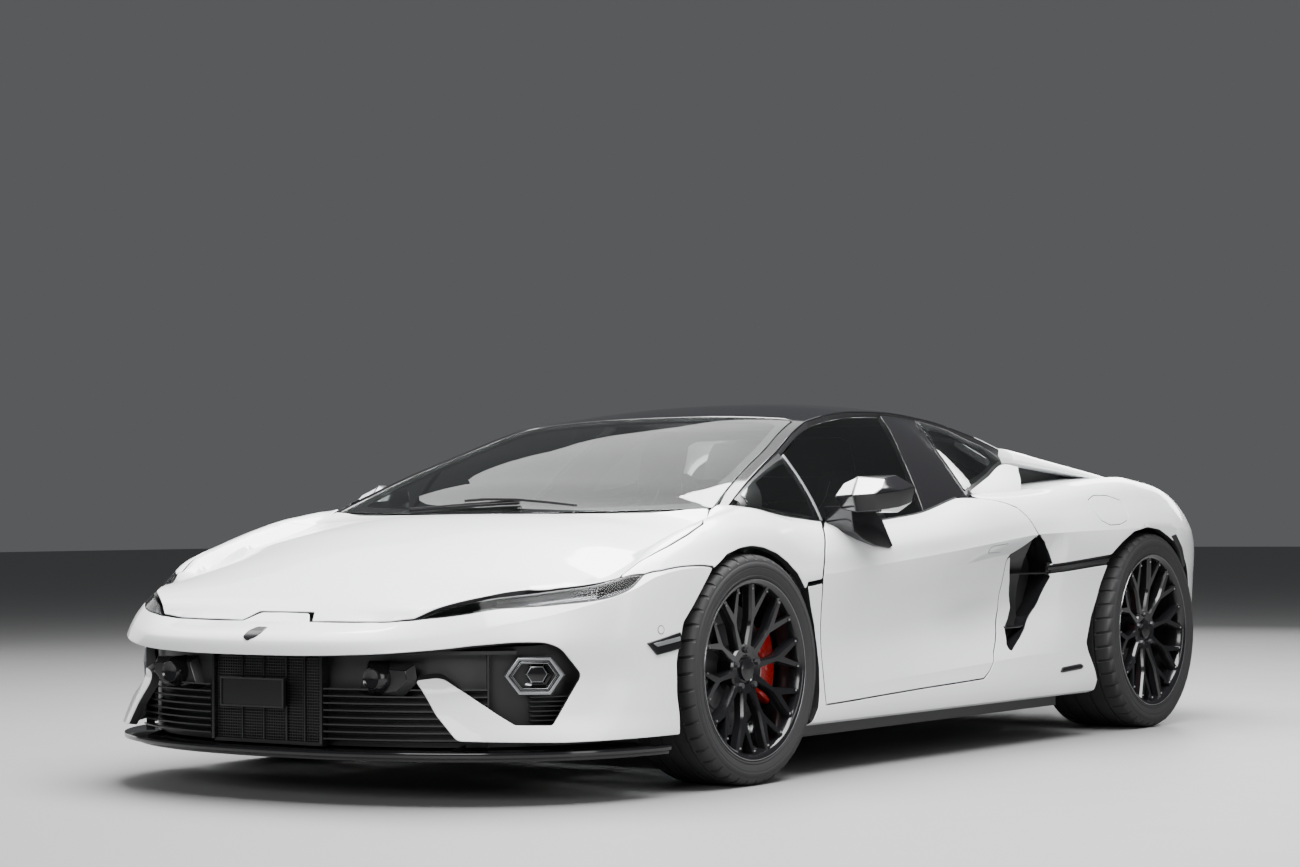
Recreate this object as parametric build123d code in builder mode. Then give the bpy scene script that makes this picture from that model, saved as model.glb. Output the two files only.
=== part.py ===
"""Mid-engined two-seat supercar. Millimetres, +X to the car's left, front towards -Y, ground at Z = 0."""
from build123d import *
from math import cos, hypot, radians, sin, sqrt, tan
import os

os.makedirs("parts", exist_ok=True)

# ------------------------------------------------------------------ driving dimensions
LENGTH, WIDTH, HEIGHT = 4706, 1996, 1201
WHEELBASE = 2658
FRONT_OVERHANG = 1140
FRONT_AXLE_Y = FRONT_OVERHANG - LENGTH / 2
REAR_AXLE_Y = FRONT_AXLE_Y + WHEELBASE
NOSE_Y, TAIL_Y = -LENGTH / 2, LENGTH / 2
HALF_WIDTH = WIDTH / 2
FRONT_TRACK, REAR_TRACK = 1722, 1670

# wheel sizes: tyre radius, tyre half width, flange radius, bead radius, disc radius
FRONT_WHEEL = {"tyre": 343, "half": 127, "flange": 271, "bead": 259, "disc": 200}
REAR_WHEEL = {"tyre": 364, "half": 162, "flange": 284, "bead": 272, "disc": 195}
KINGPIN_INBOARD = 50
KINGPIN_X = FRONT_TRACK / 2 - KINGPIN_INBOARD
FRONT_ARCH_R = 367
REAR_ARCH_R = 390
STEER_CLEAR_R = 396
STEER_ROOM_X = 938

SHUT_GAP = 5
BUMPER_WALL, FENDER_WALL, DOOR_WALL, SIDE_WALL = 26, 24, 70, 56
LID_WALL = 28
GLASS = 5
GROUND_CLEARANCE = 112

# ------------------------------------------------------------------ the body ring
# The skin follows a plan curve round the car: a superellipse nose, straight sides and a superellipse tail.
NOSE_BEND = {"start": NOSE_Y + 800, "depth": 800, "power": 2.3}
TAIL_BEND = {"start": TAIL_Y - 753, "depth": 753, "power": 2.4}

LINES = ("floor", "sill", "edge", "groove", "waist", "crease", "shoulder", "crown", "deck")
FLOOR, SILL, EDGE, GROOVE, WAIST, CREASE, SHOULDER, CROWN, DECK = range(len(LINES))

# Sections: ("nose", turn in degrees), ("side", y) or ("tail", turn), then (inset, height) of each line:
# floor, sill, edge, groove, waist in the first row and crease, shoulder, crown, deck in the second
SECTIONS = [
    (("nose", 90), (60, 150), (20, 168), (15, 250), (8, 330), (0, 412),
     (12, 455), (45, 478), (88, 494), (128, 506)),
    (("nose", 83), (60, 150), (20, 168), (15, 250), (8, 330), (0, 413),
     (12, 456), (45, 478), (85, 493), (122, 505)),
    (("nose", 75), (60, 150), (20, 168), (22, 250), (20, 330), (0, 415),
     (14, 458), (44, 480), (78, 496), (105, 508)),
    (("nose", 64), (60, 150), (18, 168), (30, 250), (60, 335), (8, 424),
     (26, 470), (56, 505), (80, 528), (102, 548)),
    (("nose", 50), (60, 150), (14, 168), (40, 250), (72, 340), (25, 438),
     (48, 500), (80, 545), (100, 567), (118, 586)),
    (("nose", 33), (60, 150), (12, 168), (45, 250), (66, 345), (62, 455),
     (90, 530), (118, 572), (140, 592), (160, 606)),
    (("nose", 14), (60, 150), (12, 168), (20, 250), (28, 345), (24, 465),
     (38, 590), (75, 624), (115, 628), (150, 622)),
    (("side", -1680), (60, 150), (12, 168), (10, 250), (11, 345), (14, 468),
     (26, 630), (66, 668), (120, 672), (160, 645)),
    (("side", -1553), (60, 150), (12, 168), (8, 250), (6, 345), (8, 470),
     (16, 648), (60, 700), (130, 720), (192, 690)),
    (("side", -1400), (60, 150), (14, 168), (8, 250), (5, 345), (6, 480),
     (12, 652), (58, 738), (132, 768), (198, 726)),
    (("side", -1213), (60, 150), (16, 168), (8, 250), (5, 340), (8, 480),
     (13, 655), (58, 775), (128, 808), (200, 777)),
    (("side", -1100), (60, 150), (18, 168), (10, 250), (8, 330), (12, 470),
     (14, 640), (50, 770), (115, 820), (172, 828)),
    (("side", -828), (60, 150), (22, 165), (16, 205), (20, 253), (34, 430),
     (22, 618), (34, 690), (80, 765), (136, 792)),
    (("side", -516), (60, 150), (22, 165), (14, 205), (20, 270), (48, 440),
     (18, 640), (30, 700), (72, 752), (130, 774)),
    (("side", -100), (60, 150), (22, 165), (14, 205), (22, 285), (72, 450),
     (13, 672), (24, 730), (70, 780), (130, 800)),
    (("side", 281), (60, 150), (22, 165), (14, 205), (24, 300), (96, 460),
     (13, 705), (24, 760), (72, 835), (138, 866)),
    (("side", 571), (60, 150), (22, 165), (14, 205), (22, 310), (70, 470),
     (9, 729), (28, 790), (80, 855), (142, 874)),
    (("side", 800), (60, 150), (20, 165), (12, 205), (18, 310), (30, 480),
     (6, 735), (34, 800), (84, 868), (145, 888)),
    (("side", 1050), (60, 150), (20, 165), (10, 205), (14, 310), (14, 490),
     (4, 740), (36, 815), (88, 892), (148, 915)),
    (("side", 1445), (60, 150), (20, 165), (10, 205), (9, 310), (6, 500),
     (0, 748), (38, 835), (92, 915), (152, 938)),
    (("side", 1600), (60, 150), (20, 165), (10, 205), (9, 310), (6, 500),
     (0, 745), (38, 830), (92, 905), (152, 926)),
    (("tail", 12), (70, 170), (30, 190), (20, 240), (14, 330), (8, 500),
     (8, 742), (42, 815), (95, 878), (150, 898)),
    (("tail", 36), (100, 210), (60, 230), (42, 290), (26, 400), (10, 550),
     (14, 735), (44, 790), (88, 832), (130, 846)),
    (("tail", 60), (120, 230), (80, 250), (50, 310), (26, 400), (6, 550),
     (12, 735), (34, 785), (60, 822), (95, 842)),
    (("tail", 90), (120, 240), (80, 260), (46, 320), (22, 400), (0, 550),
     (8, 735), (26, 785), (46, 822), (74, 842)),
]

# where the inner face of a wall lies from the outer one, in wall thicknesses (inward, up)
INWARD = ((1, 0), (1, 0), (1, 0), (1, 0), (1, 0), (1, -0.2), (0.8, -0.5), (0.5, -0.85), (0, -1))
DOWNWARD = ((0, -1),) * len(LINES)

# centre line of the top of the car: (y, z)
CENTRE = [(-2225, 506), (-2100, 575), (-1900, 658), (-1700, 727), (-1500, 780), (-1350, 806), (-1290, 812),
          (-1000, 915), (-700, 1027), (-450, 1107), (-250, 1157), (0, 1192), (180, HEIGHT), (400, 1190),
          (700, 1140), (1000, 1070), (1400, 975), (1800, 895), (2100, 862), (2290, 846)]
# outer edge of windscreen and roof: (y, x, z)
RAIL = [(-1096, 801, 824), (-900, 752, 912), (-650, 690, 1005), (-310, 598, 1118), (0, 572, 1155),
        (200, 570, 1158), (450, 585, 1140), (700, 640, 1085), (870, 690, 1026)]
# lower edge of the side windows behind the doors' tops: (y, x, z)
BELT_RISE = [(281, 860, 866), (450, 830, 925), (600, 796, 980), (690, 768, 1003)]

SCREEN_NOSE_Y = CENTRE[6][0]
SCREEN_CORNER_Y, SCREEN_CORNER_X, SCREEN_CORNER_Z = RAIL[0]
SCREEN_TOP_Y = -330
ROOF_END_Y = 720


def smooth(rows, column, at):
    """Value of one column of a table at a place along its first column, by a monotone cubic."""
    places = [row[0] for row in rows]
    values = [row[column] for row in rows]
    if at <= places[0]:
        return values[0]
    if at >= places[-1]:
        return values[-1]
    i = max(k for k in range(len(places) - 1) if places[k] <= at)
    span = [b - a for a, b in zip(places, places[1:])]
    rate = [(b - a) / s for a, b, s in zip(values, values[1:], span)]

    def slope(k):
        if k == 0:
            return rate[0]
        if k == len(rate):
            return rate[-1]
        if rate[k - 1] * rate[k] <= 0:
            return 0
        before, after = 2 * span[k] + span[k - 1], span[k] + 2 * span[k - 1]
        return (before + after) / (before / rate[k - 1] + after / rate[k])

    u = (at - places[i]) / span[i]
    start = (2 * u**3 - 3 * u**2 + 1) * values[i] + (u**3 - 2 * u**2 + u) * span[i] * slope(i)
    end = (3 * u**2 - 2 * u**3) * values[i + 1] + (u**3 - u**2) * span[i] * slope(i + 1)
    return start + end


def bend_point(bend, turn):
    """Point of a superellipse corner where the skin has turned by so many degrees from the car's side."""
    depth, power = bend["depth"], bend["power"]
    if turn <= 0:
        return HALF_WIDTH, 0
    if turn >= 90:
        return 0, depth
    ratio = (tan(radians(turn)) * (depth / HALF_WIDTH) ** power) ** (1 / (power - 1))
    x = HALF_WIDTH / (1 + (ratio * HALF_WIDTH / depth) ** power) ** (1 / power)
    return x, ratio * x


def bend_table(bend):
    """Rows of (length along the corner, x, distance past its start, turn)."""
    rows = []
    length = 0
    for turn in range(91):
        x, past = bend_point(bend, turn)
        if rows:
            length += hypot(x - rows[-1][1], past - rows[-1][2])
        rows.append((length, x, past, turn))
    return rows


NOSE_TABLE, TAIL_TABLE = bend_table(NOSE_BEND), bend_table(TAIL_BEND)


def along(place):
    """Distance along the ring of a section key; on the sides it is simply y."""
    kind, value = place
    if kind == "nose":
        return NOSE_BEND["start"] - NOSE_TABLE[value][0]
    if kind == "tail":
        return TAIL_BEND["start"] + TAIL_TABLE[value][0]
    return value


RING = [(along(row[0]),) + tuple(value for pair in row[1:] for value in pair) for row in SECTIONS]
RING_START, RING_END = RING[0][0], RING[-1][0]


def plan(s):
    """Base point and turn of the ring at distance s: (x, y, turn), turn negative at the nose."""
    if s < NOSE_BEND["start"]:
        back = NOSE_BEND["start"] - s
        x, past, turn = (smooth(NOSE_TABLE, column, back) for column in (1, 2, 3))
        return x, NOSE_BEND["start"] - past, -turn
    if s > TAIL_BEND["start"]:
        x, past, turn = (smooth(TAIL_TABLE, column, s - TAIL_BEND["start"]) for column in (1, 2, 3))
        return x, TAIL_BEND["start"] + past, turn
    return HALF_WIDTH, s, 0


def profile(s, line):
    """(inset, height) of a line at distance s along the ring."""
    return smooth(RING, 1 + 2 * line, s), smooth(RING, 2 + 2 * line, s)


def skin(s, line):
    """Point of the outer skin on a named line."""
    x, y, turn = plan(s)
    inset, height = profile(s, line)
    return x - inset * cos(radians(turn)), y - inset * sin(radians(turn)), height


def ring_plane(s):
    """Plane of a section: local x inward, local y up."""
    x, y, turn = plan(s)
    inward = (-cos(radians(turn)), -sin(radians(turn)), 0)
    return Plane(origin=(x, y, 0), x_dir=inward, z_dir=(inward[1], -inward[0], 0))


def wall_outline(s, first, last, wall, inward, outside):
    """Closed outline of a wall section between two lines."""
    outer = [profile(s, line) for line in range(first, last + 1)]
    inner = []
    for line, (inset, height) in zip(range(first, last + 1), outer):
        inner.append((inset + wall * inward[line][0], height + wall * inward[line][1]))
    outer = [(inset, height + outside) for inset, height in outer]
    return outer + inner[::-1]


def ring_wall(places, first, last, wall, inward=INWARD, outside=0):
    """Wall of the body ring through the given places, on the car's left side."""
    with BuildPart() as piece:
        for s in places:
            with BuildSketch(ring_plane(s)):
                with BuildLine():
                    Polyline(*wall_outline(s, first, last, wall, inward, outside), close=True)
                make_face()
        loft(ruled=True)
    return piece.part


def prism(outline, low, high, plane=Plane.YZ):
    """Solid of an outline on a plane, between two distances along its normal."""
    with BuildPart() as piece:
        with BuildSketch(plane.offset(low)):
            with BuildLine():
                Polyline(*outline, close=True)
            make_face()
        extrude(amount=high - low)
    return piece.part


def block(low, high):
    """Box between two corners."""
    size = [b - a for a, b in zip(low, high)]
    middle = tuple((a + b) / 2 for a, b in zip(low, high))
    with BuildPart() as piece:
        with Locations(middle):
            Box(*size)
    return piece.part


def rod(start, end, radius):
    """Round bar between two points."""
    with BuildPart() as piece:
        with BuildSketch(Plane(origin=start, z_dir=Vector(*end) - Vector(*start))):
            Circle(radius)
        extrude(amount=(Vector(*end) - Vector(*start)).length)
    return piece.part


def cross_plane(y):
    """Plane across the car: local x is X, local y is Z."""
    return Plane(origin=(0, y, 0), x_dir=(1, 0, 0), z_dir=(0, -1, 0))


def strips(places, outline, plane_at=cross_plane):
    """Ruled solid through closed outlines, one for each place along Y, or along X with long_plane."""
    with BuildPart() as piece:
        for place in places:
            with BuildSketch(plane_at(place)):
                with BuildLine():
                    Polyline(*outline(place), close=True)
                make_face()
        loft(ruled=True)
    return piece.part


def long_plane(x):
    """Plane along the car: local x is Y, local y is Z."""
    return Plane.YZ.offset(x)


def both_sides(solid):
    """The solid and its mirror image."""
    return [solid, mirror(solid, about=Plane.YZ)]


def save(part, name):
    part.label = name
    export_step(part, f"parts/{name}.step")


def steps(start, end, count):
    return [start + (end - start) * i / count for i in range(count + 1)]


# ------------------------------------------------------------------ heights of the top
def centre_height(y):
    return smooth(CENTRE, 1, y)


def rail(y):
    return smooth(RAIL, 1, y), smooth(RAIL, 2, y)


def deck_edge(y):
    """(x, z) of the ring's top line at a y, found along the ring."""
    low, high = (RING_START, 0) if y < 0 else (0, RING_END)
    for _ in range(40):
        middle = (low + high) / 2
        if skin(middle, DECK)[1] < y:
            low = middle
        else:
            high = middle
    x, _, z = skin(low, DECK)
    return x, z


def crowned(x, y, edge_x, edge_z, power=2.3):
    """Height of a crowned surface that falls from the centre line to an edge."""
    middle = centre_height(y)
    return middle + (edge_z - middle) * min(abs(x) / edge_x, 1) ** power


def bonnet_height(x, y):
    return crowned(x, y, *deck_edge(y), power=2.6)


def screen_edge(y):
    """(x, z) of the edge of the glass: its curved base first, then the rail."""
    if y >= SCREEN_CORNER_Y:
        return rail(y)
    part = (y - SCREEN_NOSE_Y) / (SCREEN_CORNER_Y - SCREEN_NOSE_Y)
    return SCREEN_CORNER_X * sqrt(max(part, 0.01)), 812 + (SCREEN_CORNER_Z - 812) * part


# ------------------------------------------------------------------ outlines, as (y, z)
DOOR = [(-828, 214), (-368, 221), (111, 241), (213, 256), (292, 307), (262, 358), (304, 465),
        (372, 624), (598, 724), (560, 775), (459, 821), (300, 855), (290, 1000), (-640, 1000),
        (-660, 788), (-736, 765), (-799, 690), (-828, 610)]
INTAKE = [(606, 712), (684, 624), (684, 583), (365, 326), (318, 350), (312, 400), (334, 480), (400, 614)]
REAR_ARCH_FRONT = [(967, 100), (987, 202), (957, 259), (919, 337), (962, 432), (1027, 549), (1078, 615),
                   (1123, 653), (1187, 695), (1285, 733), (REAR_AXLE_Y, 748), (REAR_AXLE_Y, 100)]
# bumper mouth, as (x, z), left half from the centre line outwards
MOUTH = [(0, 408), (400, 418), (620, 432), (760, 440), (835, 420), (905, 356), (830, 222), (736, 214),
         (620, 300), (540, 350), (478, 346), (584, 178), (0, 178)]
HEADLAMP_START, HEADLAMP_END = along(("nose", 70)), -1690
HEADLAMP_T, HEADLAMP_ROOM = 60, 90


def shifted(outline, amount):
    """Outline moved outwards by an amount, by moving each edge along its normal."""
    area = sum(a[0] * b[1] - b[0] * a[1] for a, b in zip(outline, outline[1:] + outline[:1]))
    sign = 1 if area > 0 else -1
    result = []
    for i, here in enumerate(outline):
        before, after = outline[i - 1], outline[(i + 1) % len(outline)]
        d1 = (here[0] - before[0], here[1] - before[1])
        d2 = (after[0] - here[0], after[1] - here[1])
        n1 = (sign * d1[1] / hypot(*d1), -sign * d1[0] / hypot(*d1))
        n2 = (sign * d2[1] / hypot(*d2), -sign * d2[0] / hypot(*d2))
        reach = amount / (1 + n1[0] * n2[0] + n1[1] * n2[1])
        result.append((here[0] + reach * (n1[0] + n2[0]), here[1] + reach * (n1[1] + n2[1])))
    return result


# the bonnet's side cut over the fender, as (x, y)
BONNET_CUT = [(884, -1672), (906, -1645), (912, -1560), (908, -1450), (893, -1352), (863, -1306),
              (800, -1195), (770, -1140), (700, -1140), (700, -1672)]
bonnet_hole = prism(shifted(BONNET_CUT, SHUT_GAP / 2), 500, 900, Plane.XY)
bonnet_side_body = prism(shifted(BONNET_CUT, -SHUT_GAP / 2), 500, 900, Plane.XY)

OUT = HALF_WIDTH + 60
# the door's cut leans, so that its edges leave the hole as it swings
DOOR_TAPER, DOOR_TRUE_X, DOOR_ROOM_X = 5, 960, 700
taper_growth = (OUT - DOOR_TRUE_X) * tan(radians(DOOR_TAPER))


def door_cut(amount):
    """The door's outline moved by an amount, as a solid that narrows inwards."""
    with BuildPart() as piece:
        with BuildSketch(Plane.YZ.offset(OUT)):
            with BuildLine():
                Polyline(*shifted(DOOR, amount + taper_growth), close=True)
            make_face()
        extrude(amount=DOOR_ROOM_X - OUT, taper=DOOR_TAPER)
    return piece.part


door_hole = door_cut(SHUT_GAP / 2)
door_body = door_cut(-SHUT_GAP / 2)
intake_hole = prism(INTAKE, 820, OUT)
rear_arch_hole = prism(REAR_ARCH_FRONT, 640, OUT)

# the steered wheel's sweep, inboard of the outer panels
with BuildPart() as steer_room:
    with BuildSketch():
        with Locations((KINGPIN_X, FRONT_AXLE_Y)):
            Circle(STEER_CLEAR_R)
        with Locations((STEER_ROOM_X + 250, FRONT_AXLE_Y)):
            Rectangle(500, 900, mode=Mode.SUBTRACT)
    extrude(amount=600)

with BuildPart() as wheel_room:
    with BuildSketch(Plane.YZ.offset(560)):
        with Locations((FRONT_AXLE_Y, FRONT_WHEEL["tyre"])):
            Circle(FRONT_ARCH_R)
        with Locations((REAR_AXLE_Y, REAR_WHEEL["tyre"])):
            Circle(REAR_ARCH_R)
    extrude(amount=OUT - 560)
    add(steer_room.part)
    with Locations((FRONT_TRACK / 2, FRONT_AXLE_Y, 150)):
        Box(2 * OUT - FRONT_TRACK, 2 * FRONT_ARCH_R, 300)

# ------------------------------------------------------------------ front bumper, splitter and grille
nose_places = [along(("nose", turn)) for turn in (90, 83, 75, 64, 57, 50, 41, 33, 24, 14)]
bumper_places = nose_places + [-1680, -1600, -1500, -1440]

upper_nose = ring_wall(nose_places + [-1680], FLOOR, DECK, BUMPER_WALL)
side_nose = ring_wall(bumper_places[-4:], FLOOR, CREASE, BUMPER_WALL)
lamp_places = [s for s in nose_places if s >= HEADLAMP_START] + [HEADLAMP_END]
lamp_hole = ring_wall(lamp_places, SHOULDER, DECK, HEADLAMP_ROOM, DOWNWARD, HEADLAMP_T)
FRONT_VIEW = Plane(origin=(0, 0, 0), x_dir=(1, 0, 0), z_dir=(0, -1, 0))
mouth_hole = prism(MOUTH, 1700, 2500, FRONT_VIEW)

# daytime lamp: a long hexagon in the outer end of the mouth, as (along, up) on its own plane
MARKER_AT, MARKER_DEPTH, MARKER_PLAY, MARKER_ROOM = (771, -1994, 357), 70, 3, 20
MARKER_FACE = Plane(origin=MARKER_AT, x_dir=(0.80, 0.60, 0), z_dir=(0.60, -0.80, 0))
MARKER = [(-92, 0), (-50, -56), (42, -56), (82, 2), (44, 56), (-52, 56)]
with BuildPart() as marker_room:
    with BuildSketch(MARKER_FACE.offset(MARKER_ROOM)):
        with BuildLine():
            Polyline(*shifted(MARKER, MARKER_PLAY), close=True)
        make_face()
    extrude(amount=-MARKER_DEPTH - 2 * MARKER_ROOM)

with BuildPart() as nose_half:
    add(upper_nose)
    add(side_nose)
    add(lamp_hole, mode=Mode.SUBTRACT)
    add(mouth_hole, mode=Mode.SUBTRACT)
    add(marker_room.part, mode=Mode.SUBTRACT)
    add(wheel_room.part, mode=Mode.SUBTRACT)

with BuildPart() as front_bumper:
    add(both_sides(nose_half.part))
save(front_bumper.part, "front_bumper")

SPLITTER_Z, SPLITTER_T = 138, 10
SPLITTER_REAR_Y, SPLITTER_REAR_X, SPLITTER_HALF = -1640, 560, 905
splitter_edge = [skin(s, SILL)[:2] for s in bumper_places[:11]]
splitter_edge += [(SPLITTER_HALF, SPLITTER_REAR_Y), (SPLITTER_REAR_X, SPLITTER_REAR_Y)]
splitter_edge += [(-x, y) for x, y in splitter_edge[:0:-1]]
with BuildPart() as front_splitter:
    with BuildSketch(Plane.XY.offset(SPLITTER_Z)):
        with BuildLine():
            Polyline(*splitter_edge, close=True)
        make_face()
    extrude(amount=SPLITTER_T)
save(front_splitter.part, "front_splitter")

GRILLE_DEPTH, GRILLE_WALL, GRILLE_LOW, GRILLE_HIGH = 120, 12, 150, 455
SLAT_LENGTH, SLAT_T, SLAT_DEPTH = 420, 6, 14
POD_X, POD_Z, POD_R, POD_REACH = 397, 353, 34, 60
grille_outline = [(GRILLE_DEPTH, GRILLE_LOW), (GRILLE_DEPTH, GRILLE_HIGH),
                  (GRILLE_DEPTH + GRILLE_WALL, GRILLE_HIGH), (GRILLE_DEPTH + GRILLE_WALL, GRILLE_LOW)]
with BuildPart() as grille_half:
    grille_places = [along(("nose", turn)) for turn in (90, 83, 75, 64, 50, 30)]
    for s in grille_places:
        with BuildSketch(ring_plane(s)):
            with BuildLine():
                Polyline(*grille_outline, close=True)
            make_face()
    loft(ruled=True)
    add(marker_room.part, mode=Mode.SUBTRACT)
with BuildPart() as front_grille:
    add(both_sides(grille_half.part))
    for z in steps(200, 400, 8):
        with Locations((0, NOSE_Y + GRILLE_DEPTH - 5, z)):
            Box(SLAT_LENGTH, SLAT_DEPTH, SLAT_T)
    with Locations(*[(x, NOSE_Y + GRILLE_DEPTH - 8, 300) for x in (-SLAT_LENGTH / 2, SLAT_LENGTH / 2)]):
        Box(8, 26, 260)
    with BuildSketch(FRONT_VIEW.offset(-NOSE_Y - GRILLE_DEPTH - 30)):
        with Locations((-POD_X, POD_Z), (POD_X, POD_Z)):
            Circle(POD_R)
    extrude(amount=POD_REACH + 30)
save(front_grille.part, "front_grille")

# ------------------------------------------------------------------ lamps
with BuildPart() as headlamp_left:
    add(ring_wall(lamp_places, SHOULDER, DECK, HEADLAMP_T, DOWNWARD))
with BuildPart() as headlamps:
    add(both_sides(headlamp_left.part))
save(headlamps.part, "headlamps")

with BuildPart() as marker_left:
    with BuildSketch(MARKER_FACE):
        with BuildLine():
            Polyline(*MARKER, close=True)
        make_face()
    extrude(amount=-MARKER_DEPTH)
with BuildPart() as marker_lamps:
    add(both_sides(marker_left.part))
save(marker_lamps.part, "marker_lamps")

# ------------------------------------------------------------------ fenders
fender_places = bumper_places[-4:] + [-1400, -1306, -1213, -1156, -1100, -1010, -920, -828, -740, -640]
# the corner that fills the place between bonnet, windscreen and window, as (x, y)
fender_corner = prism([(790, -1206), (838, -1100), (801, -1086), (766, -1122)], 768, 812, Plane.XY)
below_crease = prism([(-1000, 500), (-600, 500), (-600, 604), (-1000, 604)], 700, OUT)
with BuildPart() as fender_left:
    add(ring_wall(fender_places, CREASE, DECK, FENDER_WALL))
    add(fender_corner)
    add(door_hole, mode=Mode.SUBTRACT)
    add(below_crease, mode=Mode.SUBTRACT)
    add(bonnet_hole, mode=Mode.SUBTRACT)
    add(wheel_room.part, mode=Mode.SUBTRACT)
save(fender_left.part, "fender_left")
save(mirror(fender_left.part, about=Plane.YZ), "fender_right")

# ------------------------------------------------------------------ sides: sill, front post and rear quarter
side_places = [-1000, -910, -828, -672, -516, -300, -100, 90, 281, 426, 571, 685, 800, 925, 1050, 1250,
               1445, 1600, along(("tail", 12)), along(("tail", 24))]
# the place of the fender's top, as (y, z)
FENDER_TOP = [(-1100, 600), (-805, 600), (-780, 680), (-718, 750), (-630, 770), (-630, 1000), (-1100, 1000)]
front_top = prism(FENDER_TOP, 700, OUT)
with BuildPart() as side_left:
    add(ring_wall(side_places, FLOOR, DECK, SIDE_WALL))
    add(door_hole, mode=Mode.SUBTRACT)
    add(intake_hole, mode=Mode.SUBTRACT)
    add(rear_arch_hole, mode=Mode.SUBTRACT)
    add(wheel_room.part, mode=Mode.SUBTRACT)
    add(front_top, mode=Mode.SUBTRACT)
save(side_left.part, "side_left")
save(mirror(side_left.part, about=Plane.YZ), "side_right")

# ------------------------------------------------------------------ doors
door_places = [-860, -828, -672, -516, -300, -100, 90, 281, 426, 571, 640]
with BuildPart() as door_left:
    add(ring_wall(door_places, EDGE, DECK, DOOR_WALL))
    add(door_body, mode=Mode.INTERSECT)
save(door_left.part, "door_left")
save(mirror(door_left.part, about=Plane.YZ), "door_right")


# ------------------------------------------------------------------ bonnet: sections along Y at each x
BONNET_X = [0, 217, 380, 542, 677, 751, 795, 818]
BONNET_END_Y = {795: (-1745, -1240), 818: (-1725, -1600)}


def deck_line_y(x, places):
    """y of the ring's deck line at an x, from the sections of the nose or the tail."""
    rows = sorted(skin(s, DECK)[:2] for s in places)
    return smooth(rows, 1, x)


def bonnet_rear_y(x):
    return SCREEN_NOSE_Y + (SCREEN_CORNER_Y - SCREEN_NOSE_Y) * (x / SCREEN_CORNER_X) ** 2 - 16


def bonnet_section(x):
    ends = (deck_line_y(abs(x), nose_places) + SHUT_GAP, bonnet_rear_y(abs(x)))
    front, rear = BONNET_END_Y.get(abs(x), ends)
    top = [(y, bonnet_height(x, y)) for y in steps(front, rear, 7)]
    under = [(y, z - LID_WALL) for y, z in top]
    under[0] = (under[0][0] + min(22, (rear - front) / 14), under[0][1])
    return top + under[::-1]


bonnet_side = [skin(s, DECK)[:2] for s in nose_places[1:] + bumper_places[-4:] + [-1400, -1306, -1245]]
bonnet_side = [(x - SHUT_GAP, y + SHUT_GAP * (1 - x / HALF_WIDTH)) for x, y in bonnet_side]
BONNET_REAR = [(781, -1210), (758, -1122), (758, -1000), (0, -1000)]
bonnet_left = [(0, bonnet_side[0][1])] + bonnet_side + BONNET_REAR
# the strip that joins the bonnet's top to the piece that reaches over the fender
JOINT_START_Y, JOINT_END_Y, JOINT_IN_X, JOINT_OUT_X = -1665, -1250, 784, 806
with BuildPart() as bonnet_edge:
    add(ring_wall(fender_places[:7], SHOULDER, DECK, LID_WALL))
    add(bonnet_side_body, mode=Mode.INTERSECT)
joint_outline = [(y, skin(y, DECK)[2]) for y in steps(JOINT_START_Y, JOINT_END_Y, 8)]
joint_outline += [(y, z - LID_WALL) for y, z in joint_outline[::-1]]
bonnet_joint = prism(joint_outline, JOINT_IN_X, JOINT_OUT_X)
with BuildPart() as bonnet_room:
    add(both_sides(prism(bonnet_left, 400, 900, Plane.XY)))
with BuildPart() as bonnet:
    add(strips(sorted(set(BONNET_X + [-x for x in BONNET_X])), bonnet_section, long_plane))
    add(bonnet_room.part, mode=Mode.INTERSECT)
    add(both_sides(bonnet_joint))
    add(both_sides(bonnet_edge.part))
save(bonnet.part, "bonnet")

# ------------------------------------------------------------------ windscreen, roof and its pillars
PILLAR, PILLAR_DROP, PILLAR_T = 44, 2, 34
ROOF_WALL = 30
ACROSS = (-1, -0.7, -0.35, 0, 0.35, 0.7, 1)


def screen_section(y):
    edge_x, edge_z = screen_edge(y)
    half = edge_x - PILLAR if y > SCREEN_CORNER_Y else edge_x * (1 - PILLAR / SCREEN_CORNER_X)
    top = [(part * half, crowned(part * half, y, edge_x, edge_z)) for part in ACROSS]
    return top + [(x, z - GLASS - 2) for x, z in top[::-1]]


def roof_section(y):
    edge_x, edge_z = rail(y)
    top = [(part * edge_x, crowned(part * edge_x, y, edge_x, edge_z)) for part in ACROSS]
    return top + [(x * 0.97, z - ROOF_WALL) for x, z in top[::-1]]


def pillar_section(y):
    edge_x, edge_z = rail(y)
    inner = edge_x - PILLAR + 1
    top = crowned(inner, y, edge_x, edge_z) - PILLAR_DROP
    return [(edge_x - PILLAR_DROP, edge_z - PILLAR_DROP), (inner, top), (inner, top - PILLAR_T),
            (edge_x - 8, edge_z - PILLAR_T)]


def belt(y):
    """(x, z) where the side glass meets the body."""
    if y > BELT_RISE[0][0]:
        return smooth(BELT_RISE, 1, y), smooth(BELT_RISE, 2, y)
    x, _, z = skin(y, DECK)
    return x, z


def post_section(y):
    (low_x, low_z), (top_x, top_z) = belt(y), rail(y)
    return [(low_x - 12, low_z - 40), (top_x - 8, top_z - 20),
            (top_x - 46, top_z - 26), (low_x - 52, low_z - 40)]


SCREEN_PLACES = [-1284, -1255, -1210, -1160, -1096, -1000, -900, -775, -650, -480, SCREEN_TOP_Y - 4]
with BuildPart() as windscreen:
    add(strips(SCREEN_PLACES, screen_section))
save(windscreen.part, "windscreen")

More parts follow.
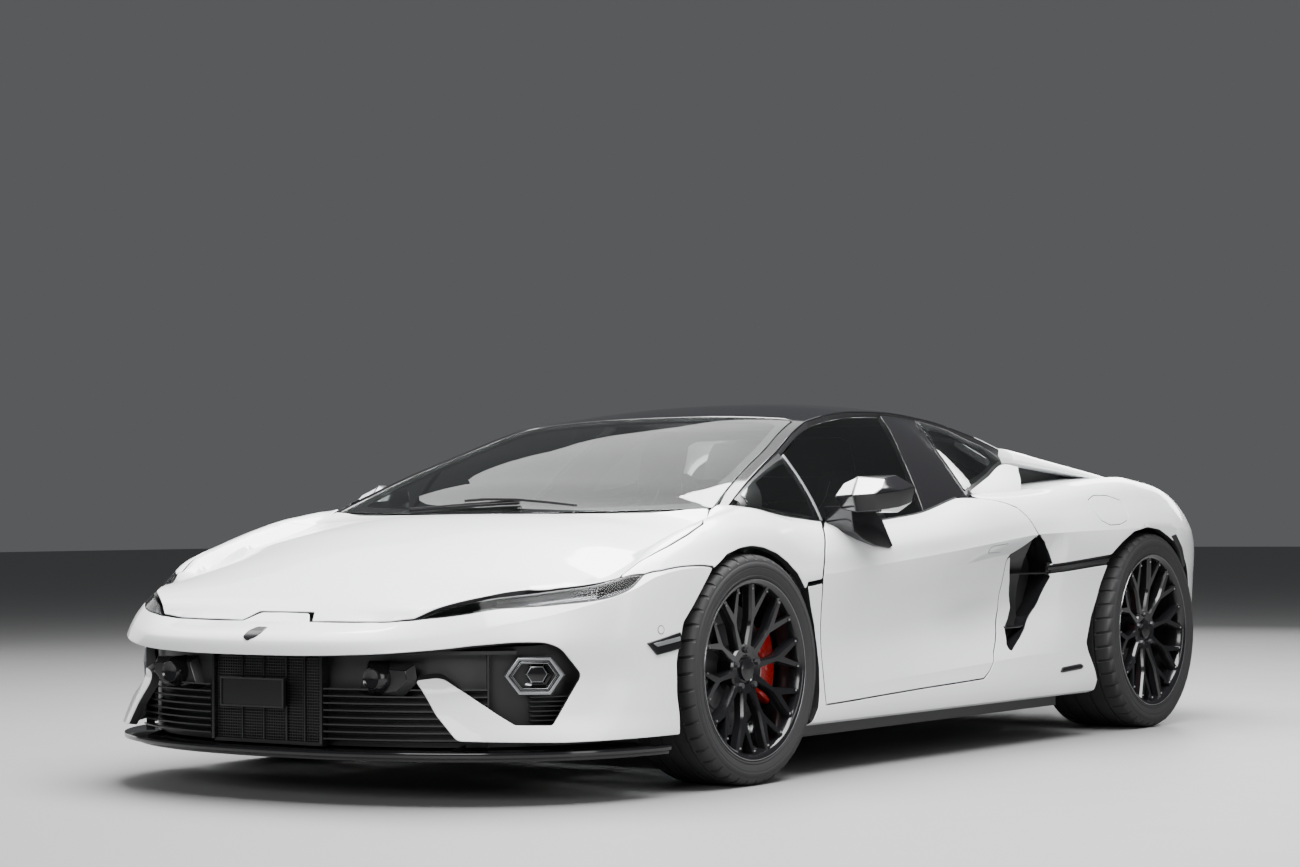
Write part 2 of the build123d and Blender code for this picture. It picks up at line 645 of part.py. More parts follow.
roof_skin = strips([SCREEN_TOP_Y, -160, 0, 200, 450, 600, ROOF_END_Y], roof_section)
a_pillar = strips([-1090, -1000, -900, -775, -650, -480, SCREEN_TOP_Y + 12], pillar_section)
b_pillar = strips([258, 282], post_section)
with BuildPart() as roof:
    add(roof_skin)
    add(both_sides(a_pillar))
    add(both_sides(b_pillar))
save(roof.part, "roof")

# ------------------------------------------------------------------ side glass
DIVIDER_LOW_Y, DIVIDER_TOP_Y = -655, -560


def pane(low, top):
    return [low, top, (top[0] - GLASS, top[1] - 1), (low[0] - GLASS, low[1] - 1)]


def glass_edges(y):
    (low_x, low_z), (top_x, top_z) = belt(y), rail(y)
    return (low_x - 14, low_z + 3), (top_x - 3, top_z - 42)


def between(low, top, part):
    return tuple(a + (b - a) * part for a, b in zip(low, top))


def divider_part(y, margin):
    return min(max((y - margin - DIVIDER_LOW_Y) / (DIVIDER_TOP_Y - DIVIDER_LOW_Y), 0.03), 1)


def door_glass_section(y):
    low, top = glass_edges(y)
    return pane(low, between(low, top, divider_part(y, 0)))


def front_light_section(y):
    low, top = glass_edges(y)
    if y > DIVIDER_LOW_Y:
        low = between(low, top, divider_part(y, -12))
    return pane(low, top)


with BuildPart() as door_glass_left:
    add(strips([-652, -600, DIVIDER_TOP_Y, -310, -100, 90, 250], door_glass_section))
save(door_glass_left.part, "door_glass_left")
save(mirror(door_glass_left.part, about=Plane.YZ), "door_glass_right")

front_light = strips([-975, -900, -775, DIVIDER_LOW_Y, -620, -585], front_light_section)
rear_light = strips([287, 370, 450, 540, 620], lambda y: pane(*glass_edges(y)))
with BuildPart() as side_lights:
    add(both_sides(front_light))
    add(both_sides(rear_light))
save(side_lights.part, "side_lights")

# ------------------------------------------------------------------ engine cover and rear deck
COVER_FRONT_Y, COVER_REAR_Y = ROOF_END_Y + SHUT_GAP, 2090
# (y, half width, edge height) of the engine cover
COVER_EDGE = [(720, 560, 1078), (1000, 575, 990), (1400, 590, 918), (1800, 598, 872), (2100, 600, 850)]


def cover_edge(y):
    return smooth(COVER_EDGE, 1, y), smooth(COVER_EDGE, 2, y)


def cover_section(y):
    half, edge_z = cover_edge(y)
    top = [(part * half, crowned(part * half, y, half, edge_z)) for part in ACROSS]
    return top + [(x * 0.98, z - LID_WALL) for x, z in top[::-1]]


with BuildPart() as engine_cover:
    add(strips([COVER_FRONT_Y, 860, 1000, 1200, 1400, 1800, COVER_REAR_Y], cover_section))
    chamfer_cut = [(COVER_REAR_Y - 20, 700), (COVER_REAR_Y + 5, 700), (COVER_REAR_Y + 5, 850),
                   (COVER_REAR_Y, 850)]
    add(prism(chamfer_cut, -700, 700), mode=Mode.SUBTRACT)
save(engine_cover.part, "engine_cover")

DECK_WALL = 22
SIDE_DECK_X = [606, 690, 774, 833]
SIDE_DECK_Y = {606: (730, 2128), 690: (730, 2060), 774: (760, 1950), 833: (900, 1771)}
TAIL_DECK_X = [0, 300, 500, 606]


def rear_deck_height(x, y):
    (half, cover_z), (deck_x, deck_z) = cover_edge(y), deck_edge(y)
    valley = min(cover_z - 6, deck_z + 6)
    part = min(max((x - half) / (deck_x - half), 0), 1)
    return valley + (deck_z - valley) * part


def side_deck_section(x):
    top = [(y, rear_deck_height(x, y)) for y in steps(*SIDE_DECK_Y[x], 6)]
    return top + [(y, z - DECK_WALL) for y, z in top[::-1]]


def tail_deck_section(x):
    start, end = COVER_REAR_Y + SHUT_GAP, deck_line_y(x, tail_places)
    top = [(y, crowned(x, y, 606, rear_deck_height(606, y))) for y in steps(start, end, 3)]
    top[-1] = (end, smooth(tail_deck_rows, 2, x))
    return top + [(y, z - DECK_WALL) for y, z in top[::-1]]


tail_places = [along(("tail", turn)) for turn in (24, 36, 48, 60, 75, 90)]
tail_deck_rows = sorted((skin(s, DECK)[0], skin(s, DECK)[1], skin(s, DECK)[2]) for s in tail_places)
tail_deck_half = strips(TAIL_DECK_X, tail_deck_section, long_plane)
side_deck = strips(SIDE_DECK_X, side_deck_section, long_plane)
# buttress rows: y, inner x, outer x, top, underside
BUTTRESS = [(664, 656, 792, 1050, 980), (740, 656, 772, 1060, 982), (870, 662, 778, 1030, 972),
            (1050, 702, 812, 975, 950), (1200, 744, 838, 940, 915)]


def buttress_section(y):
    inner, outer, top, under = (smooth(BUTTRESS, column, y) for column in (1, 2, 3, 4))
    return [(inner, top), ((inner + outer) / 2, top), (outer, under + 12), (outer, under), (inner, under)]


def sail_section(y):
    (low_x, _, low_z), (top_x, top_z) = skin(y, DECK), belt(y)
    return [(low_x - 2, low_z - 30), (top_x, top_z), (top_x - 26, top_z - 4), (low_x - 28, low_z - 30)]


sail = strips([296, 370, 450, 520, 600, 676], sail_section)
buttress = strips([row[0] for row in BUTTRESS], buttress_section)
tail_line = [(x - SHUT_GAP, y - SHUT_GAP) for x, y, _ in (skin(s, DECK) for s in tail_places)]
deck_left = [(0, 0), (1000, 0), (1000, tail_line[0][1])] + tail_line[:-1] + [(0, tail_line[-1][1])]
with BuildPart() as deck_room:
    add(both_sides(prism(deck_left, 500, 1000, Plane.XY)))
with BuildPart() as rear_deck:
    add(both_sides(side_deck))
    add(both_sides(tail_deck_half))
    add(deck_room.part, mode=Mode.INTERSECT)
    add(both_sides(sail))
    add(both_sides(buttress))
save(rear_deck.part, "rear_deck")

# ------------------------------------------------------------------ rear bumper, lamps, exhausts and diffuser
rear_places = [along(("tail", 24))] + tail_places[1:]
TAIL_LAMP_LOW, TAIL_LAMP_HIGH = 655, 716
EXHAUST_X, EXHAUST_Z, EXHAUST_R = 190, 545, 62
REAR_VIEW = Plane(origin=(0, 0, 0), x_dir=(-1, 0, 0), z_dir=(0, 1, 0))


def ring_band(places, near, far, low, high):
    """Upright band inside the ring, between two insets and two heights, on the car's left side."""
    with BuildPart() as piece:
        for s in places:
            with BuildSketch(ring_plane(s)):
                with BuildLine():
                    Polyline((near, low), (near, high), (far, high), (far, low), close=True)
                make_face()
        loft(ruled=True)
    return piece.part


rear_half = ring_wall(rear_places, FLOOR, DECK, BUMPER_WALL)
lamp_slot = ring_band(rear_places[2:], -30, 90, TAIL_LAMP_LOW, TAIL_LAMP_HIGH)
with BuildPart() as rear_bumper:
    add(both_sides(rear_half))
    add(both_sides(lamp_slot), mode=Mode.SUBTRACT)
    with BuildSketch(REAR_VIEW.offset(2100)):
        with Locations((-EXHAUST_X, EXHAUST_Z), (EXHAUST_X, EXHAUST_Z)):
            Circle(EXHAUST_R + 8)
    extrude(amount=400, mode=Mode.SUBTRACT)
save(rear_bumper.part, "rear_bumper")

with BuildPart() as tail_lamps:
    add(both_sides(ring_band(rear_places[2:], 20, 60, TAIL_LAMP_LOW, TAIL_LAMP_HIGH)))
save(tail_lamps.part, "tail_lamps")

EXHAUST_START_Y, EXHAUST_END_Y, SILENCER_LENGTH = 1990, 2335, 130
# width, height and corner radius
SILENCER = (560, 150, 60)
with BuildPart() as exhausts:
    with BuildSketch(REAR_VIEW.offset(EXHAUST_START_Y)):
        with Locations((-EXHAUST_X, EXHAUST_Z), (EXHAUST_X, EXHAUST_Z)):
            Circle(EXHAUST_R)
            Circle(EXHAUST_R - 5, mode=Mode.SUBTRACT)
    extrude(amount=EXHAUST_END_Y - EXHAUST_START_Y)
    with BuildSketch(REAR_VIEW.offset(EXHAUST_START_Y - SILENCER_LENGTH)):
        with Locations((0, EXHAUST_Z)):
            RectangleRounded(*SILENCER)
    extrude(amount=SILENCER_LENGTH)
save(exhausts.part, "exhausts")

# diffuser: floor that rises to the tail, with upright fins, as (y, z)
DIFFUSER = [(1830, 128), (2215, 212), (2215, 222), (1830, 140)]
DIFFUSER_FIN = [(1900, 120), (2210, 150), (2210, 215), (1860, 140)]
DIFFUSER_HALF, FIN_REACH, FIN_T = 540, 450, 8
with BuildPart() as diffuser:
    add(prism(DIFFUSER, -DIFFUSER_HALF, DIFFUSER_HALF))
    for x in steps(-FIN_REACH, FIN_REACH, 4):
        add(prism(DIFFUSER_FIN, x - FIN_T / 2, x + FIN_T / 2))
save(diffuser.part, "diffuser")

# ------------------------------------------------------------------ mirrors and side ducts
# mirror head: outlines as (x, y) at three heights; the foot stands on the door
MIRROR_LEVELS = [
    (812, [(955, -680), (1065, -690), (1105, -615), (1108, -560), (975, -575)]),
    (862, [(932, -700), (1080, -712), (1121, -620), (1123, -545), (958, -558)]),
    (922, [(985, -680), (1060, -690), (1080, -630), (1085, -575), (1000, -580)]),
]
MIRROR_FOOT = [(-640, 742), (-520, 704), (-430, 700), (-478, 780), (-600, 828), (-668, 828)]

with BuildPart() as mirror_head:
    for height, outline in MIRROR_LEVELS:
        with BuildSketch(Plane.XY.offset(height)):
            with BuildLine():
                Polyline(*outline, close=True)
            make_face()
    loft(ruled=True)
door_room = ring_wall(door_places[:5], EDGE, DECK, 120, outside=0.3)
with BuildPart() as mirror_left:
    add(mirror_head.part)
    add(prism(MIRROR_FOOT, 880, 975))
    add(door_room, mode=Mode.SUBTRACT)
save(mirror_left.part, "mirror_left")
save(mirror(mirror_left.part, about=Plane.YZ), "mirror_right")

DUCT_BACK_X, DUCT_BLADE_X, DUCT_T, BLADE_LENGTH, BLADE_T = 850, 895, 12, 90, 8
# (y, z) of the blades' middles
DUCT_BLADES = [(430, 420), (532, 590)]
with BuildPart() as duct_left:
    add(prism(shifted(INTAKE, -3), DUCT_BACK_X, DUCT_BACK_X + DUCT_T))
    for y, z in DUCT_BLADES:
        with Locations(((DUCT_BACK_X + DUCT_BLADE_X) / 2, y, z)):
            Box(DUCT_BLADE_X - DUCT_BACK_X, BLADE_LENGTH, BLADE_T)
with BuildPart() as side_ducts:
    add(both_sides(duct_left.part))
save(side_ducts.part, "side_ducts")

# ------------------------------------------------------------------ wheels
SPOKES, SPOKE_T, SPOKE_FACE = 10, 30, 42
HUB_R, SPINDLE_R, SPINDLE_PLAY, SPINDLE_LENGTH = 72, 25, 0.08, 60
RIM_WALL, RIM_LIP = 12, 5
DISC_INNER_X, DISC_T = 18, 30


def wheel_plane(x, y, z):
    """Plane whose normal is the left wheel's outward axis."""
    return Plane(origin=(x, y, z), x_dir=(0, 1, 0), z_dir=(1, 0, 0))


def make_tyre(size, y, track):
    radius, half, bead, flange = size["tyre"], size["half"], size["bead"], size["flange"]
    bead_half = half - 8
    side = [(bead, bead_half), (flange + 4, bead_half), (radius - 48, half), (radius - 18, half - 4),
            (radius, half - 24)]
    outline = side + [(r, -x) for r, x in side[::-1]]
    with BuildPart() as piece:
        with BuildSketch(Plane(origin=(track / 2, y, radius), x_dir=(0, 1, 0), z_dir=(0, 0, 1))):
            with BuildLine():
                Polyline(*outline, close=True)
            make_face()
        revolve(axis=Axis((track / 2, y, radius), (1, 0, 0)))
    return piece.part


def make_rim(size, y, track):
    radius, half, bead, flange = size["tyre"], size["half"], size["bead"], size["flange"]
    bead_half = half - 8
    side = [(bead, bead_half), (flange, bead_half), (flange, bead_half + RIM_LIP),
            (bead - RIM_WALL, bead_half + RIM_LIP)]
    outline = side + [(r, -x) for r, x in side[::-1]]
    face = half - 14
    centre = Plane(origin=(track / 2, y, radius), x_dir=(0, 1, 0), z_dir=(0, 0, 1))
    with BuildPart() as piece:
        with BuildSketch(centre):
            with BuildLine():
                Polyline(*outline, close=True)
            make_face()
        revolve(axis=Axis((track / 2, y, radius), (1, 0, 0)))
        with BuildSketch(mode=Mode.PRIVATE) as spoke:
            with BuildLine():
                Polyline((40, -10), (150, -13), (bead - 4, -38), (bead - 4, -22), (165, 0), (bead - 4, 22),
                         (bead - 4, 38), (150, 13), (40, 10), close=True)
            make_face()
        with BuildSketch(wheel_plane(track / 2 + face - SPOKE_FACE, y, radius)):
            with PolarLocations(0, SPOKES):
                add(spoke.sketch)
            Circle(HUB_R)
        extrude(amount=SPOKE_T)
        with BuildSketch(wheel_plane(track / 2 - DISC_INNER_X, y, radius)):
            Circle(HUB_R)
        extrude(amount=face - 20)
        with BuildSketch(wheel_plane(track / 2 - DISC_INNER_X, y, radius)):
            Circle(size["disc"])
        extrude(amount=DISC_T)
        with BuildSketch(wheel_plane(track / 2 - DISC_INNER_X, y, radius)):
            Circle(SPINDLE_R + SPINDLE_PLAY)
        extrude(amount=SPINDLE_LENGTH, mode=Mode.SUBTRACT)
    return piece.part


for axle, size, y, track in (("front", FRONT_WHEEL, FRONT_AXLE_Y, FRONT_TRACK),
                             ("rear", REAR_WHEEL, REAR_AXLE_Y, REAR_TRACK)):
    tyre, rim = make_tyre(size, y, track), make_rim(size, y, track)
    save(tyre, f"tyre_{axle}_left")
    save(mirror(tyre, about=Plane.YZ), f"tyre_{axle}_right")
    save(rim, f"rim_{axle}_left")
    save(mirror(rim, about=Plane.YZ), f"rim_{axle}_right")

# ------------------------------------------------------------------ uprights, calipers and suspension arms
CALIPER_CLEAR, CALIPER_PAD, EAR_T = 5, 30, 16
CALIPER_ARC, CALIPER_OVER, CALIPER_UNDER = 32, 26, 62
UPRIGHT_BACK = DISC_INNER_X + CALIPER_CLEAR + CALIPER_PAD + EAR_T
JOINT_R, JOINT_PLAY, ARM_RISE = 11, 0.08, 120
JOINT_BOSS = (56, 44, 30)
UPRIGHT_CLEAR, UPRIGHT_T, UPRIGHT_R = 8, 34, 58
EAR_AT, EAR_LENGTH, EAR_HEIGHT = 95, 160, 60


def make_caliper(size, y, track, side):
    """Brake caliper round the disc's rim; side is +1 behind the hub and -1 ahead of it."""
    x, disc = track / 2, size["disc"]
    with BuildPart() as piece:
        with BuildSketch(wheel_plane(x - DISC_INNER_X - CALIPER_CLEAR - CALIPER_PAD, y, size["tyre"])):
            with BuildLine():
                arc = [radians(a) for a in steps(-CALIPER_ARC, CALIPER_ARC, 6)]
                over, under = disc + CALIPER_OVER, disc - CALIPER_UNDER
                outer = [(side * over * cos(a), over * sin(a)) for a in arc]
                inner = [(side * under * cos(a), under * sin(a)) for a in arc]
                Polyline(*outer, *inner[::-1], close=True)
            make_face()
        extrude(amount=CALIPER_PAD + DISC_T + 2 * CALIPER_CLEAR + CALIPER_OVER)
        with BuildSketch(wheel_plane(x - DISC_INNER_X - CALIPER_CLEAR, y, size["tyre"])):
            Circle(disc + CALIPER_CLEAR)
        extrude(amount=DISC_T + 2 * CALIPER_CLEAR, mode=Mode.SUBTRACT)
    return piece.part


def make_upright(size, y, track, side, with_joints):
    """Bearing carrier inboard of the disc, with its spindle in the hub and an ear for the caliper."""
    x, z = track / 2, size["tyre"]
    face = x - DISC_INNER_X - UPRIGHT_CLEAR
    with BuildPart() as piece:
        with BuildSketch(wheel_plane(face - UPRIGHT_T, y, z)):
            Circle(UPRIGHT_R)
            Rectangle(UPRIGHT_R, 2 * ARM_RISE + 26)
        extrude(amount=UPRIGHT_T)
        with BuildSketch(wheel_plane(x - UPRIGHT_BACK, y, z)):
            Circle(UPRIGHT_R - 8)
            with Locations((side * EAR_AT, 0)):
                Rectangle(EAR_LENGTH, EAR_HEIGHT)
        extrude(amount=EAR_T)
        with BuildSketch(wheel_plane(face, y, z)):
            Circle(SPINDLE_R)
        extrude(amount=SPINDLE_LENGTH)
        if with_joints:
            for rise in (-ARM_RISE, ARM_RISE):
                with Locations((KINGPIN_X - 3, y, z + rise)):
                    Box(*JOINT_BOSS)
                with BuildSketch(Plane.XY.offset(z + rise - JOINT_BOSS[2])):
                    with Locations((KINGPIN_X, y)):
                        Circle(JOINT_R + JOINT_PLAY)
                extrude(amount=2 * JOINT_BOSS[2], mode=Mode.SUBTRACT)
    return piece.part


knuckle = make_upright(FRONT_WHEEL, FRONT_AXLE_Y, FRONT_TRACK, 1, True)
front_caliper = make_caliper(FRONT_WHEEL, FRONT_AXLE_Y, FRONT_TRACK, 1)
for side, about in (("left", None), ("right", Plane.YZ)):
    save(mirror(knuckle, about=about) if about else knuckle, f"knuckle_{side}")
    save(mirror(front_caliper, about=about) if about else front_caliper, f"front_caliper_{side}")

rear_upright = make_upright(REAR_WHEEL, REAR_AXLE_Y, REAR_TRACK, -1, False)
with BuildPart() as rear_uprights:
    add(both_sides(rear_upright))
save(rear_uprights.part, "rear_uprights")
with BuildPart() as rear_calipers:
    add(both_sides(make_caliper(REAR_WHEEL, REAR_AXLE_Y, REAR_TRACK, -1)))
save(rear_calipers.part, "rear_calipers")

RAIL_X, RAIL_HALF, GEARBOX_X, SHAFT_R = 380, 28, 180, 16
ARM_THICKNESS, ARM_GAP, PIN_REACH = 20, 5, 12
# half of a front wishbone, as (x, distance ahead of the axle)
FRONT_ARM = [(RAIL_X, 150), (KINGPIN_X - 20, 20), (KINGPIN_X + 16, 12)]
FRONT_ARM_INNER = [(KINGPIN_X - 110, 0), (RAIL_X, 90)]


def front_arm(rise):
    """Wishbone from the front rail to a ball joint on the steering axis."""
    z = FRONT_WHEEL["tyre"] + rise
    sign = 1 if rise < 0 else -1
    boss = z - sign * JOINT_BOSS[2] / 2
    outline = [(x, FRONT_AXLE_Y - ahead) for x, ahead in FRONT_ARM]
    outline += [(x, FRONT_AXLE_Y + ahead) for x, ahead in FRONT_ARM[::-1] + FRONT_ARM_INNER[::-1]]
    outline += [(x, FRONT_AXLE_Y - ahead) for x, ahead in FRONT_ARM_INNER[1:]]
    with BuildPart() as piece:
        with BuildSketch(Plane.XY.offset(boss - (ARM_THICKNESS + ARM_GAP if sign > 0 else -ARM_GAP))):
            with BuildLine():
                Polyline(*outline, close=True)
            make_face()
        extrude(amount=ARM_THICKNESS)
        with BuildSketch(Plane.XY.offset(min(boss - sign * 2 * ARM_GAP, z + sign * PIN_REACH))):
            with Locations((KINGPIN_X, FRONT_AXLE_Y)):
                Circle(JOINT_R)
        extrude(amount=JOINT_BOSS[2] / 2 + 2 * ARM_GAP + PIN_REACH)
    return piece.part


with BuildPart() as front_suspension:
    add(both_sides(front_arm(-ARM_RISE)))
    add(both_sides(front_arm(ARM_RISE)))
save(front_suspension.part, "front_suspension")

rear_face = REAR_TRACK / 2 - DISC_INNER_X - UPRIGHT_CLEAR - UPRIGHT_T
# half of a rear wishbone, as (x, distance from the axle)
REAR_ARM = [(RAIL_X, 160), (rear_face, 28)]
REAR_ARM_INNER = [(RAIL_X, 100), (rear_face - 90, 0)]
rear_arm_outline = [(x, REAR_AXLE_Y - past) for x, past in REAR_ARM]
rear_arm_outline += [(x, REAR_AXLE_Y + past) for x, past in REAR_ARM[::-1] + REAR_ARM_INNER]
rear_arm_outline += [(x, REAR_AXLE_Y - past) for x, past in REAR_ARM_INNER[:1]]
with BuildPart() as rear_arm:
    for rise in (-ARM_RISE, ARM_RISE):
        with BuildSketch(Plane.XY.offset(REAR_WHEEL["tyre"] + rise - ARM_THICKNESS / 2)):
            with BuildLine():
                Polyline(*rear_arm_outline, close=True)
            make_face()
        extrude(amount=ARM_THICKNESS)
with BuildPart() as rear_suspension:
    add(both_sides(rear_arm.part))
    shaft_start = (GEARBOX_X, REAR_AXLE_Y, REAR_WHEEL["tyre"])
    shaft_end = (REAR_TRACK / 2 - UPRIGHT_BACK, REAR_AXLE_Y, REAR_WHEEL["tyre"])
    add(both_sides(rod(shaft_start, shaft_end, SHAFT_R)))
save(rear_suspension.part, "rear_suspension")

# ------------------------------------------------------------------ tub, engine and front boot
CABIN_FRONT_Y, CABIN_REAR_Y = -905, 300
FLOOR_Z, FLOOR_T = GROUND_CLEARANCE, 24
SILL_IN_X, SILL_OUT_X, POST_X = 690, 874, 816
WALL = 26

tub_blocks = [
    # low corner, high corner
    ((-SILL_IN_X, -800, FLOOR_Z), (SILL_IN_X, 900, FLOOR_Z + FLOOR_T)),
    ((-560, 900, FLOOR_Z), (560, 1700, FLOOR_Z + FLOOR_T)),
    ((-560, -930, FLOOR_Z), (560, -800, FLOOR_Z + FLOOR_T)),
    ((-560, -930, FLOOR_Z), (560, -930 + WALL, 760)),
    ((-640, CABIN_REAR_Y, FLOOR_Z), (640, CABIN_REAR_Y + WALL, 850)),
    ((-90, -904, FLOOR_Z), (90, CABIN_REAR_Y, 420)),
    ((-RAIL_X, -2120, 200), (RAIL_X, -2080, 330)),
]
side_blocks = [
    ((SILL_IN_X - 10, -800, FLOOR_Z), (SILL_OUT_X, 880, 205)),
    ((550, -800, FLOOR_Z), (POST_X, -770, 700)),
    ((550, -930, 640), (700, -770, 700)),
    ((640, CABIN_REAR_Y, 140), (POST_X, CABIN_REAR_Y + WALL, 820)),
    ((POST_X - 36, 256, 140), (POST_X, CABIN_REAR_Y + 2, 820)),
    ((RAIL_X - 2 * RAIL_HALF, -2110, 190), (RAIL_X, -904, 246)),
    ((RAIL_X - 2 * RAIL_HALF, -1420, 436), (RAIL_X, -1000, 492)),
    ((RAIL_X - 2 * RAIL_HALF, -1440, 190), (RAIL_X, -1384, 492)),
    ((RAIL_X - 2 * RAIL_HALF, -1042, 190), (RAIL_X, -986, 492)),
    ((RAIL_X - 2 * RAIL_HALF, 1230, FLOOR_Z), (RAIL_X, 1810, 260)),
    ((RAIL_X - 2 * RAIL_HALF, 1230, 458), (RAIL_X, 1830, 510)),
    ((RAIL_X - 2 * RAIL_HALF, 1230, FLOOR_Z), (RAIL_X, 1280, 510)),
    ((RAIL_X - 2 * RAIL_HALF, 1610, FLOOR_Z), (RAIL_X, 1660, 510)),
    ((RAIL_X - 2 * RAIL_HALF, 1780, 236), (RAIL_X, 2130, 290)),
]
with BuildPart() as tub:
    for low, high in tub_blocks:
        add(block(low, high))
    for low, high in side_blocks:
        add(both_sides(block(low, high)))
    add(block((-RAIL_X, 2120, 244), (RAIL_X, 2150, 290)))
save(tub.part, "tub")

with BuildPart() as engine_block:
    add(block((-310, 420, FLOOR_Z + FLOOR_T), (310, 1180, 640)))
    add(block((-GEARBOX_X, 1180, 200), (GEARBOX_X, 1560, 500)))
save(engine_block.part, "engine_block")

BOOT_LOW, BOOT_HIGH, BOOT_WALL = (-310, -1840, 260), (310, -1010, 640), 12
with BuildPart() as front_boot:
    add(block(BOOT_LOW, BOOT_HIGH))
    inner_low = [v + BOOT_WALL for v in BOOT_LOW]
    inner_high = (BOOT_HIGH[0] - BOOT_WALL, BOOT_HIGH[1] - BOOT_WALL, BOOT_HIGH[2] + 10)
    add(block(inner_low, inner_high), mode=Mode.SUBTRACT)
save(front_boot.part, "front_boot")

LINER_T = 4
FRONT_LINER = [(-402, 0), (-402, 140), (-335, 235), (-235, 325), (-120, 362), (120, 362), (235, 325),
               (335, 235), (402, 140), (402, 0)]
front_liner = [(FRONT_AXLE_Y + y, FRONT_WHEEL["tyre"] + z) for y, z in FRONT_LINER]
LINER_IN_X, LINER_OUT_X, LINER_FOOT_Z, REAR_LINER_R, REAR_LINER_LENGTH = 570, 812, 300, 404, 300
with BuildPart() as liner_left:
    add(prism(shifted(front_liner, LINER_T), LINER_IN_X, LINER_OUT_X))
    lower = [(y, z - 1) if z == FRONT_WHEEL["tyre"] else (y, z) for y, z in front_liner]
    lower = [(lower[0][0], LINER_FOOT_Z)] + lower + [(lower[-1][0], LINER_FOOT_Z)]
    add(prism(lower, LINER_IN_X, LINER_OUT_X), mode=Mode.SUBTRACT)
    with BuildSketch(Plane.YZ.offset(LINER_IN_X)):
        with Locations((REAR_AXLE_Y, REAR_WHEEL["tyre"])):
            Circle(REAR_LINER_R + LINER_T)
            Circle(REAR_LINER_R, mode=Mode.SUBTRACT)
            with Locations((0, -REAR_LINER_R)):
                Rectangle(3 * REAR_LINER_R, 2 * REAR_LINER_R, mode=Mode.SUBTRACT)
    extrude(amount=REAR_LINER_LENGTH)
with BuildPart() as arch_liners:
    add(both_sides(liner_left.part))
save(arch_liners.part, "arch_liners")

# ------------------------------------------------------------------ cabin
DASHBOARD = [(-900, 640), (-760, 800), (-640, 800), (-560, 730), (-560, 600), (-640, 520), (-900, 520)]
DASHBOARD_HALF = 545
with BuildPart() as dashboard:
    add(prism(DASHBOARD, -DASHBOARD_HALF, DASHBOARD_HALF))
save(dashboard.part, "dashboard")

SEAT_X, SEAT_HALF = 370, 235
# seat, its side bolsters and its rails: outlines as (y, z)
SEAT = [(-420, 240), (-430, 330), (-330, 362), (60, 318), (170, 560), (232, 880), (262, 960), (296, 950),
        (290, 700), (240, 300), (150, 220), (-300, 200)]
CUSHION_BOLSTER = [(-350, 300), (-330, 420), (30, 400), (60, 340)]
BACK_BOLSTER = [(40, 340), (60, 520), (150, 800), (230, 840), (180, 560), (120, 340)]
SEAT_RAIL = [(-360, FLOOR_Z + FLOOR_T), (-360, 236), (120, 236), (120, FLOOR_Z + FLOOR_T)]
BOLSTER_T, SEAT_RAIL_T, SEAT_RAIL_OFF = 60, 40, 140
with BuildPart() as seat_left:
    add(prism(SEAT, SEAT_X - SEAT_HALF, SEAT_X + SEAT_HALF))
    for x in (SEAT_X - SEAT_HALF, SEAT_X + SEAT_HALF - BOLSTER_T):
        add(prism(CUSHION_BOLSTER, x, x + BOLSTER_T))
        add(prism(BACK_BOLSTER, x, x + BOLSTER_T))
    for x in (SEAT_X - SEAT_RAIL_OFF, SEAT_X + SEAT_RAIL_OFF):
        add(prism(SEAT_RAIL, x - SEAT_RAIL_T / 2, x + SEAT_RAIL_T / 2))
save(seat_left.part, "seat_left")
save(mirror(seat_left.part, about=Plane.YZ), "seat_right")

WHEEL_CENTRE, WHEEL_TILT = (SEAT_X, -430, 690), 22
WHEEL_R, WHEEL_RIM, WHEEL_BOSS_R, COLUMN_R, COLUMN_LENGTH = 178, 28, 52, 26, 190
wheel_axis = (0, cos(radians(WHEEL_TILT)), sin(radians(WHEEL_TILT)))
steering_plane = Plane(origin=WHEEL_CENTRE, x_dir=(1, 0, 0), z_dir=wheel_axis)
with BuildPart() as steering_wheel:
    with BuildSketch(steering_plane.offset(-12)):
        Circle(WHEEL_R)
        Circle(WHEEL_R - WHEEL_RIM, mode=Mode.SUBTRACT)
        Rectangle(2 * (WHEEL_R - WHEEL_RIM) + 10, 40)
        with Locations((0, -WHEEL_R / 2)):
            Rectangle(36, WHEEL_R - WHEEL_RIM)
        Circle(WHEEL_BOSS_R)
    extrude(amount=24)
    with BuildSketch(steering_plane.offset(-COLUMN_LENGTH - 10)):
        Circle(COLUMN_R)
    extrude(amount=COLUMN_LENGTH)
    add(dashboard.part, mode=Mode.SUBTRACT)
steering_wheel_solid = steering_wheel.part.solids().sort_by(SortBy.VOLUME)[-1]
save(Part() + steering_wheel_solid, "steering_wheel")
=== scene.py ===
"""White mid-engined sports car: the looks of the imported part, drawn over its frame.

Lengths inside the script are millimetres, as on a car maker's drawing; make_mesh turns them into metres.
X points to the car's left, Y to its tail and Z up.
"""

from math import cos, hypot, pi, radians, sin

import bmesh
import bpy
import numpy as np
from mathutils import Matrix, Vector
from mathutils.geometry import delaunay_2d_cdt
from mathutils.kdtree import KDTree


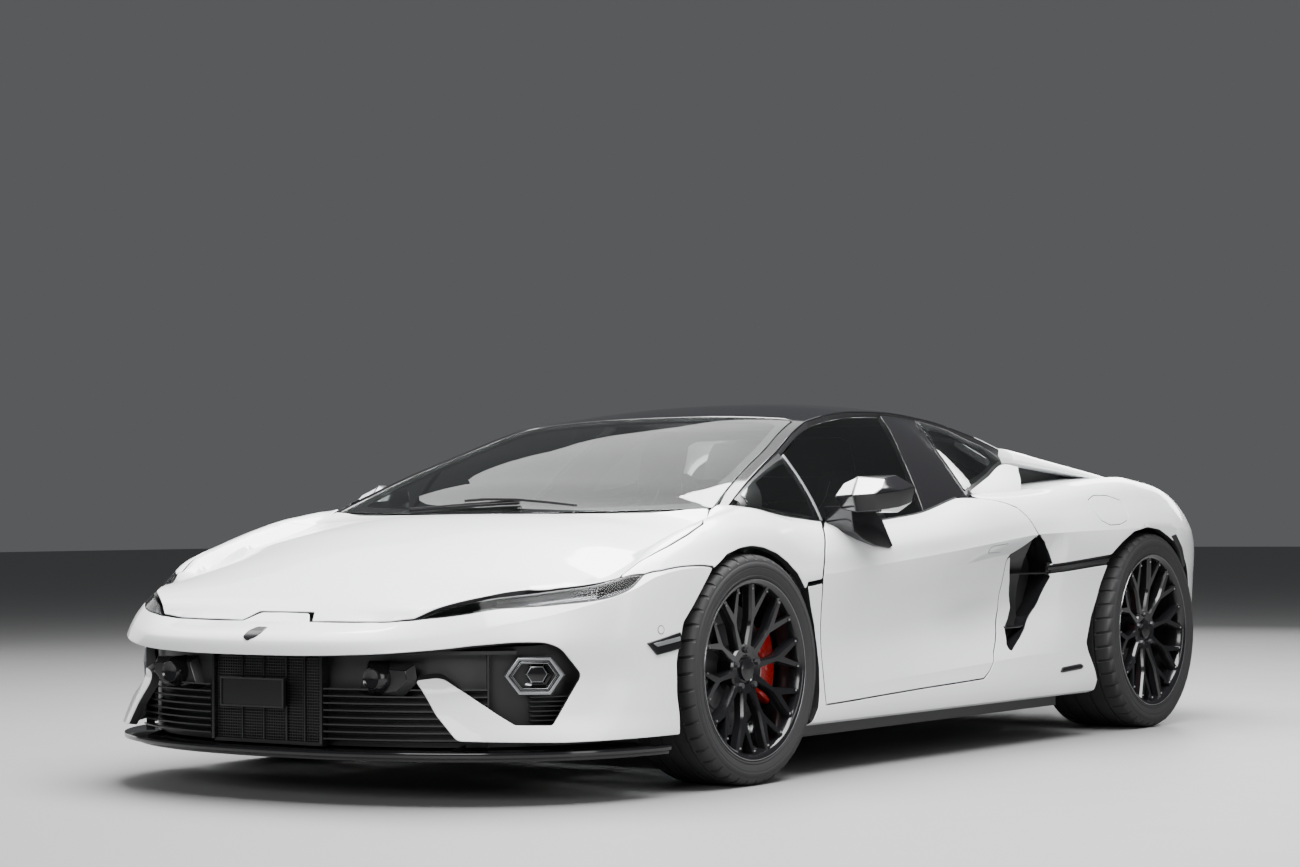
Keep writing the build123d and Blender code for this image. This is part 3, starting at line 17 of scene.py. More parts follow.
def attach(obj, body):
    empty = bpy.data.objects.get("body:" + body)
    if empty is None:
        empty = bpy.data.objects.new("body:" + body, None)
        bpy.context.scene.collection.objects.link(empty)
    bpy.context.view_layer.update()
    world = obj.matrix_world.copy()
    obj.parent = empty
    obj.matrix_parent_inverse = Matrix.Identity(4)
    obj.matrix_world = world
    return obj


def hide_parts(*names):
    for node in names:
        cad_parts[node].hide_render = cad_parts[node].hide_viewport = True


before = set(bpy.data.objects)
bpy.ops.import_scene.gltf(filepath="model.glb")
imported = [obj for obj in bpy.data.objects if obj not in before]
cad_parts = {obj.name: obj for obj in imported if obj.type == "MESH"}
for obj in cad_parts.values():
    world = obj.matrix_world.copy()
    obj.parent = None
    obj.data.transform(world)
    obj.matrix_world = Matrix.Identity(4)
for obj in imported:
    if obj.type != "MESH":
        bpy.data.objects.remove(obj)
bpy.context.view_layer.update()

MM = 0.001

# ------------------------------------------------------------------ driving dimensions
LENGTH, WIDTH, HEIGHT = 4706, 1996, 1201
HALF_WIDTH = WIDTH / 2
WHEELBASE, FRONT_OVERHANG = 2658, 1140
FRONT_AXLE_Y = FRONT_OVERHANG - LENGTH / 2
REAR_AXLE_Y = FRONT_AXLE_Y + WHEELBASE
NOSE_Y, TAIL_Y = -LENGTH / 2, LENGTH / 2
FRONT_WHEEL = {"y": FRONT_AXLE_Y, "track": 1722, "tyre": 343, "half": 127, "flange": 271, "bead": 259, "disc": 200}
REAR_WHEEL = {"y": REAR_AXLE_Y, "track": 1670, "tyre": 364, "half": 162, "flange": 284, "bead": 272, "disc": 195}
GAP = 4.5

# ------------------------------------------------------------------ the body ring
# The skin is a ring in plan: straight sides, with superellipse corners at nose and tail.
NOSE_BEND = {"start": NOSE_Y + 800, "depth": 800, "power": 2.3}
TAIL_BEND = {"start": TAIL_Y - 753, "depth": 753, "power": 2.4}
LINES = ("floor", "sill", "edge", "groove", "waist", "crease", "shoulder", "crown", "deck")
# Sections: part of the ring, then its turn in degrees or, for a side, y; then inset and height of each line.
#                   floor    sill     edge     groove   waist    crease    shoulder  crown     deck
SECTIONS = [
    ("nose", 90, 60, 150, 20, 168, 15, 250, 8, 330, 0, 412, 12, 455, 45, 478, 88, 494, 128, 506),
    ("nose", 83, 60, 150, 20, 168, 15, 250, 8, 330, 0, 413, 12, 456, 45, 478, 85, 493, 122, 505),
    ("nose", 75, 60, 150, 20, 168, 22, 250, 20, 330, 0, 415, 14, 458, 44, 480, 78, 496, 105, 508),
    ("nose", 64, 60, 150, 18, 168, 30, 250, 60, 335, 8, 424, 26, 470, 56, 505, 80, 528, 102, 548),
    ("nose", 50, 60, 150, 14, 168, 40, 250, 72, 340, 25, 438, 48, 500, 80, 545, 100, 567, 118, 586),
    ("nose", 33, 60, 150, 12, 168, 45, 250, 66, 345, 62, 455, 90, 530, 118, 572, 140, 592, 160, 606),
    ("nose", 14, 60, 150, 12, 168, 20, 250, 28, 345, 24, 465, 38, 590, 75, 624, 115, 628, 150, 622),
    ("side", -1680, 60, 150, 12, 168, 10, 250, 11, 345, 14, 468, 26, 630, 66, 668, 120, 672, 160, 645),
    ("side", -1553, 60, 150, 12, 168, 8, 250, 6, 345, 8, 470, 16, 648, 60, 700, 130, 720, 192, 690),
    ("side", -1400, 60, 150, 14, 168, 8, 250, 5, 345, 6, 480, 12, 652, 58, 738, 132, 768, 198, 726),
    ("side", -1213, 60, 150, 16, 168, 8, 250, 5, 340, 8, 480, 13, 655, 58, 775, 128, 808, 200, 777),
    ("side", -1100, 60, 150, 18, 168, 10, 250, 8, 330, 12, 470, 14, 640, 50, 770, 115, 820, 172, 828),
    ("side", -828, 60, 150, 22, 165, 16, 205, 20, 253, 34, 430, 22, 618, 34, 690, 80, 765, 136, 792),
    ("side", -516, 60, 150, 22, 165, 14, 205, 20, 270, 48, 440, 18, 640, 30, 700, 72, 752, 130, 774),
    ("side", -100, 60, 150, 22, 165, 14, 205, 22, 285, 72, 450, 13, 672, 24, 730, 70, 780, 130, 800),
    ("side", 281, 60, 150, 22, 165, 14, 205, 24, 300, 96, 460, 13, 705, 24, 760, 72, 835, 138, 866),
    ("side", 571, 60, 150, 22, 165, 14, 205, 22, 310, 70, 470, 9, 729, 28, 790, 80, 855, 142, 874),
    ("side", 800, 60, 150, 20, 165, 12, 205, 18, 310, 30, 480, 6, 735, 34, 800, 84, 868, 145, 888),
    ("side", 1050, 60, 150, 20, 165, 10, 205, 14, 310, 14, 490, 4, 740, 36, 815, 88, 892, 148, 915),
    ("side", 1445, 60, 150, 20, 165, 10, 205, 9, 310, 6, 500, 0, 748, 38, 835, 92, 915, 152, 938),
    ("side", 1600, 60, 150, 20, 165, 10, 205, 9, 310, 6, 500, 0, 745, 38, 830, 92, 905, 152, 926),
    ("tail", 12, 70, 170, 30, 190, 20, 240, 14, 330, 8, 500, 8, 742, 42, 815, 95, 878, 150, 898),
    ("tail", 36, 100, 210, 60, 230, 42, 290, 26, 400, 10, 550, 14, 735, 44, 790, 88, 832, 130, 846),
    ("tail", 60, 120, 230, 80, 250, 50, 310, 26, 400, 6, 550, 12, 735, 34, 785, 60, 822, 95, 842),
    ("tail", 90, 120, 240, 80, 260, 46, 320, 22, 400, 0, 550, 8, 735, 26, 785, 46, 822, 74, 842),
]

SCREEN_NOSE_Y, SCREEN_NOSE_Z = -1290, 812
# centre line of the top of the car: (y, z)
CENTRE = [(-2225, 506), (-2100, 575), (-1900, 658), (-1700, 727), (-1500, 780), (-1350, 806),
          (SCREEN_NOSE_Y, SCREEN_NOSE_Z), (-1000, 915), (-700, 1027), (-450, 1107), (-250, 1157), (0, 1192),
          (180, HEIGHT - 1), (400, 1190), (700, 1140), (1000, 1070), (1400, 975), (1800, 895), (2100, 862),
          (2290, 846)]
# outer edge of windscreen and roof: (y, x, z)
RAIL = [(-1096, 801, 824), (-900, 752, 912), (-650, 690, 1005), (-310, 598, 1118), (0, 572, 1155),
        (200, 570, 1158), (450, 585, 1140), (700, 640, 1085), (870, 690, 1026)]
# lower edge of the side windows behind the doors' tops: (y, x, z)
BELT_RISE = [(281, 860, 866), (405, 808, 887), (575, 772, 930), (768, 740, 981), (845, 757, 971)]
SCREEN_CORNER_Y, SCREEN_CORNER_X, SCREEN_CORNER_Z = RAIL[0]


# ------------------------------------------------------------------ curves and surfaces
def curve(rows, column, at):
    """Column of a table at places along its first column, by a monotone cubic, for an array of places."""
    table = np.array([(row[0], row[column]) for row in rows], float)
    x, y = table[:, 0], table[:, 1]
    span = np.diff(x)
    rate = np.diff(y) / span
    slope = np.empty(len(x))
    slope[0], slope[-1] = rate[0], rate[-1]
    before, after = 2 * span[1:] + span[:-1], span[1:] + 2 * span[:-1]
    with np.errstate(divide="ignore", invalid="ignore"):
        harmonic = (before + after) / (before / rate[:-1] + after / rate[1:])
    slope[1:-1] = np.where(rate[:-1] * rate[1:] > 0, harmonic, 0)
    at = np.clip(np.asarray(at, float), x[0], x[-1])
    i = np.clip(np.searchsorted(x, at, side="right") - 1, 0, len(span) - 1)
    u = (at - x[i]) / span[i]
    start = (2 * u**3 - 3 * u**2 + 1) * y[i] + (u**3 - 2 * u**2 + u) * span[i] * slope[i]
    return start + (3 * u**2 - 2 * u**3) * y[i + 1] + (u**3 - u**2) * span[i] * slope[i + 1]


def bend_table(bend, count=1800):
    """Arrays along a corner: length, x, distance past its start, turn in degrees."""
    turn = np.linspace(0, 90, count + 1)
    depth, power = bend["depth"], bend["power"]
    ratio = (np.tan(np.radians(turn[1:-1])) * (depth / HALF_WIDTH) ** power) ** (1 / (power - 1))
    x = HALF_WIDTH / (1 + (ratio * HALF_WIDTH / depth) ** power) ** (1 / power)
    x, past = np.concatenate(([HALF_WIDTH], x, [0])), np.concatenate(([0], ratio * x, [depth]))
    length = np.concatenate(([0], np.cumsum(np.hypot(np.diff(x), np.diff(past)))))
    return length, x, past, turn


NOSE_TABLE, TAIL_TABLE = bend_table(NOSE_BEND), bend_table(TAIL_BEND)


def along(place):
    """Distance along the ring of a section key; on the sides it is simply y."""
    kind, value = place
    if kind == "nose":
        return NOSE_BEND["start"] - np.interp(value, NOSE_TABLE[3], NOSE_TABLE[0])
    if kind == "tail":
        return TAIL_BEND["start"] + np.interp(value, TAIL_TABLE[3], TAIL_TABLE[0])
    return value


RING = [(along(row[:2]),) + row[2:] for row in SECTIONS]
RING_START, RING_END = RING[0][0], RING[-1][0]

# how sharp each line is along the car: (y, sharpness from 0, round, to 1, a fold)
SHARP = {
    "sill": [(RING_START, 0.6), (RING_END, 0.6)],
    "edge": [(RING_START, 0.2), (RING_END, 0.2)],
    "groove": [(-2400, 0.2), (-1000, 0.3), (-760, 0.9), (300, 0.9), (800, 0.3), (RING_END, 0.2)],
    "crease": [(RING_START, 0.15), (-2200, 0.3), (-1650, 0.85), (-700, 0.75), (560, 0.9), (900, 0.55), (1500, 0.15),
               (RING_END, 0.3)],
    "crown": [(RING_START, 0.1), (-1800, 0.2), (-1500, 0.0), (RING_END, 0.1)],
}


def plan(s):
    """Base point and turn of the ring at distances s: x, y, turn, where turn is negative at the nose."""
    nose, tail = NOSE_BEND["start"] - s, s - TAIL_BEND["start"]
    x = np.where(nose > 0, np.interp(nose, *NOSE_TABLE[:2]), np.interp(tail, *TAIL_TABLE[:2]))
    past = [np.interp(back, table[0], table[2]) for back, table in ((nose, NOSE_TABLE), (tail, TAIL_TABLE))]
    y = np.where(nose > 0, NOSE_BEND["start"] - past[0], np.where(tail > 0, TAIL_BEND["start"] + past[1], s))
    turn = np.where(nose > 0, -np.interp(nose, NOSE_TABLE[0], NOSE_TABLE[3]),
                    np.interp(tail, TAIL_TABLE[0], TAIL_TABLE[3]))
    return x, y, turn


def ring(s, v):
    """Points of the body's skin: s runs along the ring and v across it, from 0 at the floor to 8 at the deck."""
    s = np.clip(np.asarray(s, float), RING_START, RING_END)
    v = np.clip(np.asarray(v, float), 0, len(LINES) - 1)
    points = np.stack([np.stack([curve(RING, 1 + 2 * k, s), curve(RING, 2 + 2 * k, s)], -1)
                       for k in range(len(LINES))], 1)
    step = np.diff(points, axis=1)
    chord = np.maximum(np.linalg.norm(step, axis=2, keepdims=True), 1)
    way = step / chord
    tangent = np.empty_like(points)
    tangent[:, 0], tangent[:, -1] = way[:, 0], way[:, -1]
    tangent[:, 1:-1] = (way[:, :-1] * chord[:, 1:] + way[:, 1:] * chord[:, :-1]) / (chord[:, 1:] + chord[:, :-1])
    sharp = np.zeros((len(s), len(LINES), 1))
    for name, rows in SHARP.items():
        sharp[:, LINES.index(name), 0] = curve(rows, 1, s)
    i = np.minimum(v.astype(int), len(LINES) - 2)
    t = (v - i)[:, None]
    row = np.arange(len(s))
    p0, p1, c, u = points[row, i], points[row, i + 1], chord[row, i], way[row, i]
    m0 = ((1 - sharp[row, i]) * tangent[row, i] + sharp[row, i] * u) * c
    m1 = ((1 - sharp[row, i + 1]) * tangent[row, i + 1] + sharp[row, i + 1] * u) * c
    flat = (2 * t**3 - 3 * t**2 + 1) * p0 + (t**3 - 2 * t**2 + t) * m0 + (3 * t**2 - 2 * t**3) * p1 + (t**3
                                                                                                       - t**2) * m1
    x, y, turn = plan(s)
    inset, height = np.maximum(flat[:, 0], 0.5), flat[:, 1]
    return np.stack([x - inset * np.cos(np.radians(turn)), y - inset * np.sin(np.radians(turn)), height], 1)


DECK_V = len(LINES) - 1.0
GRID_S = np.linspace(RING_START, RING_END, 1400)
GRID_V = np.linspace(0, DECK_V, 129)
GRID_SV = np.stack(np.meshgrid(GRID_S, GRID_V, indexing="ij"), -1).reshape(-1, 2)
GRID_POINTS = ring(GRID_SV[:, 0], GRID_SV[:, 1])


def on_ring(points, axis="y", low=0, high=8):
    """(s, v) of skin points given as (y, z), or as (x, z) with axis x, or as (x, y) with axis xy."""
    used = (GRID_SV[:, 1] >= low) & (GRID_SV[:, 1] <= high)
    if axis == "x":
        used &= GRID_SV[:, 0] < -1500
    columns = {"y": (1, 2), "x": (0, 2), "xy": (0, 1)}[axis]
    parameters, places = GRID_SV[used], GRID_POINTS[used][:, columns]
    found = []
    for point in points:
        best = parameters[np.argmin(((places - point) ** 2).sum(1))].copy()
        for _ in range(3):
            ds, dv = 1.0, 0.01
            s = np.array([best[0], best[0] + ds, best[0]])
            v = np.array([best[1], best[1], best[1] + dv])
            p = ring(s, v)[:, columns]
            jacobian = np.stack([(p[1] - p[0]) / ds, (p[2] - p[0]) / dv], 1)
            if abs(np.linalg.det(jacobian)) < 1e-3:
                break
            best += np.clip(np.linalg.solve(jacobian, np.array(point) - p[0]), (-20, -0.3), (20, 0.3))
            best[1] = min(max(best[1], low), high)
        found.append((best[0], best[1]))
    return found


# the ring's top line as arrays over y, for the front and for the rear
DECK_POINTS = ring(GRID_S, np.full(len(GRID_S), DECK_V))
FRONT_DECK = DECK_POINTS[GRID_S < 0]
REAR_DECK = DECK_POINTS[GRID_S >= 0]


def deck_edge(y):
    """x and z of the ring's top line at each y."""
    y = np.asarray(y, float)
    front, rear = ([np.interp(y, line[:, 1], line[:, k]) for k in (0, 2)] for line in (FRONT_DECK, REAR_DECK))
    return tuple(np.where(y < 0, before, behind) for before, behind in zip(front, rear))


def crowned(x, y, edge_x, edge_z, power=2.3):
    """Height of a surface that falls from the centre line to an edge."""
    middle = curve(CENTRE, 1, y)
    return middle + (edge_z - middle) * np.minimum(np.abs(x) / np.maximum(edge_x, 1), 1.05) ** power


def bonnet(x, y):
    """Bonnet surface inside the ring's top line."""
    return np.stack([x, y, crowned(x, y, *deck_edge(y), power=2.6)], 1)


def rail(y):
    """x and z of the outer edge of windscreen and roof."""
    return curve(RAIL, 1, y), curve(RAIL, 2, y)


def screen_edge(y):
    """x and z of the edge of the glass: its curved base first, then the rail."""
    part = (y - SCREEN_NOSE_Y) / (SCREEN_CORNER_Y - SCREEN_NOSE_Y)
    low = y < SCREEN_CORNER_Y
    x = np.where(low, SCREEN_CORNER_X * np.sqrt(np.maximum(part, 0.02)), rail(y)[0])
    z = np.where(low, SCREEN_NOSE_Z + (SCREEN_CORNER_Z - SCREEN_NOSE_Z) * part, rail(y)[1])
    return x, z


def roof(x, y):
    """Surface of windscreen and roof."""
    return np.stack([x, y, crowned(x, y, *screen_edge(y))], 1)


def belt(y):
    """x and z where the side glass meets the body."""
    body = ring(y, np.full(len(y), DECK_V))
    rises = y > BELT_RISE[0][0]
    return np.where(rises, curve(BELT_RISE, 1, y), body[:, 0]), np.where(rises, curve(BELT_RISE, 2, y), body[:, 2])


GLASS_BULGE = 14


def side_window(y, t):
    """Side glass: t runs from 0 at the belt to 1 at the roof's rail, with a slight bulge."""
    (low_x, low_z), (top_x, top_z) = belt(y), rail(y)
    bulge = 4 * GLASS_BULGE * t * (1 - t)
    return np.stack([low_x + (top_x - low_x) * t + bulge * 0.7, y, low_z + (top_z - low_z) * t + bulge * 0.5], 1)


# ------------------------------------------------------------------ meshes
def make_mesh(name, points, faces, normals=None, material=None, indices=None):
    """Object from points in millimetres. normals holds one normal for each corner, or None for smooth shading."""
    mesh = bpy.data.meshes.new(name)
    mesh.from_pydata([tuple(p) for p in np.asarray(points) * MM], [], [tuple(int(i) for i in f) for f in faces])
    mesh.polygons.foreach_set("use_smooth", [True] * len(mesh.polygons))
    if normals is not None:
        mesh.normals_split_custom_set([tuple(n) for n in normals])
    piece = bpy.data.objects.new(name, mesh)
    bpy.context.scene.collection.objects.link(piece)
    for entry in (material if isinstance(material, (list, tuple)) else [material]):
        mesh.materials.append(entry)
    if indices is not None:
        mesh.polygons.foreach_set("material_index", [int(i) for i in indices])
    return piece


def settle(piece, body, slot, *nodes):
    """Say which body a piece rides on and which nodes it stands for; slot, meant for its main material, is not used.
    """
    if nodes:
        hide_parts(*nodes)
    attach(piece, body)
    return piece


def unit(vectors):
    """Vectors scaled to a length of 1."""
    return vectors / np.maximum(np.linalg.norm(vectors, axis=-1, keepdims=True), 1e-9)


def normal_at(surface, p, scale):
    """Unit normals of a surface at parameters p."""
    du, dv = 0.05, 0.05 / scale
    here = surface(p[:, 0], p[:, 1])
    along_u = surface(p[:, 0] + du, p[:, 1]) - here
    along_v = surface(p[:, 0], p[:, 1] + dv) - here
    return unit(np.cross(along_u, along_v))


def inside(loop, p):
    """True for each point of p that lies inside a closed loop."""
    loop = np.asarray(loop)
    result = np.zeros(len(p), bool)
    for a, b in zip(loop, np.roll(loop, -1, axis=0)):
        crosses = (a[1] > p[:, 1]) != (b[1] > p[:, 1])
        with np.errstate(divide="ignore", invalid="ignore"):
            at = (b[0] - a[0]) * (p[:, 1] - a[1]) / (b[1] - a[1]) + a[0]
        result ^= crosses & (p[:, 0] < at)
    return result


def rounded(points, radius, scale=1.0, pieces=4):
    """Closed outline with each corner rounded. A point may carry its own radius as a third value."""
    flat = np.array([(p[0], p[1] * scale) for p in points], float)
    own = [p[2] if len(p) > 2 else radius for p in points]
    result = []
    for i, here in enumerate(flat):
        before, after = flat[i - 1] - here, flat[(i + 1) % len(flat)] - here
        a, b = np.linalg.norm(before), np.linalg.norm(after)
        reach = min(own[i], a * 0.48, b * 0.48)
        if reach < 0.5:
            result.append(here)
            continue
        start, end = here + before / a * reach, here + after / b * reach
        for t in np.linspace(0, 1, pieces + 1):
            result.append((1 - t) ** 2 * start + 2 * t * (1 - t) * here + t**2 * end)
    return [(p[0], p[1] / scale) for p in result]


def dense(loop, surface, step, closed=True):
    """The loop with points added, so that none of its edges is longer than step."""
    loop = np.array([(p[0], p[1]) for p in loop], float)
    ends = np.roll(loop, -1, axis=0) if closed else loop[1:]
    starts = loop if closed else loop[:-1]
    a, b = surface(starts[:, 0], starts[:, 1]), surface(ends[:, 0], ends[:, 1])
    result = []
    for start, end, length in zip(starts, ends, np.linalg.norm(a - b, axis=1)):
        if length < 0.3:
            continue
        count = max(1, int(np.ceil(length / step)))
        result += [start + (end - start) * k / count for k in range(count)]
    if not closed:
        result.append(loop[-1])
    return np.array(result)


def pulled_in(loop, surface, amount, scale, turn):
    """The loop moved inwards over the surface by a real distance; turn is +1 for a counter-clockwise loop."""
    here = surface(loop[:, 0], loop[:, 1])
    du, dv = 0.5, 0.5 / scale
    along_u = (surface(loop[:, 0] + du, loop[:, 1]) - here) / du
    along_v = (surface(loop[:, 0], loop[:, 1] + dv) - here) / dv
    normal = unit(np.cross(along_u, along_v))
    forward, backward = unit(np.roll(here, -1, axis=0) - here), unit(here - np.roll(here, 1, axis=0))
    tangent = unit(forward + backward)
    cos_half = np.clip((tangent * forward).sum(1, keepdims=True), 0.5, 1)
    inward = np.cross(normal, tangent) * turn / cos_half
    g = np.stack([(along_u * along_u).sum(1), (along_u * along_v).sum(1), (along_v * along_v).sum(1)], 1)
    a, b = (inward * along_u).sum(1), (inward * along_v).sum(1)
    det = np.maximum(g[:, 0] * g[:, 2] - g[:, 1] ** 2, 1e-9)
    move = np.stack([(a * g[:, 2] - b * g[:, 1]) / det, (b * g[:, 0] - a * g[:, 1]) / det], 1)
    return loop + amount * move, inward * cos_half


def area_sign(loop):
    """1 for a counter-clockwise loop and -1 for a clockwise one."""
    loop = np.asarray(loop)
    x, y = loop[:, 0], loop[:, 1]
    return 1 if (x * np.roll(y, -1) - y * np.roll(x, -1)).sum() > 0 else -1


# a panel's mesh: coarser step when quick, step along its edges, room kept at them, where corner normals are taken
QUICK_STEP, EDGE_STEP, EDGE_CLEARANCE, NORMAL_SHIFT = 1.6, 0.6, 0.42, 0.06


def panel(name, outline, surface, material, *nodes, body="chassis", slot="white_paint", holes=(), folds=(),
          depth=18.0, step=24.0, lip=1.6, scale=100.0, sides=(1,), gap=0.0, dark=True):
    """A panel cut from a surface: skin, rounded lip, flange and back, mirrored if sides has -1.

    Flange and back are black unless dark is False: painted shade, so that the gaps between panels read dark.
    scale is roughly how many millimetres one unit of the surface's second parameter is. The panel stands for the
    nodes and rides on the body.
    """
    step = step * 1
    edge_step = step * EDGE_STEP
    loops = [dense(outline, surface, edge_step)] + [dense(hole, surface, edge_step) for hole in holes]
    turns = [area_sign(loops[0])] + [-area_sign(hole) for hole in loops[1:]]
    if gap:
        loops = [pulled_in(loop, surface, gap, scale, turn)[0] for loop, turn in zip(loops, turns)]
    rims, walls = [], []
    for loop, turn in zip(loops, turns):
        rim, inward = pulled_in(loop, surface, lip, scale, turn)
        rims.append(rim)
        walls.append(-inward)
    # points for the flat triangulation
    low, high = loops[0].min(0), loops[0].max(0)
    us = np.arange(low[0] + step / 2, high[0], step)
    vs = np.arange(low[1] + step / scale / 2, high[1], step / scale)
    grid = np.stack(np.meshgrid(us, vs), -1).reshape(-1, 2)
    keep = inside(rims[0], grid)
    for rim in rims[1:]:
        keep &= ~inside(rim, grid)
    grid = grid[keep]
    # grid points too close to an edge are left out
    ring_points = np.concatenate(rims)
    far = np.ones(len(grid), bool)
    for k, p in enumerate(grid):
        away = np.abs(ring_points - p) * (1, scale)
        far[k] = (away**2).sum(1).min() > (step * EDGE_CLEARANCE) ** 2
    grid = grid[far]
    inputs = [tuple(p) for p in ring_points]
    edges, start = [], 0
    for rim in rims:
        edges += [(start + k, start + (k + 1) % len(rim)) for k in range(len(rim))]
        start += len(rim)
    for fold in folds:
        line = dense(fold, surface, edge_step, closed=False)
        mine = inside(rims[0], line)
        for rim in rims[1:]:
            mine &= ~inside(rim, line)
        for k in range(len(line) - 1):
            if mine[k] and mine[k + 1]:
                edges.append((len(inputs) + k, len(inputs) + k + 1))
        inputs += [tuple(p) for p in line]
    inputs += [tuple(p) for p in grid]
    flat = [Vector((p[0], p[1] * scale)) for p in inputs]
    vertices, _, triangles, origins, _, _ = delaunay_2d_cdt(flat, edges, [], 0, 0.02)
    vertices = np.array([(p[0], p[1] / scale) for p in vertices])
    triangles = np.array(triangles)
    middle = vertices[triangles].mean(1)
    keep = inside(rims[0], middle)
    for rim in rims[1:]:
        keep &= ~inside(rim, middle)
    triangles = triangles[keep]
    place = {}
    for k, origin in enumerate(origins):
        for o in origin:
            place[o] = k
    # normals at each corner, taken just inside its own triangle
    corners = triangles.reshape(-1)
    middle = vertices[triangles].mean(1).repeat(3, axis=0)
    skin_normals = normal_at(surface, vertices[corners] + NORMAL_SHIFT * (middle - vertices[corners]), scale)
    front = surface(vertices[:, 0], vertices[:, 1])
    vertex_normal = normal_at(surface, vertices, scale)
    count = len(front)
    points = [front, front - vertex_normal * depth]
    faces = [tuple(t) for t in triangles] + [tuple(count + t[k] for k in (2, 1, 0)) for t in triangles]
    inner_faces = [0] * len(triangles) + [1] * len(triangles)
    normals = [skin_normals, -vertex_normal[triangles[:, ::-1].reshape(-1)]]
    inner, start = 2 * count, 0
    for rim, loop, wall, turn in zip(rims, loops, walls, turns):
        size = len(rim)
        top = [place[start + k] for k in range(size)]
        start += size
        outer_normal = normal_at(surface, loop, scale)
        outer = surface(loop[:, 0], loop[:, 1])
        first, second = inner, inner + size
        points += [outer - outer_normal * lip, outer - outer_normal * depth]
        inner += 2 * size
        for k in range(size):
            j = (k + 1) % size
            rings = [(top[k], top[j]), (first + k, first + j), (second + k, second + j),
                     (count + top[k], count + top[j])]
            tilts = [(vertex_normal[top[k]], vertex_normal[top[j]]), (wall[k], wall[j]), (wall[k], wall[j]),
                     (-outer_normal[k], -outer_normal[j])]
            for m, ((a, b), (c, d), (na, nb), (nc, nd)) in enumerate(zip(rings, rings[1:], tilts, tilts[1:])):
                inner_faces.append(min(m, 1))
                if turn > 0:
                    faces.append((b, a, c, d))
                    normals.append(np.array([nb, na, nc, nd]))
                else:
                    faces.append((a, b, d, c))
                    normals.append(np.array([na, nb, nd, nc]))
    points, normals = np.concatenate(points), np.concatenate(normals)
    all_points, all_faces, all_normals = [], [], []
    for side in sides:
        shift = len(points) * len(all_points)
        all_points.append(points * (side, 1, 1))
        cursor = 0
        for face in faces:
            size = len(face)
            mine = normals[cursor:cursor + size] * (side, 1, 1)
            cursor += size
            all_faces.append(tuple(shift + i for i in (face if side > 0 else face[::-1])))
            all_normals.append(mine if side > 0 else mine[::-1])
    # flange and back in black satin: painted shade in the gaps between panels
    materials = [material, BLACK_SATIN] if dark else [material]
    indices = inner_faces * len(sides) if dark else None
    piece = make_mesh(name, np.concatenate(all_points), all_faces, np.concatenate(all_normals), materials, indices)
    return settle(piece, body, slot, *nodes)


# ------------------------------------------------------------------ materials
def shader(name, color, roughness=0.4, metallic=0.0, coat=0.0, coat_roughness=0.03, transmission=0.0, ior=1.5,
           emission=None, glow=0.0, grain=0.0, grain_size=200.0, bump=0.0, alpha=1.0, specular=0.5):
    """Principled material with a faint procedural variation of its roughness and, if asked, of its surface."""
    material = bpy.data.materials.new(name)
    material.use_nodes = True
    nodes, links = material.node_tree.nodes, material.node_tree.links
    base = nodes["Principled BSDF"]
    values = {"Base Color": (*color, 1), "Roughness": roughness, "Metallic": metallic, "Coat Weight": coat,
              "Coat Roughness": coat_roughness, "Transmission Weight": transmission, "IOR": ior, "Alpha": alpha,
              "Specular IOR Level": specular}
    if emission:
        values |= {"Emission Color": (*emission, 1), "Emission Strength": glow}
    for socket, value in values.items():
        base.inputs[socket].default_value = value
    noise = nodes.new("ShaderNodeTexNoise")
    noise.inputs["Scale"].default_value = grain_size
    noise.inputs["Detail"].default_value = 3
    place = nodes.new("ShaderNodeTexCoord")
    links.new(place.outputs["Object"], noise.inputs["Vector"])
    spread = nodes.new("ShaderNodeMapRange")
    spread.inputs["To Min"].default_value = max(roughness - grain, 0)
    spread.inputs["To Max"].default_value = roughness + grain
    links.new(noise.outputs["Fac"], spread.inputs["Value"])
    links.new(spread.outputs["Result"], base.inputs["Roughness"])
    if bump:
        relief = nodes.new("ShaderNodeBump")
        relief.inputs["Strength"].default_value = bump
        relief.inputs["Distance"].default_value = 0.0008
        links.new(noise.outputs["Fac"], relief.inputs["Height"])
        links.new(relief.outputs["Normal"], base.inputs["Normal"])
    return material


WHITE = shader("white paint", (0.80, 0.81, 0.82), 0.34, coat=0.7, coat_roughness=0.06, grain=0.02)
BLACK_PAINT = shader("black paint", (0.006, 0.006, 0.007), 0.07, grain=0.015)
BLACK_GLOSS = shader("black gloss plastic", (0.009, 0.009, 0.010), 0.12, grain=0.02)
BLACK_SATIN = shader("black satin plastic", (0.018, 0.018, 0.019), 0.42, grain=0.06, grain_size=400, bump=0.1)
BLACK_MATT = shader("black matt plastic", (0.010, 0.010, 0.010), 0.75, grain=0.1, grain_size=600, bump=0.3)
RUBBER = shader("tyre rubber", (0.016, 0.016, 0.017), 0.72, grain=0.08, grain_size=300, bump=0.3)
RIM_BLACK = shader("black wheel", (0.008, 0.008, 0.009), 0.14, grain=0.03)
STEEL = shader("machined steel", (0.42, 0.42, 0.43), 0.3, metallic=1.0, grain=0.08, grain_size=60)
DARK_STEEL = shader("dark steel", (0.10, 0.10, 0.105), 0.42, metallic=0.9, grain=0.08)
DISC_GREY = shader("brake disc", (0.16, 0.16, 0.165), 0.34, metallic=0.9, grain=0.1, grain_size=40)
# painted highlight: a lighter metallic ring on the black rim's lip stands for the lip's bright reflection
RIM_LIP_HIGHLIGHT = shader("wheel edge", (0.20, 0.20, 0.205), 0.2, metallic=0.8, coat=0.5, grain=0.03)
ALLOY = shader("cast alloy", (0.35, 0.35, 0.36), 0.5, metallic=0.9, grain=0.1, bump=0.3)
RED = shader("red brake paint", (0.42, 0.008, 0.006), 0.28, coat=0.6, grain=0.04)
GLASS = shader("tinted glass", (0.50, 0.53, 0.52), 0.0, transmission=1.0, ior=1.45, grain=0.0, specular=0.6)
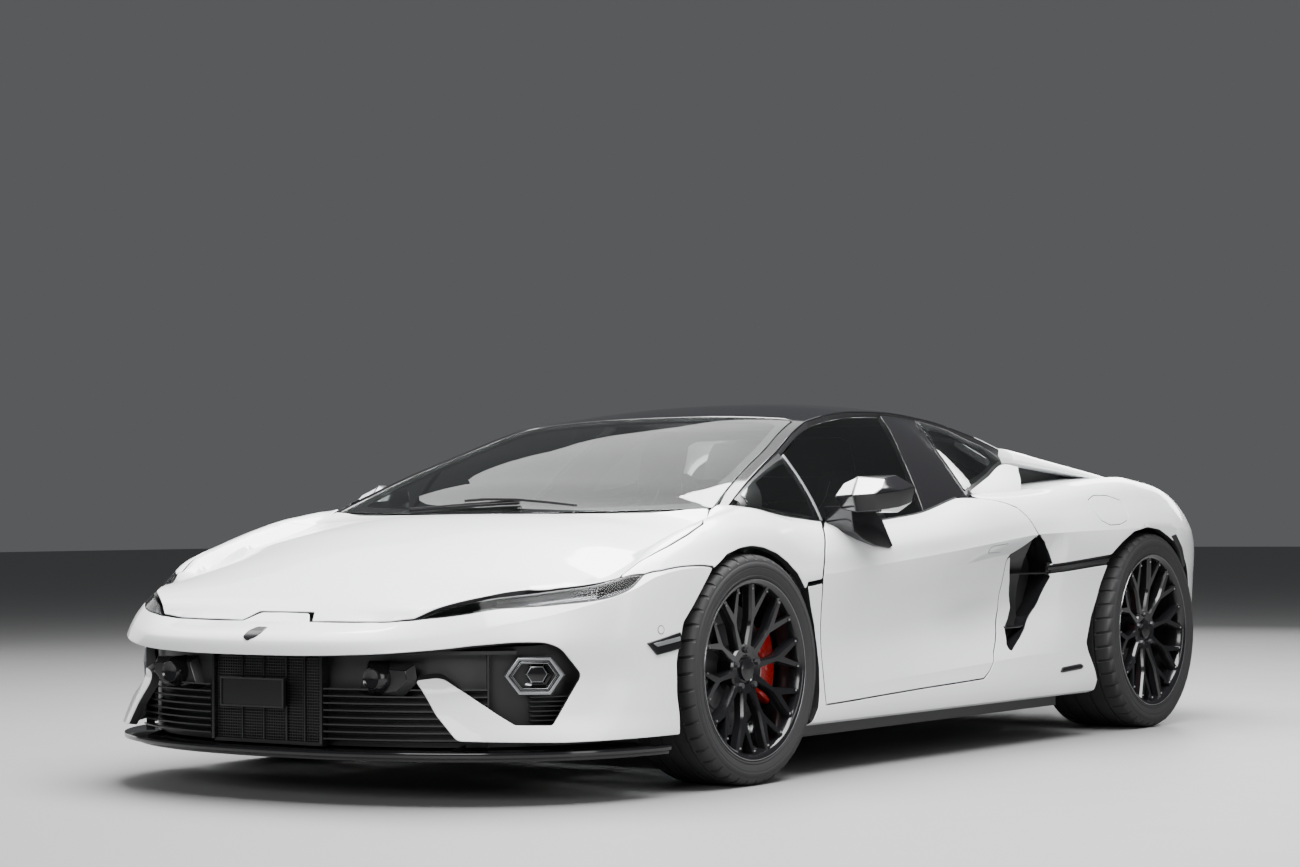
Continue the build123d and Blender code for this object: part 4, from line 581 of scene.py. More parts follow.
CLEAR = shader("clear lens", (0.62, 0.63, 0.64), 0.02, transmission=1.0, ior=1.12, grain=0.0, specular=0.3)
SMOKED = shader("smoked lens", (0.30, 0.10, 0.10), 0.02, transmission=1.0, ior=1.4, grain=0.0)
SILVER = shader("silver grey trim", (0.30, 0.31, 0.32), 0.3, metallic=0.7, grain=0.05)
LEATHER = shader("dark leather", (0.022, 0.021, 0.022), 0.55, grain=0.08, grain_size=350, bump=0.6)
LAMP_METAL = shader("lamp reflector", (0.62, 0.63, 0.64), 0.24, metallic=0.9, grain=0.05)
# painted highlight: a small glowing patch in the daytime lamp's dark core stands for the glint on its lens
PAINTED_LENS_GLINT = shader("lamp", (0.85, 0.87, 0.9), 0.3, emission=(0.9, 0.95, 1.0), glow=0.6, grain=0.02)
LAMP_RED = shader("tail lamp", (0.35, 0.01, 0.01), 0.12, emission=(1.0, 0.02, 0.01), glow=0.35, coat=1.0, grain=0.02)
SCREEN = shader("display", (0.004, 0.005, 0.007), 0.05, emission=(0.06, 0.08, 0.10), glow=0.05, grain=0.01)

# ------------------------------------------------------------------ outlines, as (y, z) unless they say otherwise
DOOR_LOW = [(-828, 214), (-552, 223), (-218, 234), (-6, 239), (165, 244), (212, 267), (271, 325), (361, 394),
            (439, 474), (464, 566), (455, 640)]
DOOR_BACK = [(470, 655), (524, 690), (556, 728)]
DOOR_TOP = [(535, 761), (511, 792), (473, 825), (400, 845), (310, 856)]
INTAKE_FRONT = [(472, 652), (507, 569), (511, 476), (470, 435), (426, 409), (377, 350), (380, 334), (398, 330)]
INTAKE_REAR = [(539, 400), (654, 489), (706, 578)]
INTAKE_TOP = [(708, 622), (679, 669), (635, 701), (557, 729)]
REAR_ARCH = [(987, 202), (957, 259), (919, 337), (962, 432), (1027, 549), (1078, 615), (1123, 653), (1187, 695),
             (1285, 733), (1399, 748), (1498, 739), (1572, 714)]


def circle_arc(y, z, radius, start, end, count):
    """Points of an arc as (y, z), angles in degrees from the tail's side upwards."""
    return [(y + radius * cos(radians(a)), z + radius * sin(radians(a))) for a in np.linspace(start, end, count)]


FRONT_ARCH_R = 366
front_arch = circle_arc(FRONT_AXLE_Y, 343, FRONT_ARCH_R, -32, 100, 14)
front_arch += [(-1346, 687), (-1432, 647), (-1516, 577), (-1591, 494), (-1624, 390), (-1626, 293), (-1612, 185),
               (-1608, 140)]
arch_sv = on_ring(front_arch, low=0.1, high=6.2)

# ------------------------------------------------------------------ surfaces that carry on past the ring's top line
DECK_REACH = 100
# hollow under the doors' upper crease: (y, depth), and the lines where it starts, is deepest and ends
FACET = [(-80, 0), (60, 8), (263, 30), (427, 44), (560, 48), (640, 30), (760, 0)]
FACET_LINES = (3.4, 4.4, 4.76, 5.0)


def skin(s, v):
    """The ring, mirrored past the nose and the tail, and carried on over the deck where v is above DECK_V."""
    s, v = np.asarray(s, float), np.asarray(v, float)
    side = np.where((s < RING_START) | (s > RING_END), -1.0, 1.0)
    s = np.where(s < RING_START, 2 * RING_START - s, np.where(s > RING_END, 2 * RING_END - s, s))
    points = ring(s, v)
    over = v > DECK_V
    if over.any():
        turn = np.radians(plan(s[over])[2])
        start = points[over]
        reach = (v[over] - DECK_V) * DECK_REACH
        x, y = start[:, 0] - reach * np.cos(turn), start[:, 1] - reach * np.sin(turn)
        base = bonnet(start[:, 0], start[:, 1])[:, 2]
        points[over] = np.stack([x, y, start[:, 2] + bonnet(x, y)[:, 2] - base], 1)
    facet = curve(FACET, 1, s) * np.interp(v, FACET_LINES, (0, 0.8, 1, 0))
    points[:, 0] = (points[:, 0] - facet) * side
    return points


BONNET_TREE = KDTree(len(GRID_SV))
for k in range(0, len(GRID_SV)):
    if GRID_SV[k, 0] < -700 and GRID_SV[k, 1] > 5 and (k % 3 == 0):
        BONNET_TREE.insert((GRID_POINTS[k, 0], GRID_POINTS[k, 1], 0), k)
BONNET_TREE.balance()


def front_top(x, y):
    """Bonnet surface over (x, y): crowned inside the ring's top line and the ring itself outside it."""
    x, y = np.asarray(x, float), np.asarray(y, float)
    points = bonnet(x, y)
    nose_x = np.abs(x)
    edge_x = deck_edge(y)[0]
    outside = (nose_x > edge_x) | (y < FRONT_DECK[0, 1])
    if outside.any():
        target = np.stack([nose_x[outside], y[outside]], 1)
        nearest = [BONNET_TREE.find((p[0], p[1], 0))[1] for p in target]
        best = GRID_SV[nearest].copy()
        for _ in range(4):
            here = ring(best[:, 0], best[:, 1])
            along_s = (ring(best[:, 0] + 1, best[:, 1]) - here)[:, :2]
            along_v = (ring(best[:, 0], best[:, 1] - 0.01) - here)[:, :2] / -0.01
            det = along_s[:, 0] * along_v[:, 1] - along_s[:, 1] * along_v[:, 0]
            det = np.where(np.abs(det) < 1e-3, 1e-3, det)
            miss = target - here[:, :2]
            best[:, 0] += np.clip((miss[:, 0] * along_v[:, 1] - miss[:, 1] * along_v[:, 0]) / det, -15, 15)
            best[:, 1] += np.clip((miss[:, 1] * along_s[:, 0] - miss[:, 0] * along_s[:, 1]) / det, -0.4, 0.4)
            best[:, 1] = np.clip(best[:, 1], 5, 8)
        points[outside, 2] = ring(best[:, 0], best[:, 1])[:, 2]
    return points


def mirror_of(points, about=0.0):
    """The mirror image of a half outline, run backwards."""
    return [(2 * about - p[0],) + tuple(p[1:]) for p in reversed(points)]


def mirrored(points, about=0.0):
    """A half outline followed by its mirror image across a value of the first parameter."""
    return list(points) + mirror_of(points, about)


def line_at(places, v):
    """Line along the skin at places, all at one v."""
    return [(s, v) for s in places]


BOTH = (1, -1)
HANDS = ((1, "left"), (-1, "right"))


# ------------------------------------------------------------------ front bumper: band, corners and fangs
# (s, v) from the centre line outwards along the lower edge, round the fang and up to the headlamp
BAND_LOW = [(-2800, 4.06), (-2600, 4.15), (-2290, 4.25), (-2161, 4.19, 40), (-2062, 4.0, 30), (-2014, 3.81, 20)]
FANG = [(-1945, 3.12, 16), (-2049, 1.69, 8), (-2160, 1.72, 8), (-2378, 3.22, 22), (-2455, 3.16, 16), (-2388, 2.06),
        (-2324, 1.22, 14), (-2014, 1.12), (-1612, 1.15, 6)]
ARCH_FRONT = [(-1613, 1.88), (-1624, 2.45), (-1624, 3.36), (-1591, 4.14), (-1540, 4.40), (-1458, 4.86),
              (-1440, 4.97, 2)]
LAMP_LOW = [(-1722, 5.45, 6), (-1790, 5.05, 30), (-1859, 5.06, 60), (-1988, 5.5), (-2295, 6.19), (-2471, 6.95, 10)]
LAMP_UP = [(-2471, 7.0, 6), (-2385, 7.75), (-2239, 7.62), (-1990, 7.1), (-1786, 6.35), (-1722, 5.5, 6)]
SEAM = [(-1475, 5.04), (-1665, 5.22)]
PLINTH = [(-2868, 8.0, 6), (-2906, 8.42, 12)]
bumper_half = BAND_LOW + FANG + ARCH_FRONT + SEAM + LAMP_LOW + [(-2520, 7.4, 30), (-2600, 7.95, 30)] + PLINTH
panel("front_bumper_skin", rounded(mirrored(bumper_half, RING_START), 10, 100), skin, WHITE, "front_bumper",
      folds=[line_at(np.arange(-2200, -1400, 25), 5)], depth=26, step=26, lip=2.2)

# ------------------------------------------------------------------ bonnet, over (x, y)
lamp_top = ring(*np.array([p[:2] for p in LAMP_UP[:5]]).T)[:, :2]
front_line = ring(*np.array([(-2600, 7.98), (-2700, 8.0), (-2860, 8.0)]).T)[:, :2]
cut_line = [(882, -1740), (906, -1645), (912, -1560), (908, -1450), (893, -1352, 16), (863, -1306), (800, -1195),
            (768, -1140, 12)]


def screen_base(x, behind=0.0):
    """y of the windscreen's lower edge, moved towards the tail by behind."""
    part = (np.asarray(x) / SCREEN_CORNER_X) ** 2
    return SCREEN_NOSE_Y + (SCREEN_CORNER_Y - SCREEN_NOSE_Y) * part + behind


bonnet_half = [(0, screen_base(0, -16))] + [(x, screen_base(x, -16)) for x in (150, 300, 450, 600, 700)]
bonnet_half += [(p[0] - 4, p[1]) + tuple(p[2:]) for p in cut_line[::-1]]
bonnet_half += [(p[0] - 3, p[1] + 6) for p in lamp_top[::-1]]
bonnet_half += [(p[0], p[1] + GAP) for p in front_line] + [(108, -2178, 6), (0, -2178)]
panel("bonnet_skin", rounded(mirrored(bonnet_half[1:-1][::-1]), 4), front_top, WHITE, "bonnet", body="bonnet",
      scale=1, depth=22, step=30, lip=2.2)

# ------------------------------------------------------------------ fenders
front_post = on_ring([(-828, 600), (-799, 690), (-736, 762)], low=4, high=8)
arch_top = [p for p in arch_sv if -1440 < p[0] < -905 and p[1] > 4.7]
fender_half = [(-1432, 5.03, 2)] + arch_top[::-1] + [(-914, 4.86, 4), (-832, 4.92, 4)]
fender_half += [(front_post[1][0] - 4, front_post[1][1]), (front_post[2][0] - 4, front_post[2][1]), (-668, 7.97, 10)]
fender_half += line_at((-760, -850, -950, -1040), 8) + [(-1085, 8.16), (-1112, 8.45, 6), (-1150, 8.36), (-1195, 8.05)]
fender_cut = on_ring([(p[0] + 1, p[1]) for p in cut_line[:6]], axis="xy", low=5.8, high=8)
fender_half += [(-1307, 7.1)] + fender_cut[4::-1] + [(-1778, 6.28), (-1718, 5.5, 6), (-1660, 5.28), (-1475, 5.1)]
panel("fender_skins", rounded(fender_half, 6, 100), skin, WHITE, "fender_left", "fender_right", depth=24, step=24,
      lip=2.2, sides=BOTH)

# ------------------------------------------------------------------ sides, doors and rear quarters
SEAM_TAIL = along(("tail", 24))
front_low = [(-903, 0.35), (-903, 0.9), (-873, 1.96), (-855, 3.08), (-847, 3.45), (-851, 3.81), (-866, 4.16),
             (-893, 4.46), (-914, 4.78, 3)]
rear_arch_sv = on_ring(REAR_ARCH, low=0.5, high=6.5)
rear_arch_back = on_ring(circle_arc(REAR_AXLE_Y, 364, 386, 52, 4, 8), low=0.5, high=6.5)
door_low, door_back = on_ring(DOOR_LOW, low=0.5, high=6.5), on_ring(DOOR_BACK, low=0.5, high=6.5)
door_top = on_ring(DOOR_TOP, low=4.5, high=8)
intake_front, intake_rear, intake_top = (on_ring(line, low=0.5, high=6.5)
                                         for line in (INTAKE_FRONT, INTAKE_REAR, INTAKE_TOP))
STRIP_TOP = on_ring([(694, 621), (1096, 651)], low=3, high=6)
STRIP_LOW = on_ring([(694, 587), (1068, 613)], low=3, high=6)

sill_half = front_low + [(-830, 4.84, 3)] + door_low + intake_front + intake_rear
sill_half += STRIP_LOW + [rear_arch_sv[k] for k in (4, 3, 2, 1, 0)] + [(974, 0.35, 6)]
side_folds = [line_at(np.arange(-1000, 1750, 25), 5), line_at(np.arange(-60, 760, 20), 4.76),
              line_at(np.arange(-1000, 1500, 25), 3), line_at(np.arange(-1000, 1500, 25), 1)]
panel("sill_skins", rounded(sill_half, 5, 100), skin, WHITE, folds=side_folds, depth=30, step=26, lip=2.0, sides=BOTH)

FLAP = [(1018, 850), (1022, 812), (1050, 775), (1109, 757), (1190, 760), (1251, 773), (1280, 800), (1268, 850),
        (1180, 868), (1080, 868)]
flap_loop = rounded(on_ring(FLAP, low=5, high=7.9), 10, 100)
quarter_half = intake_top[::-1] + STRIP_TOP + rear_arch_sv[7:] + rear_arch_back
quarter_half += [(SEAM_TAIL, 3.05), (SEAM_TAIL, 8)] + line_at((1700, 1550, 1350, 1150, 950, 780), 8)
quarter_half += line_at((760, 600, 450), 8.1) + [(302, 8.1)] + door_top[::-1]
panel("quarter_skins", rounded(quarter_half, 5, 100), skin, WHITE, "side_left", "side_right", folds=side_folds[:1],
      depth=26, step=26, lip=2.0, sides=BOTH, holes=[flap_loop])
panel("filler_flaps", flap_loop, skin, WHITE, depth=10, step=26, lip=1.5, sides=BOTH, gap=2.0)

door_half = door_low + door_back + door_top + line_at((200, 50, -100, -250, -400, -550), 8) + [(-655, 7.98, 10)]
door_half += [front_post[2], front_post[1], (-828, 4.9)]
for side, hand in HANDS:
    panel(f"door_skin_{hand}", rounded(door_half, 5, 100), skin, WHITE, f"door_{hand}", body=f"door_{hand}",
          folds=side_folds, depth=60, step=26, lip=2.0, sides=(side,), gap=GAP)


# ------------------------------------------------------------------ roof, pillars and glass
def edge_of_roof(ys, inset=0.0):
    """Points on the roof's rail, moved inwards by inset."""
    return [(float(rail(y)[0]) - inset, y) for y in ys]


PILLAR = 46
outer = [(801, -1094)] + edge_of_roof((-1000, -900, -775, -650, -480, -330, -160, 0, 200, 450, 600, 700))
inner = edge_of_roof((-1010, -900, -775, -650, -480, -360), PILLAR)
horn = edge_of_roof((780, 868)) + [(652, 868, 8), (606, 716, 30)]
roof_loop = mirrored(outer + horn) + mirrored([(-772, -1108)] + [(-x, y) for x, y in inner] + [(-520, -325, 40)])
panel("roof_skin", rounded(roof_loop, 3), roof, BLACK_PAINT, "roof", slot="black_paint", scale=1, depth=26, step=30,
      lip=5)

SCREEN_LINE = (-760, -700, -600, -450, -300, -150, 0, 150, 300, 450, 600, 700, 760)
screen_side = edge_of_roof((-1010, -900, -775, -650, -480, -362), PILLAR + 3)
screen_loop = [(x, screen_base(x, 1)) for x in SCREEN_LINE] + mirrored(screen_side + [(512, -330, 40)])
panel("windscreen_glass", rounded(screen_loop, 3), roof, GLASS, "windscreen", slot="glass", scale=1, depth=5,
      step=40, lip=1, dark=False)


def frit(x, y):
    """Surface just under the windscreen, for its black edge."""
    points = roof(x, y)
    points[:, 2] -= 8
    return points


frit_hole = [(x * 0.9, screen_base(x * 0.9, 62)) for x in SCREEN_LINE]
frit_hole += mirrored(edge_of_roof((-860, -775, -650, -480, -400), PILLAR + 42) + [(440, -372, 60)])
panel("windscreen_edge", rounded(screen_loop, 3), frit, BLACK_SATIN, slot="black_paint", scale=1, depth=2, step=40,
      lip=0.5, holes=[rounded(frit_hole, 30)])

# side windows in (y, t): fixed front light, door glass and rear light, with the CAD nodes that each side stands for
WINDOWS = [
    # name, body, outline, nodes on the left, nodes on the right
    ("front_light", "chassis", [(-1040, 0.10), (-668, 0.02), (-642, 0.90), (-900, 0.93), (-1000, 0.90)], (), ()),
    ("door_window", "door", [(-654, 0.01), (-30, 0.01, 20), (66, 0.5, 60), (168, 0.93, 50), (-250, 0.94), (-450, 0.94),
                             (-628, 0.92)], ("door_glass_left",), ("door_glass_right",)),
    ("rear_light", "chassis", [(292, 0.04, 8), (470, 0.04), (590, 0.05), (744, 0.10, 10), (690, 0.56, 10),
                               (553, 0.86, 20), (415, 0.92), (390, 0.92), (326, 0.45)], ("side_lights",), ()),
]
WINDOW_HEIGHT = 380
for name, body, outline, *nodes in WINDOWS:
    for (side, hand), stands_for in zip(HANDS, nodes):
        panel(f"{name}_{hand}", rounded(outline, 10, WINDOW_HEIGHT), side_window, GLASS, *stands_for,
              body=body if body == "chassis" else f"door_{hand}", slot="glass", scale=WINDOW_HEIGHT, depth=4, step=40,
              lip=0.8, sides=(side,), dark=False)


def window_back(y, t):
    """Surface of the black frames, just inside the glass."""
    points = side_window(y, t)
    points[:, 0] -= 6
    points[:, 2] -= 4
    return points


post_loop = [(-24, -0.02), (304, -0.02), (336, 0.45), (402, 0.97), (180, 0.97), (78, 0.5)]
panel("quarter_posts", rounded(post_loop, 4, WINDOW_HEIGHT), window_back, BLACK_GLOSS, slot="black_paint",
      scale=WINDOW_HEIGHT, depth=20, step=40, lip=2, sides=BOTH)


# ------------------------------------------------------------------ gathered shapes
class Shape:
    """Faces gathered for one piece, with a material for each of them."""

    def __init__(self):
        self.points, self.faces, self.indices, self.materials = [], [], [], []

    def add(self, solid, material):
        points, faces = solid
        paints = material if isinstance(material, list) else [material] * len(faces)
        self.materials += [paint for paint in dict.fromkeys(paints) if paint not in self.materials]
        start = len(self.points)
        self.points += [tuple(float(v) for v in p) for p in points]
        self.faces += [tuple(start + int(i) for i in face) for face in faces]
        self.indices += [self.materials.index(paint) for paint in paints]

    def both(self, solid, material):
        """The solid and its mirror image."""
        points, faces = solid
        self.add(solid, material)
        self.add(([(-p[0], p[1], p[2]) for p in points], faces), material)

    def moved(self, place):
        """A new shape with every point sent through place(x, y, z)."""
        other = Shape()
        other.points = [place(*p) for p in self.points]
        other.faces, other.indices, other.materials = self.faces, self.indices, self.materials
        return other

    def piece(self, name, *nodes, body="chassis", slot="black_gloss", bevel=0.0, angle=34, segments=2):
        """The shape as a Blender object that stands for the nodes, with its edges rounded if bevel says so."""
        made = make_mesh(name, self.points, self.faces, None, self.materials, self.indices)
        work = bmesh.new()
        work.from_mesh(made.data)
        bmesh.ops.recalc_face_normals(work, faces=work.faces)
        if bevel:
            sharp = [e for e in work.edges if len(e.link_faces) == 2 and e.calc_face_angle(0) > radians(angle)]
            bmesh.ops.bevel(work, geom=sharp, offset=bevel * MM, segments=segments, profile=0.6,
                            affect="EDGES", clamp_overlap=True)
        work.to_mesh(made.data)
        work.free()
        made.data.polygons.foreach_set("use_smooth", [True] * len(made.data.polygons))
        made.data.set_sharp_from_angle(angle=radians(angle))
        return settle(made, body, slot, *nodes)


def over_xy(a, b, c):
    """Place for an outline seen from above."""
    return a, b, c


def over_xz(a, b, c):
    """Place for an outline seen from the front or back."""
    return a, c, b


def over_yz(a, b, c):
    """Place for an outline seen from the side."""
    return c, a, b


def filled(line, count):
    """The line with each of its stretches cut into count parts."""
    line = np.asarray(line, float)
    return [a + (b - a) * k / count for a, b in zip(line, line[1:]) for k in range(count)] + [line[-1]]


def circle(radius, count=12):
    """Outline of a circle."""
    return [(radius * cos(a), radius * sin(a)) for a in np.linspace(0, 2 * pi, count, endpoint=False)]


def rectangle(left, low, right, high):
    """Outline of a rectangle."""
    return [(left, low), (right, low), (right, high), (left, high)]


def slab(outline, low, high, place=over_xy, top=None):
    """Outline (a, b) raised from low to high; place(a, b, c) gives the point. top is the outline of the far end."""
    size = len(outline)
    points = [place(a, b, low) for a, b in outline] + [place(a, b, high) for a, b in top or outline]
    sides = [(k, (k + 1) % size, size + (k + 1) % size, size + k) for k in range(size)]
    return points, sides + [tuple(range(size, 2 * size)), tuple(range(size))[::-1]]


def lathe(profile, count=72, closed=True, turn=360.0, start=0.0):
    """Surface of a profile of (x, radius) turned about X."""
    whole = turn >= 360
    angles = np.radians(start + np.linspace(0, turn, count + 1)[:count if whole else count + 1])
    points = [(x, r * cos(a), r * sin(a)) for a in angles for x, r in profile]
    size, rings = len(profile), len(angles)
    faces = []
    for k in range(rings if whole else rings - 1):
        here, there = k * size, (k + 1) % rings * size
        for j in range(size if closed else size - 1):
            n = (j + 1) % size
            faces.append((here + j, here + n, there + n, there + j))
    if not whole and closed:
        faces += [tuple(range(size)), tuple(range((rings - 1) * size, rings * size))[::-1]]
    return points, faces


def box(low, high):
    """Box between two corners."""
    return slab(rectangle(*low[:2], *high[:2]), low[2], high[2])


def loft_faces(rings, size, closed=False):
    """Faces between rings of points of one size; the first and last ring are joined if closed, or else capped."""
    faces = []
    for k in range(rings if closed else rings - 1):
        here, there = k * size, (k + 1) % rings * size
        faces += [(here + j, here + (j + 1) % size, there + (j + 1) % size, there + j) for j in range(size)]
    if not closed:
        faces += [tuple(range(size)), tuple(range((rings - 1) * size, rings * size))[::-1]]
    return faces


def swept(section, path):
    """Section (a, b) carried along path points; a lies level and b up, both square to the path."""
    path = np.asarray(path, float)
    points = []
    for here, way in zip(path, unit(np.gradient(path, axis=0))):
        level = unit(np.cross(way, (0, 0, 1.0)) + 1e-9)
        up = np.cross(level, way)
        points += [here + level * a + up * b for a, b in section]
    return points, loft_faces(len(path), len(section))


def shrunk(outline, amount):
    """Flat outline moved inwards by an amount."""
    sign = area_sign(outline)
    result = []
    for k, here in enumerate(outline):
        before, after = outline[k - 1], outline[(k + 1) % len(outline)]
        d1 = unit(np.array([here[0] - before[0], here[1] - before[1]], float))
        d2 = unit(np.array([after[0] - here[0], after[1] - here[1]], float))
        n = sign * (np.array([-d1[1], d1[0]]) + np.array([-d2[1], d2[0]])) / max(1 + (d1 * d2).sum(), 0.3)
        result.append((here[0] + amount * n[0], here[1] + amount * n[1]))
    return result


# ------------------------------------------------------------------ wheels, in wheel coordinates: +X outwards
TREAD_BLOCKS, TREAD_DEPTH = 44, 6
SPOKES = 10


def tyre_shape(size):
    """Tyre with ribbed side walls, three long grooves and slanting shoulder grooves."""
    radius, half, bead, flange = size["tyre"], size["half"], size["bead"], size["flange"]
    wall = [(half - 9, bead), (half - 8, flange), (half - 5, flange + 3), (half - 4, flange + 7),
            (half - 5.5, flange + 9), (half - 2, flange + 18), (half - 0.5, flange + 30),
            (half - 1.5, flange + 31.5), (half - 0.4, flange + 33), (half, radius - 34), (half - 2, radius - 25),
            (half - 3.2, radius - 24), (half - 4, radius - 18), (half - 11, radius - 8)]
    shoulder = [(half - 20, radius - 3.2), (half - 34, radius - 1), (half * 0.62, radius - 0.4)]
    groove_in, groove_half = TREAD_DEPTH, 5
    tread = []
    for middle in (half * 0.56, half * 0.2):
        tread += [(middle + groove_half, radius), (middle + groove_half - 1, radius - groove_in),
                  (middle - groove_half + 1, radius - groove_in), (middle - groove_half, radius)]
    right = wall + shoulder + tread
    profile = right + [(-x, r) for x, r in right[::-1]]
    first, last = len(wall) - 2, len(wall) + len(shoulder)
    cut = set(range(first, last)) | set(range(len(profile) - last, len(profile) - first))
    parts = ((0.0, 0.78, 0.82, 0.95))
    points = []
    for block in range(TREAD_BLOCKS):
        for k, part in enumerate(parts):
            for j, (x, r) in enumerate(profile):
                lean = 0.10 * (1 - abs(x) / half) if r > radius - 30 else 0
                a = 2 * pi * (block + part + lean * 4) / TREAD_BLOCKS
                depth = TREAD_DEPTH * 0.8 if j in cut and k >= len(parts) - 2 and r > radius - 10 else 0
                points.append((x, (r - depth) * cos(a), (r - depth) * sin(a)))
    shape = Shape()
    shape.add((points, loft_faces(TREAD_BLOCKS * len(parts), len(profile), closed=True)), RUBBER)
    return shape


def beside(radius, angle):
    """Place for a small outline at a radius and an angle round the axle."""
    return lambda a, b, c: (c, radius * cos(angle) + a, radius * sin(angle) + b)


def turned(angle):
    """Place for an outline (radius, across) turned round the axle."""
    return lambda r, t, c: (c, r * cos(angle) - t * sin(angle), r * sin(angle) + t * cos(angle))


# stud at the end of a spoke: a flat cap, open at the back
STUD = [(0, -3, -3), (0, 3, -3), (0, 3, 3), (0, -3, 3), (2.6, -2, -2), (2.6, 2, -2), (2.6, 2, 2), (2.6, -2, 2)]
STUD_FACES = [(0, 1, 5, 4), (1, 2, 6, 5), (2, 3, 7, 6), (3, 0, 4, 7), (4, 5, 6, 7)]


def rim_shape(size):
    """Barrel, forked spokes, hub with nuts, and the brake disc that turns with it."""
    half, bead, flange, disc = size["half"], size["bead"], size["flange"], size["disc"]
    lip = half - 6
    shape = Shape()
    barrel = [(lip - 6, flange - 1), (lip - 1, flange - 1), (lip + 1, flange - 4), (lip, flange - 9),
              (lip - 5, bead - 4), (lip - 14, bead - 9), (lip - 40, bead - 13), (20, bead - 20),
              (-lip + 30, bead - 15), (-lip + 4, bead - 7), (-lip, flange - 2), (-lip + 6, flange - 1),
              (-lip + 8, bead - 2), (-lip + 34, bead - 9), (20, bead - 13), (lip - 40, bead - 7),
              (lip - 14, bead - 2)]
    shape.add(lathe(barrel, 96), RIM_BLACK)
    # lip ring in lighter metal: painted highlight on the rim's lip
    shape.add(lathe([(lip + 0.6, flange - 5.5), (lip + 1.4, flange - 4.5), (lip + 1.2, flange - 3),
                     (lip, flange - 2.5)], 96), RIM_LIP_HIGHLIGHT)
    reach = bead - 5
    fork, stem = 0.64 * reach, 58

    def outline(narrow):
        points = [(stem, -15 + narrow), (0.5 * reach, -9.5 + narrow * 0.8), (fork - 8, -11 + narrow)]
        for turn in (-11.2, -7.2):
            a = radians(turn)
            shift = narrow * 0.8 if turn < -9 else -narrow * 0.8
            points.append((reach * cos(a), reach * sin(a) + shift))
        points.append((fork + 16 + narrow * 1.5, 0))
        return points + [(r, -t) for r, t in points[-2::-1]]

    face_hub, face_rim = lip - 34, lip - 7

    def at(turn):
        def place(r, t, c):
            share = (r - stem) / (reach - stem)
            x = face_hub + (face_rim - face_hub) * share**1.6 + c
            a = radians(turn)
            return x, r * cos(a) - t * sin(a), r * sin(a) + t * cos(a)
        return place

    def inner(outline_points):
        """The outline with two points added on each long edge."""
        result = []
        for a, b in zip(outline_points, outline_points[1:] + outline_points[:1]):
            result.append(a)
            if hypot(b[0] - a[0], b[1] - a[1]) > 70:
                result += [(a[0] + (b[0] - a[0]) * k / 3, a[1] + (b[1] - a[1]) * k / 3) for k in (1, 2)]
        return result

    for k in range(SPOKES):
        place = at(k * 360 / SPOKES + 9)
        low, middle, top = (inner(outline(n)) for n in (-1.5, 0, 4.2))
        shape.add(slab(low, -30, -9, place, middle), RIM_BLACK)
        shape.add(slab(middle, -9, 0, place, top), RIM_BLACK)
        edge = radians(k * 360 / SPOKES + 9)
        for sign in (-1, 1):
            a, r = edge + radians(9.2 * sign), reach - 14
            x, y, z = face_rim - 1.5, r * cos(a), r * sin(a)
            shape.add(([(x + dx, y + dy, z + dz) for dx, dy, dz in STUD], STUD_FACES), STEEL)
    hub = [(-10, 0.1), (-10, 70), (face_hub - 18, 74), (face_hub - 6, 76), (face_hub + 1, 72), (face_hub - 2, 44),
           (face_hub - 6, 40), (face_hub - 6, 34), (face_hub + 4, 33), (face_hub + 7, 28), (face_hub + 8, 0.1)]
    shape.add(lathe(hub, 60, closed=False), RIM_BLACK)
    for k in range(5):
        a = radians(72 * k + 20)
        nut = circle(10.5, 6)
        shape.add(slab(nut, face_hub - 3, face_hub + 9, beside(57, a), shrunk(nut, 1.5)), DARK_STEEL)
    # brake disc: two faces, vanes between them and a bell
    inner_x, outer_x = -18, 12
    for low, high in ((inner_x, inner_x + 10), (outer_x - 10, outer_x)):
        face = [(low, disc - 64), (low, disc - 2), (low + 1.5, disc), (high - 1.5, disc), (high, disc - 2),
                (high, disc - 64)]
        shape.add(lathe(face, 90), DISC_GREY)
    for k in range(36):
        a = radians(10 * k)
        shape.add(slab(rectangle(disc - 60, -2, disc - 4, 2), inner_x + 10, outer_x - 10, turned(a)), DISC_GREY)
    shape.add(lathe([(outer_x - 6, disc - 58), (outer_x + 3, disc - 66), (outer_x + 18, 76), (outer_x + 18, 60),
                     (outer_x + 8, 60), (outer_x - 8, disc - 66)], 60), DARK_STEEL)
    for k in range(48):
        a, r = radians(7.5 * k), disc - 14 - 12 * (k % 4)
        dot = circle(2.6, 8)
        shape.add(slab(dot, outer_x - 1, outer_x + 0.3, beside(r, a)), BLACK_MATT)
    return shape


def caliper_shape(size, side):
    """Caliper over the disc's edge; side is +1 behind the hub."""
    disc = size["disc"]
    section = [(-53, disc - 60), (-24, disc - 60), (-23, disc + 5), (17, disc + 5), (18, disc - 60), (36, disc - 60),
               (43, disc - 50), (43, disc + 12), (34, disc + 25), (-44, disc + 25), (-53, disc + 14)]
    shape = Shape()
    middle = 0 if side > 0 else 180
    shape.add(lathe(section, 16, turn=62, start=middle - 31), RED)
    for turn in (-19, 0, 19):
        a = radians(middle + turn)
        boss = circle(17, 16)
        shape.add(slab(boss, 40, 46, beside(disc - 26, a), shrunk(boss, 2)), RED)
    return shape


def set_on(shape, size, side):
    """A wheel shape moved to its axle, on the left (+1) or the right (-1)."""
    reach, axle, height = size["track"] / 2, size["y"], size["tyre"]
    return shape.moved(lambda x, y, z: (side * (reach + x), axle + y, height + z))


